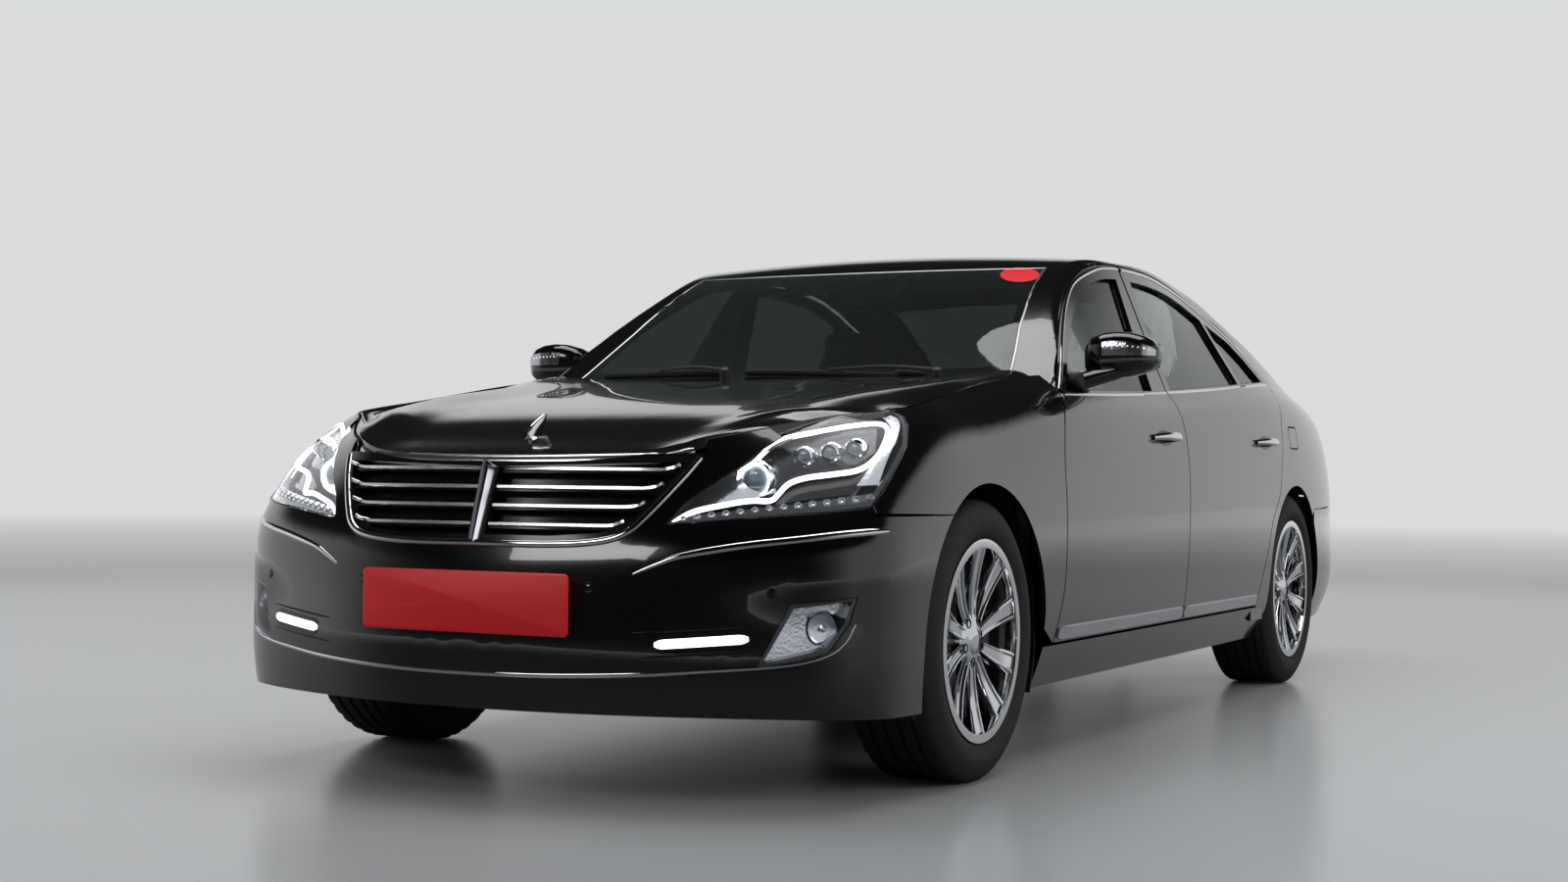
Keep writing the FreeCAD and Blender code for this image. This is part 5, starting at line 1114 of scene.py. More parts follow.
    def sensors(self) -> None:
        """Round parking sensors."""
        outline = [(0.0, 0.0012), (0.0085, 0.001), (0.0095, 0.0003), (0.0105, 0.0009),
                   (0.0118, 0.0007), (0.0122, -0.002)]
        for index, (y, z) in enumerate(((0.318, 0.501), (0.715, 0.495))):
            place, normal = self.corner_point(y, z)
            add_both(f"front_sensor_{index}", turned(outline, place, normal, 28), GLOSS_BLACK)
        rear = Probe("rear_bumper")
        for index, (y, z) in enumerate(((0.24, 0.5), (0.66, 0.5))):
            place, normal = rear.rear(y, z)
            add_both(f"rear_sensor_{index}", turned(outline, place, normal, 28), GLOSS_BLACK)

    def fog_inserts(self) -> None:
        """Round fog lamp and its reflector behind each clear cover."""
        field = LensField(self.view)
        place = field.at(838.5, 641.5, 0.05)
        radius = 0.037
        ball = [(0.0, 0.016), (0.012, 0.0155), (0.024, 0.011), (radius * 0.85, 0.004),
                (radius, 0.0), (radius, -0.006)]
        forward = Vector((1, 0.1, 0))
        add_both("fog_lamp_glass", turned(ball, place + forward * 0.012, forward), CLEAR)
        bowl = [(0.0, -0.02), (0.006, -0.019), (0.02, -0.014), (radius * 0.9, 0.004),
                (radius, 0.012), (radius * 1.09, 0.014), (radius * 1.12, 0.004),
                (radius * 1.12, -0.03)]
        add_both("fog_lamp_bowl", turned(bowl, place, forward), REFLECTOR)
        bulb = [(0.0, 0.006), (0.006, 0.004), (0.008, -0.004), (0.008, -0.02)]
        add_both("fog_lamp_bulb_shield", turned(bulb, place, forward, 20), CHROME)
        top = ((806, 617), (828, 613.5), (850, 614), (871, 617))
        low = ((777, 678), (800, 679.5), (826, 676), (846, 664))
        Headlamps.patch("fog_lamp_reflector", field, top, low, 0.055, REFLECTOR)


@dataclass
class SideTrim:
    """Bright window frames, waist strips, sill strips and handles.

    Attributes:
        frame_width: Width of the bright window strip.
        handle_length: Length of a door handle.
        front_top: (x, height) pairs along the front window's upper strip.
        rear_top: The same for the rear window.
    """

    frame_width: float = 0.013
    handle_length: float = 0.235
    front_top: tuple[Pair, ...] = ((0.965, 1.004), (0.85, 1.082), (0.7, 1.1835), (0.505, 1.3005),
                                   (0.366, 1.366), (0.165, 1.418), (0.05, 1.4325),
                                   (-0.036, 1.436))
    rear_top: tuple[Pair, ...] = ((-0.0645, 1.4362), (-0.2, 1.437), (-0.364, 1.4325),
                                  (-0.709, 1.396), (-1.004, 1.32), (-1.203, 1.24),
                                  (-1.262, 1.19), (-1.296, 1.14), (-1.318, 1.115))

    def build(self) -> None:
        """Builds the trim of both sides."""
        front = Probe("front_door_left")
        rear = Probe("rear_door_left")
        profile = dome(self.frame_width, 0.004)
        add_both("front_window_top_strip", strip(front.side, self.front_top, 90, profile), CHROME,
                 "front_door_")
        add_both("rear_window_top_strip", strip(rear.side, self.rear_top, 90, profile), CHROME,
                 "rear_door_")
        waist = ((0.975, 0.9925), (0.5, 1.0065), (0.1, 1.0255), (0.008, 1.031))
        add_both("front_waist_strip", strip(front.side, waist, 40, profile), CHROME, "front_door_")
        waist = ((-0.004, 1.0318), (-0.282, 1.0475), (-0.6, 1.066), (-0.854, 1.0835),
                 (-1.1, 1.1), (-1.31, 1.113))
        add_both("rear_waist_strip", strip(rear.side, waist, 50, profile), CHROME, "rear_door_")
        section = slab_section(0.038, 0.006)
        for name, probe, places, body in (
            ("front_sill_strip", front, ((1.15, 0.339), (0.6, 0.3385), (0.033, 0.338)),
             "front_door_"),
            ("rear_sill_strip", rear, ((0.018, 0.338), (-0.4, 0.337), (-0.853, 0.336)),
             "rear_door_"),
        ):
            add_both(name, strip(probe.side, places, 40, section, ends_tapered(40, 0.7, 1)), SATIN,
                     body)
        self.handle("front_door_handle", front, 0.215, 0.884, "front_door_")
        self.handle("rear_door_handle", rear, -0.955, 0.889, "rear_door_")

    def handle(self, name: str, probe: Probe, x: float, z: float, body: str) -> None:
        """Bright pull with a dark dish behind it.

        Args:
            name: Piece name.
            probe: The door.
            x: Middle of the handle along the car.
            z: Its height.
            body: CAD body without its side.
        """
        half = self.handle_length / 2
        path, out, sizes = [], [], []
        for share in steps_between(-1, 1, 25):
            place, normal = probe.side(x + half * share, z)
            lift = 0.03 * (1 - abs(share) ** 3.2) + 0.003
            path.append(place + normal * lift)
            out.append(normal)
            sizes.append(0.72 + 0.28 * (1 - share * share))
        section = [(0.0135 * math.cos(a), 0.0075 * math.sin(a))
                   for a in (i * math.pi / 7 for i in range(14))]
        add_both(name, swept(path, out, section, sizes), CHROME, body)
        dish = []
        for reach in steps_between(0, 1, 7):
            ring = []
            for angle in steps_between(0, 2 * math.pi, 29):
                place, normal = probe.side(x + half * 0.68 * reach * math.cos(angle),
                                           z + 0.024 * reach * math.sin(angle))
                ring.append(place + normal * 0.0006)
            dish.append(ring)
        add_both(name + "_dish", grid_mesh(dish), GLOSS_BLACK, body)


@dataclass
class Wheels:
    """Ten-spoke bright wheels, their tyres, brake discs and bolts.

    Attributes:
        spokes: Number of spokes.
        radius: Radius of the tyre.
        width: Width of the tyre.
        axles: Word, x and half track of each axle.
    """

    spokes: int = 10
    radius: float = 0.3515
    width: float = 0.245
    axles: tuple[tuple[str, float, float], ...] = (("front", 1.665, 0.81), ("rear", -1.38, 0.814))

    def build(self) -> None:
        """Builds the four wheels."""
        tyre, wheel = self.tyre(), self.wheel()
        for place, x, y in self.axles:
            for side in Side:
                centre = Vector((x, y * side.value, self.radius))
                body = f"{place}_wheel_{side.word}"
                for name, mesh, finish, node in (
                    ("tyre", tyre, TYRE, f"{place}_tyre_{side.word}"),
                    ("rim", wheel, WHEEL, body),
                ):
                    moved = ([centre + Vector((p.x, p.y * side.value, p.z)) for p in mesh[0]],
                             mesh[1])
                    piece = add_piece(f"{place}_{name}_{side.word}_dressed", moved, finish, body)
                    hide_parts(node)
                self.small_parts(place, side, centre, body)

    def tyre(self) -> Mesh:
        """Tyre with four grooves and cuts across its shoulders.

        Returns:
            The mesh round the wheel's middle.
        """
        half = self.width / 2
        tread = self.radius - 0.0005
        side = [(0.2425, half - 0.016), (0.256, half - 0.015), (0.26, half - 0.0095),
                (0.272, half - 0.004), (0.286, half - 0.001), (0.3, half - 0.0004),
                (0.314, half - 0.003), (0.326, half - 0.009), (0.336, half - 0.015),
                (0.344, half - 0.0205), (0.349, half - 0.027)]
        crown = [(tread, half - 0.034)]
        for centre in (0.058, 0.02):
            crown += [(tread, centre + 0.0055), (tread - 0.0075, centre + 0.0042),
                      (tread - 0.0075, centre - 0.0042), (tread, centre - 0.0055)]
        outline = side + crown
        outline = outline + [(r, -y) for r, y in reversed(outline)]
        steps = 144
        points = []
        for i in range(steps):
            angle = 2 * math.pi * i / steps
            for radius, y in outline:
                cut = 0.0
                if 0.3435 < radius and abs(y) > 0.066 and i % 3 == 0:
                    cut = 0.005
                points.append(Vector(((radius - cut) * math.sin(angle), y,
                                      (radius - cut) * math.cos(angle))))
        return points, grid_faces(steps, len(outline), loop=True)

    def wheel(self) -> Mesh:
        """Rim, spokes and hub as one bright casting.

        Returns:
            The mesh round the wheel's middle; +Y is outward.
        """
        half = self.width / 2
        rim = [(0.231, half - 0.0085), (0.237, half - 0.0083), (0.253, half - 0.0085),
               (0.2532, half - 0.012), (0.242, half - 0.016), (0.234, half - 0.03),
               (0.233, half - 0.07), (0.22, half - 0.1), (0.22, -half + 0.03),
               (0.24, -half + 0.012), (0.253, -half + 0.009), (0.253, -half + 0.012),
               (0.241, -half + 0.016), (0.23, -half + 0.035), (0.23, half - 0.1),
               (0.229, half - 0.07), (0.227, half - 0.025), (0.231, half - 0.0085)]
        hub = [(0.0, half - 0.03), (0.03, half - 0.03), (0.0325, half - 0.032),
               (0.04, half - 0.033), (0.064, half - 0.036), (0.072, half - 0.042),
               (0.074, half - 0.08), (0.0, half - 0.09)]
        forms = [turned(rim, Vector(), LEFT, 96), turned(hub, Vector(), LEFT, 60)]
        spoke = self.spoke(half)
        for i in range(self.spokes):
            turn = Matrix.Rotation(2 * math.pi * i / self.spokes, 3, "Y")
            forms.append(([turn @ point for point in spoke[0]], spoke[1]))
        return joined(forms)

    def spoke(self, half: float) -> Mesh:
        """Broad spoke that widens to the rim, with a groove along each flank.

        Args:
            half: Half width of the wheel.

        Returns:
            The mesh of the spoke that points up.
        """
        rows = []
        for share in steps_between(0, 1, 15):
            reach = 0.056 + 0.1765 * share
            wide = 0.0155 + 0.015 * share ** 1.2
            face = half - 0.034 + 0.022 * share ** 1.4 - 0.004 * math.sin(math.pi * share)
            deep = face - 0.03 + 0.008 * share
            section = [(-wide, deep), (-wide, face - 0.008), (-wide * 0.93, face - 0.002),
                       (-wide * 0.8, face), (-wide * 0.62, face - 0.0006),
                       (-wide * 0.5, face - 0.0048), (wide * 0.5, face - 0.0048),
                       (wide * 0.62, face - 0.0006), (wide * 0.8, face),
                       (wide * 0.93, face - 0.002), (wide, face - 0.008), (wide, deep)]
            rows.append([Vector((a, b, reach)) for a, b in section])
        count, width = len(rows), len(rows[0])
        faces = grid_faces(count, width, ring=True)
        faces += [tuple(range(width)), tuple(range((count - 1) * width, count * width))]
        return [point for row in rows for point in row], faces

    def small_parts(self, place: str, side: Side, centre: Vector, body: str) -> None:
        """Cap, bolts, valve and brake disc of one wheel, with painted shade: dark rings round the
        bolts and black dots for the disc's drilled holes.

        Args:
            place: Front or rear.
            side: Side of the car.
            centre: Middle of the wheel.
            body: CAD body of the wheel.
        """
        half = self.width / 2
        out = Vector((0, side.value, 0))
        cap = [(0.0, 0.003), (0.01, 0.0029), (0.02, 0.0022), (0.027, 0.001),
               (0.029, 0.0), (0.03, -0.004)]
        bolts, pocket_shade_rings, hole_shade_dots = [], [], []
        for i in range(5):
            angle = 2 * math.pi * (i + 0.5) / 5
            spot = centre + Vector((0.054 * math.sin(angle), 0, 0.054 * math.cos(angle)))
            bolts.append(turned([(0.0, 0.003), (0.007, 0.003), (0.0085, 0.0), (0.0085, -0.01)],
                                spot + out * (half - 0.04), out, 6))
            # Dark ring round each bolt: painted shade of its recess.
            pocket_shade_rings.append(turned([(0.0085, 0.0022), (0.012, 0.003), (0.0128, 0.0022),
                                   (0.0128, -0.004)], spot + out * (half - 0.0352), out, 20))
        foot = centre + Vector((0.207, 0, 0.07)) + out * (half - 0.045)
        stem = [(0.0, 0.018), (0.003, 0.017), (0.0036, 0.004), (0.0055, 0.0), (0.0055, -0.03)]
        way = Vector((-0.5, side.value, -0.15)).normalized()
        disc = [(0.07, half - 0.092), (0.075, half - 0.0905), (0.09, half - 0.0905),
                (0.0905, half - 0.0965), (0.1645, half - 0.0965), (0.165, half - 0.0975),
                (0.165, half - 0.108), (0.1645, half - 0.1085), (0.165, half - 0.112),
                (0.165, half - 0.1225), (0.07, half - 0.1225)]
        for row, reach in enumerate((0.105, 0.125, 0.145)):
            for i in range(18):
                angle = 2 * math.pi * (i + row / 3) / 18
                spot = centre + Vector((reach * math.sin(angle), 0, reach * math.cos(angle)))
                # Black dot on the disc face: painted shade of a drilled hole.
                hole_shade_dots.append(turned([(0.0, 0.0004), (0.0028, 0.0004), (0.0032, -0.001)],
                                    spot + out * (half - 0.0966), out, 8))
        for word, mesh, finish, sharp in (
            ("cap", turned(cap, centre + out * (half - 0.0305), out, 40), WHEEL, 40),
            ("bolts", joined(bolts), STEEL, 20),
            ("bolt_seats", joined(pocket_shade_rings), POCKET_SHADE_AND_HEATER_METAL, 40),
            ("valve", turned(stem, foot, way, 12), SEAL_RUBBER_AND_HOLE_SHADE, 40),
            ("disc", turned(disc, centre, out, 72), DISC, 40),
            ("disc_holes", joined(hole_shade_dots), SEAL_RUBBER_AND_HOLE_SHADE, 40),
        ):
            add_piece(f"{place}_{word}_{side.word}", mesh, finish, body, sharp)


# Soft and moulded forms


def pillow(middle: Triple, half: Triple, crown: float = 0.0, seams: Sequence[Pair] = (),
           tilt: float = 0.0, bolster: float = 0.0, squareness: float = 7.0,
           steps: int = 22) -> Mesh:
    """Rounded box with a crowned top, seams and raised sides.

    Args:
        middle: Its middle.
        half: Half sizes along x, y and z before the tilt.
        crown: Height added at the middle of the top.
        seams: Grooves as (axis, place) pairs: axis 0 runs across x and 1 across y.
        tilt: Turn about y in degrees.
        bolster: Height added along both sides.
        squareness: Higher gives tighter corners.
        steps: Divisions of each face.

    Returns:
        The mesh.
    """
    points, faces = [], []
    turn = Matrix.Rotation(math.radians(tilt), 3, "Y")
    for axis in range(3):
        for sign in (1, -1):
            start = len(points)
            for i in range(steps + 1):
                for j in range(steps + 1):
                    flat = [0.0, 0.0, 0.0]
                    flat[axis] = sign
                    flat[(axis + 1) % 3] = math.sin(math.pi / 2 * (2 * i / steps - 1))
                    flat[(axis + 2) % 3] = math.sin(math.pi / 2 * (2 * j / steps - 1))
                    norm = sum(abs(part) ** squareness for part in flat) ** (1 / squareness)
                    a, b, c = (part / norm for part in flat)
                    up = 0.0
                    if c > 0:
                        up = crown * (1 - a * a) * (1 - b * b)
                        up += bolster * max(0.0, min(1.0, (abs(b) - 0.55) / 0.3)) * (1 - a ** 4)
                        for way, place in seams:
                            gap = (a, b)[int(way)] - place
                            up -= 0.007 * math.exp(-(gap * half[int(way)] / 0.006) ** 2)
                    point = Vector((a * half[0], b * half[1], c * half[2] + up * max(0.0, c)))
                    points.append(Vector(middle) + turn @ point)
            for face in grid_faces(steps + 1, steps + 1):
                moved = tuple(start + index for index in face)
                faces.append(moved if sign > 0 else moved[::-1])
    return points, faces


def draped(cast: Cast, first: Sequence[float], second: Sequence[float], lift: float,
           thickness: float) -> Mesh:
    """Sheet that follows a panel over a grid of places.

    Args:
        cast: Probe method that finds the panel.
        first: Places along the probe's first direction.
        second: Places along its second direction.
        lift: How far the sheet stands off the panel.
        thickness: The sheet's own thickness.

    Returns:
        The mesh.
    """
    top, low = [], []
    for a in first:
        found = [cast(a, b) for b in second]
        top.append([place + normal * (lift + thickness) for place, normal in found])
        low.append([place + normal * lift for place, normal in found])
    return sheet(top, low)


@dataclass
class Screen:
    """Black border and bright moulding of the windscreen or the rear window.

    Attributes:
        node: CAD node of the glass.
        lines: Front middle, front side, rear middle and rear side places along the car.
        depth: Distance of the border below the glass's outer face.
    """

    node: str
    lines: tuple[float, float, float, float]
    depth: float = 0.0062

    def half(self, x: float) -> float:
        """Half width of the glass.

        Args:
            x: Place along the car.

        Returns:
            The half width there.
        """
        low, high = min(self.lines[1], self.lines[3]), max(self.lines[1], self.lines[3])
        places = steps_between(low, high, 6)
        rows = [(vertex.co.x, abs(vertex.co.y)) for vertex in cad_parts[self.node].data.vertices]
        widths = [max(y for px, y in rows if abs(px - place) < 0.05) for place in places]
        share = (x - low) / (high - low) * 5
        index = max(0, min(4, int(share)))
        return widths[index] + (widths[index + 1] - widths[index]) * (share - index)

    def border(self, name: str, bands: Sequence[tuple[float, float, float, float]]) -> None:
        """Black band along parts of the edge.

        Args:
            name: Piece name.
            bands: (share from, share to, way from, way to) of each part; shares run from the
                front line to the rear line, ways from -1 to 1 across the car.
        """
        probe = Probe(self.node)
        front, front_side, rear, rear_side = self.lines
        widths = [self.half(front_side + (rear_side - front_side) * i / 20) for i in range(21)]
        meshes = []
        for share_from, share_to, way_from, way_to in bands:
            rows = []
            for share in steps_between(share_from, share_to, 4 if share_to - share_from < 0.2 else 24):
                row = []
                index = max(0, min(19, int(share * 20)))
                half = widths[index] + (widths[index + 1] - widths[index]) * (share * 20 - index)
                count = 4 if way_to - way_from < 0.3 else 33
                for way in steps_between(way_from, way_to, count):
                    start = front + (front_side - front) * way * way
                    end = rear + (rear_side - rear) * way * way
                    place, normal = probe.top(start + (end - start) * share, way * (half - 0.004))
                    row.append(place - normal * self.depth)
                rows.append(row)
            meshes.append(grid_mesh(rows))
        add_piece(name, joined(meshes), SEAL_RUBBER_AND_HOLE_SHADE)

    def moulding(self, name: str) -> None:
        """Thin bright moulding along both sides and the rear end of the glass.

        Args:
            name: Piece name.
        """
        probe = Probe(self.node)
        front, front_side, rear, rear_side = self.lines
        path, out = [], []
        for way in (-1, 1):
            for share in steps_between(0.04, 0.99, 30)[::-way]:
                x = front_side + (rear_side - front_side) * share
                place, normal = probe.top(x, way * (self.half(x) - 0.006))
                path.append(place)
                out.append(normal)
            if way < 0:
                for part in steps_between(-0.97, 0.97, 31):
                    x = rear + (rear_side - rear) * part * part
                    x += (front - rear) * 0.012
                    place, normal = probe.top(x, part * (self.half(rear_side) - 0.006))
                    path.append(place)
                    out.append(normal)
        add_piece(name, swept(path, out, dome(0.008, 0.0016)), SATIN)


@dataclass
class Screens:
    """Borders, wipers, heater lines, cowl grille, inner mirror and the blank sticker.

    Attributes:
        view: The photograph's camera.
        wiper_lift: Height of a blade's middle above the glass.
    """

    view: Viewpoint
    wiper_lift: float = 0.01

    def build(self) -> None:
        """Builds what is on and behind the two screens."""
        wind = Screen("windshield", (1.128, 0.986, 0.427, 0.382))
        wind.border("windscreen_border", ((0.0, 0.1, -1, 1), (0.955, 1.0, -1, 1),
                                          (0.1, 0.955, 0.955, 1), (0.1, 0.955, -1, -0.955)))
        back = Screen("rear_window", (-0.992, -1.012, -1.908, -1.878))
        wind.moulding("windscreen_moulding")
        back.moulding("rear_window_moulding")
        back.border("rear_window_border", ((0.0, 0.05, -1, 1), (0.93, 1.0, -1, 1),
                                           (0.05, 0.93, 0.955, 1), (0.05, 0.93, -1, -0.955)))
        self.wipers()
        self.heater()
        self.cowl()
        self.inner_mirror()
        self.sticker()

    def wipers(self) -> None:
        """Two arms with their blades, parked along the foot of the windscreen."""
        glass = Probe("windshield")
        for word, pivot, inner, outer in (
            ("left", (1.095, 0.56), (1.075, 0.5), (1.098, -0.06)),
            ("right", (1.125, -0.1), (1.1, -0.12), (1.01, -0.6)),
        ):
            blade, out = [], []
            for share in steps_between(0.0, 1.0, 30):
                x = inner[0] + (outer[0] - inner[0]) * share + 0.012 * math.sin(math.pi * share)
                place, normal = glass.top(x, inner[1] + (outer[1] - inner[1]) * share)
                blade.append(place + normal * self.wiper_lift)
                out.append(normal)
            section = [(-0.006, 0), (-0.006, 0.004), (-0.001, 0.011), (0.001, 0.011),
                       (0.006, 0.004), (0.006, 0), (0.001, -0.003), (0.001, -0.0098),
                       (-0.001, -0.0098), (-0.001, -0.003)]
            sizes = ends_tapered(30, 0.6, 2)
            add_piece(f"wiper_blade_{word}", swept(blade, out, section, sizes), SEAL_RUBBER_AND_HOLE_SHADE)
            start = Vector((pivot[0] + 0.03, pivot[1], blade[0].z + 0.006))
            arm = smooth_line([start, start.lerp(blade[15], 0.45) + Vector((0.01, 0, 0.014)),
                               blade[15] + Vector((0, 0, 0.012))], 16)
            ups = [Vector((0.3, 0, 1))] * 16
            thick = [1.0 - 0.5 * i / 15 for i in range(16)]
            add_piece(f"wiper_arm_{word}", swept(arm, ups, slab_section(0.018, 0.009), thick),
                      GRAINED)
            cap = [(0.0, 0.012), (0.01, 0.011), (0.015, 0.006), (0.016, -0.02)]
            add_piece(f"wiper_pivot_{word}", turned(cap, start, Vector((0.3, 0, 1)), 20), GRAINED)

    @staticmethod
    def heater() -> None:
        """Fine heater lines on the inside of the rear window."""
        glass = Probe("rear_window")
        meshes = []
        for x in steps_between(-1.13, -1.82, 14):
            path, out = [], []
            for y in steps_between(-0.56, 0.56, 21):
                place, normal = glass.top(x + 0.03 * (y / 0.56) ** 2, y)
                path.append(place - normal * Screen.depth)
                out.append(normal)
            meshes.append(swept(path, out, slab_section(0.0016, 0.0004, 0.0)))
        add_piece("rear_window_heater", joined(meshes), POCKET_SHADE_AND_HEATER_METAL)

    @staticmethod
    def cowl() -> None:
        """Slotted panel between the hood and the windscreen."""
        probe = Probe("front_structure")
        meshes = []
        for index in range(46):
            y = -0.66 + 1.32 * index / 45
            x = 1.118 - 0.1 * (y / 0.8) ** 2
            place, normal = probe.top(x, y)
            if place.z < 0.97:
                continue
            bar = [place + normal * 0.004, place + normal * 0.004 + Vector((-0.035, 0, 0.002))]
            meshes.append(swept(bar, [normal] * 2, slab_section(0.01, 0.004)))
        if meshes:
            add_piece("cowl_slats", joined(meshes), GRAINED)

    @staticmethod
    def inner_mirror() -> None:
        """Mirror on its stalk behind the windscreen."""
        shell = pillow((0.43, 0.0, 1.322), (0.016, 0.125, 0.033), squareness=3.5, tilt=-12, steps=12)
        add_piece("inner_mirror_shell", shell, GRAINED)
        face = [[Vector((0.4125 - 0.006 * b, 0.118 * a, 1.322 + 0.028 * b))
                 for a in steps_between(-1, 1, 9)] for b in (-1, 0, 1)]
        add_piece("inner_mirror_glass", grid_mesh(face, Vector((-0.001, 0, 0))), MIRROR)
        stalk = smooth_line([Vector((0.44, 0, 1.33)), Vector((0.462, 0, 1.355)),
                             Vector((0.47, 0, 1.372))], 8)
        add_piece("inner_mirror_stalk", swept(stalk, [AHEAD] * 8, round_section(0.009)), GRAINED)

    def sticker(self) -> None:
        """Blank oval sticker in the upper corner of the windscreen."""
        glass = Probe("windshield")
        rows = []
        for reach in steps_between(0.0, 1.0, 5):
            row = []
            for angle in steps_between(0, 2 * math.pi, 33):
                way = self.view.ray(1040.5 + 20 * reach * math.cos(angle),
                               280.5 + 7.4 * reach * math.sin(angle))
                place, normal = glass.hit(Vector(self.view.place), way)
                row.append(place + normal * 0.0004)
            rows.append(row)
        add_piece("windscreen_sticker_blank", grid_mesh(rows), PLATE)


@dataclass
class Ornament:
    """Plain upright fin on the hood's front.

    Attributes:
        height: Height of the fin.
    """

    height: float = 0.06

    def build(self) -> None:
        """Builds the fin and its foot."""
        hood = Probe("hood")
        place, normal = hood.top(2.298, 0.0)
        foot = [(0.0, 0.004), (0.008, 0.0038), (0.013, 0.002), (0.0155, 0.0), (0.0155, -0.003)]
        add_piece("ornament_foot", turned(foot, place, normal, 32), CHROME, "hood")
        rows = []
        for share in steps_between(0.0, 1.0, 12):
            ring = []
            middle = place + Vector((-0.058 * share ** 1.2, 0, self.height * share))
            length = 0.009 + 0.02 * math.sin(math.pi * min(1.0, share + 0.06))
            for angle in steps_between(0, 2 * math.pi, 17):
                ring.append(middle + Vector((length * math.cos(angle),
                                             (0.0065 - 0.004 * share) * math.sin(angle), 0)))
            rows.append(ring)
        points, faces = grid_mesh(rows)
        faces.append(tuple(11 * 17 + i for i in range(16)))
        add_piece("ornament_fin", (points, faces), CHROME, "hood")


@dataclass
class Mirrors:
    """Door mirrors: shell with an indicator strip, glass and swept arm.

    Attributes:
        inner: Inner end of the head across the car.
        outer: Its outer tip.
        middle: Height of its middle.
        front: Its foremost face along the car.
        rear: Its open rear edge.
        shape: Share from the inner end, height above and below the middle and share of the
            depth of each section.
    """

    inner: float = 0.846
    outer: float = 1.068
    middle: float = 1.108
    front: float = 0.783
    rear: float = 0.668
    shape: tuple[tuple[float, float, float, float], ...] = (
        (0.0, 0.016, 0.022, 0.3), (0.05, 0.036, 0.042, 0.62), (0.15, 0.056, 0.058, 0.86),
        (0.32, 0.068, 0.064, 0.98), (0.5, 0.071, 0.064, 1.0), (0.68, 0.068, 0.058, 0.96),
        (0.84, 0.058, 0.048, 0.86), (0.94, 0.044, 0.036, 0.7), (1.0, 0.022, 0.018, 0.44))

    def section(self, share: float) -> tuple[float, float, float]:
        """Size of the shell's section.

        Args:
            share: Place from the inner end, 0, to the tip, 1.

        Returns:
            Height above the middle, height below it and share of the depth.
        """
        for (a, *first), (b, *second) in zip(self.shape, self.shape[1:]):
            if share <= b:
                part = (share - a) / (b - a)
                return tuple(p + (q - p) * part for p, q in zip(first, second))
        return self.shape[-1][1:]

    def point(self, share: float, turn: float) -> Vector:
        """Point of the shell.

        Args:
            share: Place from the inner end, 0, to the tip, 1.
            turn: Angle round the shell; 0 is the rear, pi the front.

        Returns:
            The point.
        """
        up, down, deep = self.section(share)
        depth = (self.front - self.rear) * deep
        side, rise = math.cos(turn), math.sin(turn)
        bulge = 2 / 3.2
        x = self.rear + depth * (0.5 - 0.5 * math.copysign(abs(side) ** bulge, side))
        z = self.middle + (up if rise > 0 else down) * math.copysign(abs(rise) ** bulge, rise)
        return Vector((x, self.inner + (self.outer - self.inner) * share, z))

    def build(self) -> None:
        """Builds both mirrors and hides the plain CAD ones."""
        shares = [0.5 - 0.5 * math.cos(math.pi * i / 28) for i in range(29)]
        rows = [[self.point(share, 2 * math.pi * j / 40) for j in range(41)] for share in shares]
        points, faces = grid_mesh(rows)
        faces += [tuple(range(40)), tuple(28 * 41 + i for i in range(40))]
        for side in Side:
            piece = add_piece(f"mirror_shell_{side.word}", on_side((points, faces), side), PAINT,
                              f"front_door_{side.word}", sharp=60)
            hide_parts(f"mirror_{side.word}")
        self.glass()
        self.indicator()
        self.arm()

    def glass(self) -> None:
        """Mirror glass and the dark rim round it on the rear face."""
        rows = []
        for share in steps_between(0.06, 0.95, 15):
            up, down, _ = self.section(share)
            rows.append([Vector((self.rear - 0.0008, self.inner + (self.outer - self.inner) * share,
                                 self.middle + z))
                         for z in steps_between(-down * 0.82, up * 0.82, 9)])
        add_both("mirror_glass", grid_mesh(rows, Vector((-0.0012, 0, 0))), MIRROR, "front_door_")
        rim = [row[0] for row in rows] + [p for p in rows[-1][1:]] + \
            [row[-1] for row in reversed(rows[:-1])] + [p for p in reversed(rows[0][1:-1])]
        out = [BACK] * len(rim)
        add_both("mirror_rim", swept(rim, out, dome(0.006, 0.002), loop=True), GRAINED,
                 "front_door_")

    def indicator(self) -> None:
        """Clear strip with its cells along the front of the shell."""
        rows, cells = [], []
        for share in steps_between(0.34, 0.985, 24):
            row = []
            for turn in steps_between(math.pi * 0.86, math.pi * 1.0, 5):
                point = self.point(share, turn)
                row.append(point + Vector((0.0014, 0.0004, 0.0002)))
            rows.append(row)
        add_both("mirror_indicator", grid_mesh(rows, Vector((-0.002, 0, 0))), REFLECTOR,
                 "front_door_", sharp=20)
        for share in steps_between(0.42, 0.94, 9):
            spot = self.point(share, math.pi * 0.93) + Vector((0.0012, 0, 0))
            cells.append(turned([(0.0, 0.0022), (0.0022, 0.0018), (0.0036, 0.0)], spot,
                                Vector((1, 0.2, 0)), 10))
        add_both("mirror_indicator_cells", joined(cells), CLEAR, "front_door_")

    def arm(self) -> None:
        """Arm from the door's corner, swept out under the head."""
        path = smooth_line([Vector((0.8, 0.862, 1.03)), Vector((0.775, 0.905, 1.046)),
                            Vector((0.745, 0.955, 1.062)), Vector((0.73, 1.005, 1.084))], 24)
        section = [(0.034 * math.cos(a), 0.021 * math.sin(a))
                   for a in (2 * math.pi * i / 18 for i in range(18))]
        sizes = [1.3 - 0.4 * i / 23 for i in range(24)]
        add_both("mirror_arm", swept(path, [Vector((0, -0.2, 1))] * 24, section, sizes), PAINT,
                 "front_door_")
        foot = pillow((0.815, 0.868, 1.028), (0.055, 0.022, 0.022), squareness=3.0, tilt=-20,
                      steps=10)
        add_both("mirror_foot", foot, GRAINED, "front_door_")


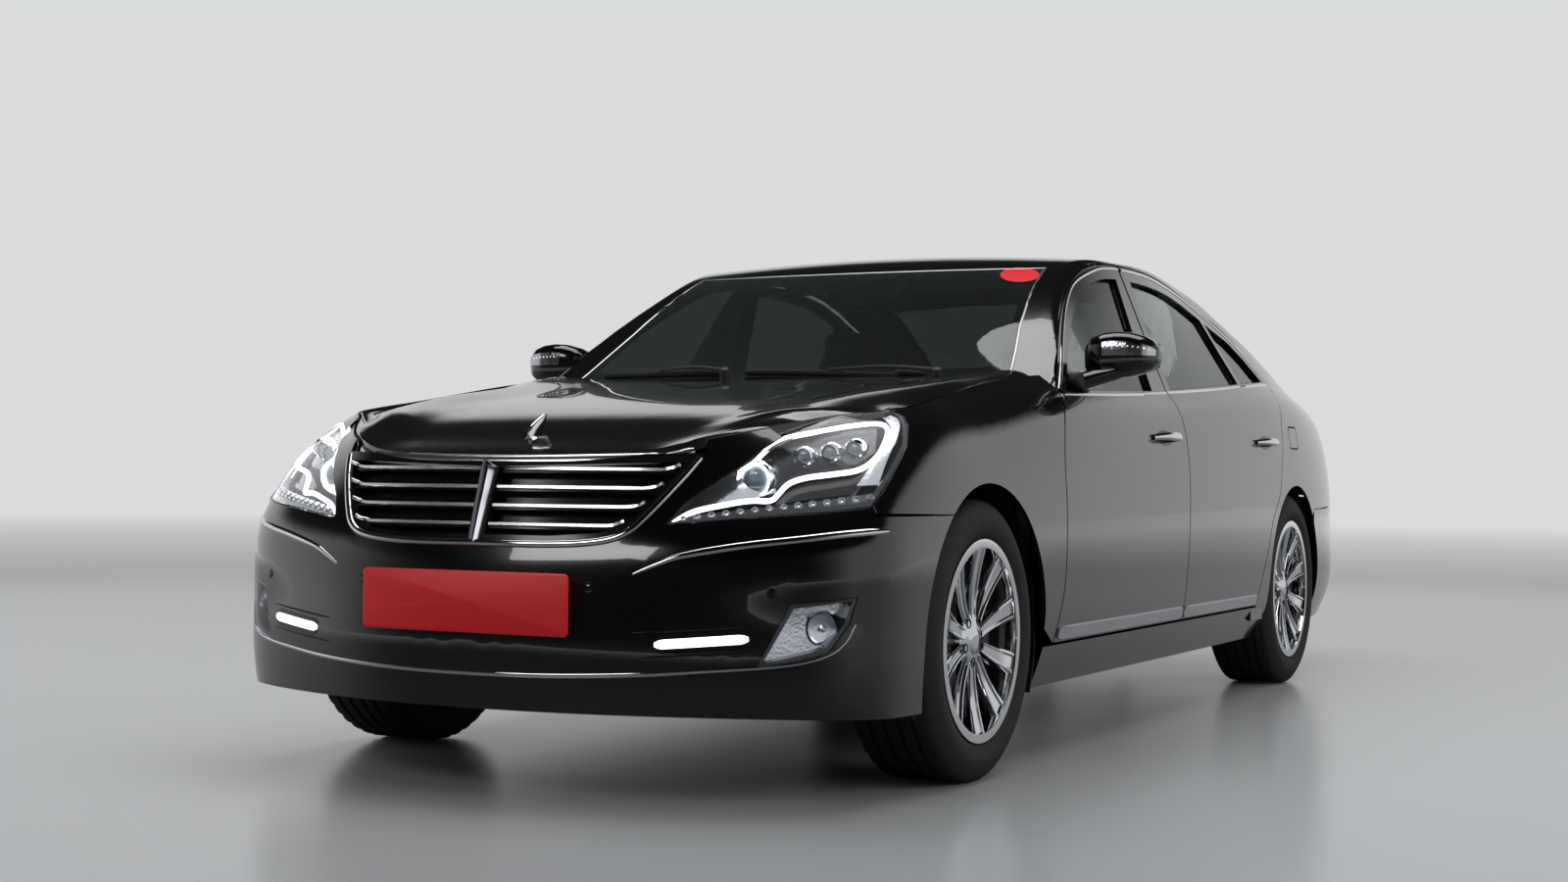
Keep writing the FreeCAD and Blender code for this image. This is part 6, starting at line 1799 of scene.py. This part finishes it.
@dataclass
class TailTrim:
    """Lamp details, bright strips, blank plate, reflectors and pipe finishers at the rear.

    Attributes:
        strip_height: Height of the lid's bright strip.
        plate_middle: Height of the plate's middle.
        plate_size: Its width and height.
    """

    strip_height: float = 0.892
    plate_middle: float = 0.8
    plate_size: Pair = (0.335, 0.155)

    def build(self) -> None:
        """Builds the rear's trim."""
        lid = Probe("trunk_lid")
        places = [(y, self.strip_height) for y in steps_between(-0.455, 0.455, 41)]
        path, out = zip(*(lid.rear(y, z) for y, z in places))
        add_piece("trunk_strip", swept(path, out, dome(0.02, 0.004), ends_tapered(41, 0.4, 3)),
                  CHROME, "trunk_lid")
        self.plate(lid)
        self.lamps()
        bumper = Probe("rear_bumper")
        edge = [bumper.rear(y, 0.335 + 0.02 * (y / 0.8) ** 2) for y in steps_between(-0.76, 0.76, 49)]
        path, out = zip(*edge)
        add_piece("rear_bumper_strip", swept(path, out, dome(0.012, 0.003), ends_tapered(49, 0.3, 3)),
                  CHROME)
        lower = draped(bumper.rear, steps_between(-0.6, 0.6, 25), steps_between(0.226, 0.318, 5),
                       0.0, 0.0018)
        add_piece("rear_lower_panel", lower, GRAINED, sharp=30)
        reflectors = draped(bumper.rear, steps_between(0.6, 0.745, 9),
                            steps_between(0.372, 0.402, 4), 0.0, 0.003)
        add_both("rear_reflector", reflectors, RED_LENS, sharp=30)
        sensors = [turned([(0.0, 0.0016), (0.008, 0.0014), (0.0095, 0.0), (0.0105, -0.001)],
                          *bumper.rear(y, 0.5), 18) for y in (-0.66, -0.24, 0.24, 0.66)]
        add_piece("rear_distance_sensors", joined(sensors), GLOSS_BLACK)
        self.finishers()

    def plate(self, lid: Probe) -> None:
        """Blank plate in its dark surround, with two plate lamps.

        Args:
            lid: The boot lid.
        """
        half, tall = self.plate_size[0] / 2, self.plate_size[1] / 2
        middle = self.plate_middle
        recess = draped(lid.rear, steps_between(-0.3, 0.3, 25),
                        steps_between(middle - 0.082, middle + 0.082, 6), 0.0, 0.0012)
        add_piece("rear_plate_surround", recess, GLOSS_BLACK, "trunk_lid", sharp=30)
        plate = draped(lid.rear, steps_between(-half, half, 15),
                       steps_between(middle - tall / 2 - 0.02, middle + tall / 2 + 0.02, 5),
                       0.002, 0.0016)
        add_piece("rear_plate_blank", plate, PLATE, "trunk_lid", sharp=30)
        lamps = [pillow((lid.rear(y, middle + 0.07)[0].x - 0.002, y, middle + 0.07),
                        (0.003, 0.03, 0.006), squareness=5, steps=8) for y in (-0.12, 0.12)]
        add_piece("plate_lamps", joined(lamps), CLEAR, "trunk_lid")

    @staticmethod
    def lamps() -> None:
        """Light guides, cells and clear windows on the tail lamps."""
        lamp = Probe("tail_lamps")
        guides, cells = [], []
        for z, start, end in ((0.915, 0.515, 0.8), (0.772, 0.515, 0.815)):
            path, out = zip(*(lamp.rear(y, z) for y in steps_between(start, end, 24)))
            guides.append(swept(path, out, dome(0.009, 0.0022), ends_tapered(24, 0.5, 2)))
        path, out = zip(*(lamp.rear(0.8 + 0.014 * math.sin(math.pi * share), 0.915 - 0.143 * share)
                          for share in steps_between(0, 1, 12)))
        guides.append(swept(path, out, dome(0.009, 0.0022)))
        for row in range(3):
            for step in range(9):
                spot, normal = lamp.rear(0.54 + 0.028 * step, 0.885 - 0.018 * row)
                cells.append(turned([(0.0, 0.0016), (0.004, 0.0012), (0.0058, 0.0)], spot, normal, 10))
        add_both("tail_light_guides", joined(guides), RED_TUBE)
        add_both("tail_lamp_cells", joined(cells), RED_TUBE)
        turn_signal = draped(lamp.rear, steps_between(0.53, 0.74, 12), steps_between(0.812, 0.834, 3),
                             0.0, 0.0012)
        reversing = draped(lamp.rear, steps_between(0.53, 0.7, 12), steps_between(0.788, 0.806, 3),
                           0.0, 0.0012)
        add_both("tail_turn_signal", turn_signal, AMBER, sharp=30)
        add_both("tail_reversing_window", reversing, REFLECTOR, sharp=30)

    @staticmethod
    def finishers() -> None:
        """Oval bright ends of the two exhaust pipes."""
        ring = [(0.04 * math.cos(a), 0.026 * math.sin(a))
                for a in (2 * math.pi * i / 32 for i in range(33))]
        rows = []
        for x, size in ((-2.44, 1.0), (-2.535, 1.0), (-2.541, 0.97), (-2.535, 0.92), (-2.46, 0.9)):
            rows.append([Vector((x, 0.436 + y * size, 0.208 + z * size)) for y, z in ring])
        add_both("exhaust_finisher", grid_mesh(rows), CHROME)


@dataclass
class Seats:
    """Two front seats and a rear bench in seamed leather.

    Attributes:
        across: Middle of a front seat across the car.
        fill: How full the pads are; not used.
    """

    across: float = 0.385
    fill: float = 0.9

    def pad(self, name: str, forms: Sequence[Mesh], node: str = "") -> None:
        """One seat pad.

        Args:
            name: Piece name.
            forms: Its rounded forms.
            node: CAD node that it takes the place of.
        """
        piece = add_piece(name, joined(forms), LEATHER, sharp=60)
        if node:
            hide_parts(node)

    def build(self) -> None:
        """Builds all seats and hides their plain CAD solids."""
        for side in Side:
            node = "front_seats" if side is Side.LEFT else ""
            self.front_seat(side.word, self.across * side.value, node)
        wide = ((1, -0.62), (1, -0.3), (1, 0.3), (1, 0.62))
        self.pad("rear_cushion", [pillow((-0.71, 0, 0.41), (0.262, 0.622, 0.1), 0.022,
                                         wide + ((0, 0.45), (0, -0.1)), -6, steps=44)], "rear_seat")
        self.pad("rear_backrest", [pillow((-1.035, 0, 0.74), (0.285, 0.622, 0.085), 0.022,
                                          wide + ((0, -0.35), (0, 0.2)), 68, steps=44)])
        for word, y, half in (("right", -0.37, 0.13), ("middle", 0.0, 0.1), ("left", 0.37, 0.13)):
            self.pad(f"rear_headrest_{word}", [pillow((-1.125, y, 1.065), (0.05, half, 0.04), 0.012,
                                                      ((0, 0.0),), 75, steps=16)])
        rest = pillow((-0.8, 0, 0.545), (0.15, 0.1, 0.032), 0.008, ((0, 0.3),), -6, steps=16)
        self.pad("rear_armrest", [rest])

    def front_seat(self, word: str, y: float, node: str) -> None:
        """One front seat.

        Args:
            word: Its side.
            y: Its middle across the car.
            node: CAD node that it takes the place of.
        """
        panels = ((1, -0.55), (1, 0.55), (0, 0.35), (0, -0.15))
        self.pad(f"front_cushion_{word}", [pillow((0.135, y, 0.415), (0.258, 0.235, 0.095), 0.016,
                                                  panels, -7, 0.026, steps=34)], node)
        self.pad(f"front_backrest_{word}", [pillow((-0.235, y, 0.765), (0.325, 0.23, 0.085), 0.012,
                                                   panels, 68, 0.034, steps=34)])
        self.pad(f"front_headrest_{word}", [pillow((-0.365, y, 1.182), (0.08, 0.13, 0.048), 0.012,
                                                   ((0, 0.0),), 76, steps=18)])
        posts = [swept([Vector((-0.345, y + shift, 1.02)), Vector((-0.372, y + shift, 1.14))],
                       [Vector((1, 0, 0.2))] * 2, round_section(0.006)) for shift in (-0.06, 0.06)]
        add_piece(f"headrest_posts_{word}", joined(posts), CHROME)
        shell = pillow((-0.3, y, 0.735), (0.285, 0.205, 0.04), squareness=6, tilt=68, steps=14)
        add_piece(f"backrest_shell_{word}", shell, GRAINED)
        base = [pillow((0.12, y + shift, 0.335), (0.22, 0.014, 0.05), squareness=5, steps=10)
                for shift in (-0.225, 0.225)]
        rails = [swept([Vector((-0.1, y + shift, 0.252)), Vector((0.34, y + shift, 0.252))],
                       [UP] * 2, slab_section(0.04, 0.024)) for shift in (-0.18, 0.18)]
        add_piece(f"seat_valance_{word}", joined(base), GRAINED)
        add_piece(f"seat_rails_{word}", joined(rails), STEEL)


@dataclass
class Cabin:
    """Instrument panel dress, console, door linings, headliner and mats.

    Attributes:
        door_plane: Distance of the doors' inner faces from the middle.
        accent: Finish of the bright trim.
    """

    door_plane: float = 0.815
    accent: Finish = DARK_CHROME

    def build(self) -> None:
        """Builds the cabin's linings and trim."""
        self.instruments()
        self.console()
        self.linings()
        self.overhead()
        self.floor()
        hub = pillow((0.437, 0.38, 0.862), (0.062, 0.078, 0.022), 0.004, ((1, 0.0),), 68, steps=18)
        add_piece("steering_pad", hub, LEATHER, "steering_wheel")

    def instruments(self) -> None:
        """Instrument hood, dials, screen, vents and accent strip on the panel."""
        hood = pillow((0.78, 0.38, 0.962), (0.115, 0.185, 0.04), 0.006, squareness=3.2, steps=18)
        add_piece("instrument_hood", hood, LEATHER)
        dials = [turned([(0.0, 0.0), (0.05, 0.0), (0.054, 0.004), (0.058, 0.0), (0.058, -0.012)],
                        Vector((0.664, y, 0.935)), Vector((-1, 0, 0.25)), 32) for y in (0.3, 0.46)]
        add_piece("instrument_dials", joined(dials), self.accent)
        screen = pillow((0.676, 0.0, 0.93), (0.02, 0.115, 0.04), squareness=6, tilt=-12, steps=12)
        add_piece("centre_screen", screen, GLOSS_BLACK)
        panel = Probe("dashboard")
        vents, slats = [], []
        for y in (-0.64, -0.17, 0.17, 0.64):
            face = panel.hit(Vector((0.3, y, 0.86)), AHEAD)[0]
            corners = [face + Vector((0, a, b)) for a, b in ((-0.045, -0.022), (0.045, -0.022),
                                                            (0.045, 0.022), (-0.045, 0.022))]
            vents.append(swept(corners, [BACK] * 4, dome(0.008, 0.006), loop=True))
            for rise in (-0.012, 0.0, 0.012):
                line = [face + Vector((-0.001, a, rise)) for a in (-0.042, 0.042)]
                slats.append(swept(line, [BACK] * 2, slab_section(0.006, 0.004)))
        add_piece("vent_frames", joined(vents), self.accent)
        add_piece("vent_slats", joined(slats), GRAINED)
        path = [panel.hit(Vector((0.3, y, 0.8)), AHEAD)[0] for y in steps_between(-0.7, 0.7, 33)]
        out = [BACK] * 33
        add_piece("panel_accent_strip", swept(path, out, dome(0.024, 0.003)), self.accent)

    def console(self) -> None:
        """Centre console with its lid, plate, selector and dial, and the pedals."""
        body = pillow((0.27, 0.0, 0.5), (0.36, 0.1, 0.1), 0.004, squareness=7, tilt=3, steps=18)
        add_piece("console_body", body, GRAINED)
        lid = pillow((0.02, 0.0, 0.62), (0.15, 0.092, 0.03), 0.008, ((1, 0.0),), 2, steps=18)
        add_piece("console_lid", lid, LEATHER)
        plate = pillow((0.36, 0.0, 0.6), (0.16, 0.08, 0.006), squareness=8, tilt=4, steps=12)
        add_piece("console_plate", plate, self.accent)
        knob = [(0.0, 0.09), (0.016, 0.088), (0.024, 0.074), (0.022, 0.05), (0.012, 0.04),
                (0.01, 0.0)]
        add_piece("selector", turned(knob, Vector((0.36, 0, 0.602)), Vector((-0.15, 0, 1)), 24),
                  LEATHER)
        dial = [(0.0, 0.02), (0.02, 0.019), (0.024, 0.014), (0.025, 0.0)]
        add_piece("console_dial", turned(dial, Vector((0.24, 0.0, 0.606)), UP, 28), CHROME)
        for index, (y, half) in enumerate(((0.42, 0.028), (0.3, 0.045))):
            pedal = pillow((0.88, y, 0.4), (0.012, half, 0.05), squareness=5, tilt=20, steps=8)
            add_piece(f"pedal_{index}", pedal, GRAINED)

    def linings(self) -> None:
        """Lining, armrest, pull and speaker of each door."""
        inner = self.door_plane
        for place, middle, half in (("front", 0.46, 0.4), ("rear", -0.52, 0.33)):
            card = pillow((middle, inner - 0.01, 0.64), (half, 0.014, 0.225), squareness=8, steps=20)
            rest = pillow((middle - 0.06, inner - 0.045, 0.665), (half * 0.62, 0.03, 0.036), 0.004,
                          squareness=4, steps=16)
            pull = swept([Vector((middle + half * 0.45, inner - 0.026, 0.76)),
                          Vector((middle + half * 0.72, inner - 0.026, 0.765))],
                         [RIGHT] * 2, dome(0.018, 0.01))
            strip_line = [Vector((middle + half * share, inner - 0.0235, 0.8 + 0.012 * share))
                          for share in steps_between(-0.9, 0.9, 9)]
            accent = swept(strip_line, [RIGHT] * 9, dome(0.026, 0.003))
            speaker = turned([(0.0, 0.003), (0.064, 0.002), (0.074, 0.005), (0.08, 0.0),
                              (0.08, -0.004)], Vector((middle + half * 0.55, inner - 0.024, 0.52)),
                             RIGHT, 36)
            for word, mesh, finish in (("lining", card, LEATHER), ("armrest", rest, LEATHER),
                                       ("pull", pull, CHROME), ("accent", accent, self.accent),
                                       ("speaker", speaker, GRAINED)):
                add_both(f"{place}_door_{word}", mesh, finish, f"{place}_door_")

    @staticmethod
    def overhead() -> None:
        """Headliner, visors and lamp console under the roof."""
        roof = Probe("roof")
        rows = []
        for x in steps_between(-0.95, 0.33, 25):
            row = []
            for y in steps_between(-0.56, 0.56, 19):
                place, _ = roof.hit(Vector((x, y, 1.2)), UP)
                row.append(place - Vector((0, 0, 0.004)))
            rows.append(row)
        add_piece("headliner", grid_mesh(rows, Vector((0, 0, -0.006))), HEADLINER)
        low = min(point.z for point in rows[-1])
        for side in Side:
            visor = pillow((0.25, 0.31 * side.value, low - 0.022), (0.075, 0.19, 0.01),
                           squareness=5, tilt=10, steps=12)
            add_piece(f"sun_visor_{side.word}", visor, HEADLINER)
        lamp = pillow((0.27, 0.0, low - 0.012), (0.075, 0.075, 0.014), squareness=4, tilt=10, steps=12)
        add_piece("overhead_console", lamp, GRAINED)

    @staticmethod
    def floor() -> None:
        """Mats in the four footwells."""
        pan = Probe("floor_pan")

        def down(x: float, y: float) -> Spot:
            """Point of the floor below a place, with up as its normal."""
            return pan.hit(Vector((x, y, 0.6)), DOWN)[0], UP

        for name, start, end in (("front", 0.44, 0.9), ("rear", -0.42, -0.16)):
            mat = draped(down, steps_between(start, end, 9), steps_between(0.2, 0.6, 9), 0.001, 0.01)
            add_both(f"{name}_mat", mat, CARPET, sharp=30)


@dataclass
class Studio:
    """Floor, pale surround and soft lights.

    Attributes:
        floor_reach: Radius of the floor.
        floor_colour: Its linear colour.
        floor_in_gloss: The colour that glossy surfaces and bounced light see.
        wall_colour: Linear colour of the surround.
    """

    floor_reach: float = 60.0
    floor_colour: Triple = (0.42, 0.435, 0.45)
    floor_in_gloss: Triple = (0.13, 0.137, 0.144)
    wall_colour: Triple = (0.7, 0.71, 0.72)

    def build(self) -> None:
        """Builds floor, surround and lights."""
        bpy.context.scene.view_settings.view_transform = "Standard"
        self.floor()
        self.surround()
        for name, place, aim, size, power in (
            ("ceiling_light", (0.4, 0.0, 5.6), (0.2, 0.0, 0.0), (6.5, 3.4), 190),
            ("left_wall_light", (0.6, 7.5, 3.4), (0.0, 0.0, 0.7), (9.0, 2.6), 200),
            ("right_wall_light", (0.6, -7.5, 3.4), (0.0, 0.0, 0.7), (9.0, 2.6), 120),
            ("front_light", (8.5, -2.0, 4.4), (1.5, 0.0, 0.6), (4.0, 1.4), 90),
            ("rear_light", (-8.5, 0.0, 4.2), (-1.5, 0.0, 0.7), (5.0, 1.6), 110),
        ):
            self.soft_light(name, place, aim, size, power)

    def floor(self) -> None:
        """Round floor, pale for the camera only, that fades into the surround far out."""
        work = bmesh.new()
        bmesh.ops.create_circle(work, cap_ends=True, radius=self.floor_reach, segments=96)
        data = bpy.data.meshes.new("studio_floor")
        work.to_mesh(data)
        work.free()
        floor = bpy.data.objects.new("studio_floor", data)
        bpy.context.scene.collection.objects.link(floor)
        made = bpy.data.materials.new("studio_floor_paint")
        made.use_nodes = True
        tree = made.node_tree
        shader = tree.nodes["Principled BSDF"]
        shader.inputs["Roughness"].default_value = 0.22
        path = shader_node(tree, "LightPath")
        tone = shader_node(tree, "Mix", {
            "A": (*self.floor_in_gloss, 1), "B": (*self.floor_colour, 1),
            "Factor": path.outputs["Is Camera Ray"]}, data_type="RGBA")
        tree.links.new(tone.outputs["Result"], shader.inputs["Base Color"])
        place = shader_node(tree, "TexCoord").outputs["Object"]
        away = shader_node(tree, "VectorMath", {0: place}, operation="LENGTH")
        fade = shader_node(tree, "MapRange", {"Value": away.outputs["Value"], "From Min": 9.0,
                                              "From Max": 30.0})
        glow = shader_node(tree, "Emission", {"Color": (*self.wall_colour, 1)})
        blend = shader_node(tree, "MixShader", {0: fade.outputs["Result"], 1: shader.outputs[0],
                                                2: glow.outputs[0]})
        tree.links.new(blend.outputs[0], tree.nodes["Material Output"].inputs["Surface"])
        data.materials.append(made)

    def surround(self) -> None:
        """World: pale for camera and glass, darker ahead and above for gloss, else plain."""
        world = bpy.data.worlds.new("studio_surround")
        bpy.context.scene.world = world
        world.use_nodes = True
        tree = world.node_tree
        pale = (*self.wall_colour, 1)
        plain = tree.nodes["Background"]
        plain.inputs["Color"].default_value = (1, 1, 1, 1)
        plain.inputs["Strength"].default_value = 0.35
        seen = shader_node(tree, "Background", {"Color": pale, "Strength": 1.0})
        path = shader_node(tree, "LightPath").outputs
        way = shader_node(tree, "TexCoord").outputs["Generated"]
        split = shader_node(tree, "SeparateXYZ", {0: way}).outputs
        dark = shader_node(tree, "MapRange", {
            "Value": split["X"], "From Min": 0.25, "From Max": 0.75, "To Min": 0.85,
            "To Max": 0.03}, interpolation_type="SMOOTHSTEP")
        roof = shader_node(tree, "MapRange", {
            "Value": split["Z"], "From Min": 0.3, "From Max": 0.42, "To Min": 1.0,
            "To Max": 0.02}, interpolation_type="SMOOTHSTEP")
        both = shader_node(tree, "Math", {0: dark.outputs["Result"], 1: roof.outputs["Result"]},
                           operation="MULTIPLY")
        mirrored = shader_node(tree, "Background", {"Color": pale, "Strength": both.outputs[0]})
        first = shader_node(tree, "MixShader", {0: path["Is Glossy Ray"], 1: plain.outputs[0],
                                                2: mirrored.outputs[0]})
        direct = shader_node(tree, "Math", {0: path["Is Camera Ray"],
                                            1: path["Is Transmission Ray"]}, operation="MAXIMUM")
        last = shader_node(tree, "MixShader", {0: direct.outputs[0], 1: first.outputs[0],
                                               2: seen.outputs[0]})
        tree.links.new(last.outputs[0], tree.nodes["World Output"].inputs["Surface"])

    @staticmethod
    def soft_light(name: str, place: Triple, aim: Triple, size: Pair, power: float) -> None:
        """Large soft lamp.

        Args:
            name: Its name.
            place: Where it hangs.
            aim: Point that it faces.
            size: Width and height.
            power: Watts.
        """
        data = bpy.data.lights.new(name, "AREA")
        data.shape = "RECTANGLE"
        data.size, data.size_y = size
        data.energy = power
        lamp = bpy.data.objects.new(name, data)
        lamp.visible_glossy = name in ("ceiling_light", "front_light")
        way = Vector(aim) - Vector(place)
        turn = way.to_track_quat("-Z", "Y").to_matrix().to_4x4()
        lamp.matrix_world = Matrix.Translation(place) @ turn
        bpy.context.scene.collection.objects.link(lamp)


def main() -> None:
    """Builds the car's looks and the studio, in order."""
    logging.basicConfig(level=logging.INFO, format="%(message)s")
    view = Viewpoint()
    view.build()
    Studio().build()
    dress_frame()
    for part in (Headlamps(view), Grille(), BumperTrim(view), SideTrim(), Wheels(), Screens(view),
                 Ornament(), Mirrors(), TailTrim(), Seats(), Cabin()):
        part.build()
        LOG.info("built %s", type(part).__name__)
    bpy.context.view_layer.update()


if __name__ == "__main__":
    main()
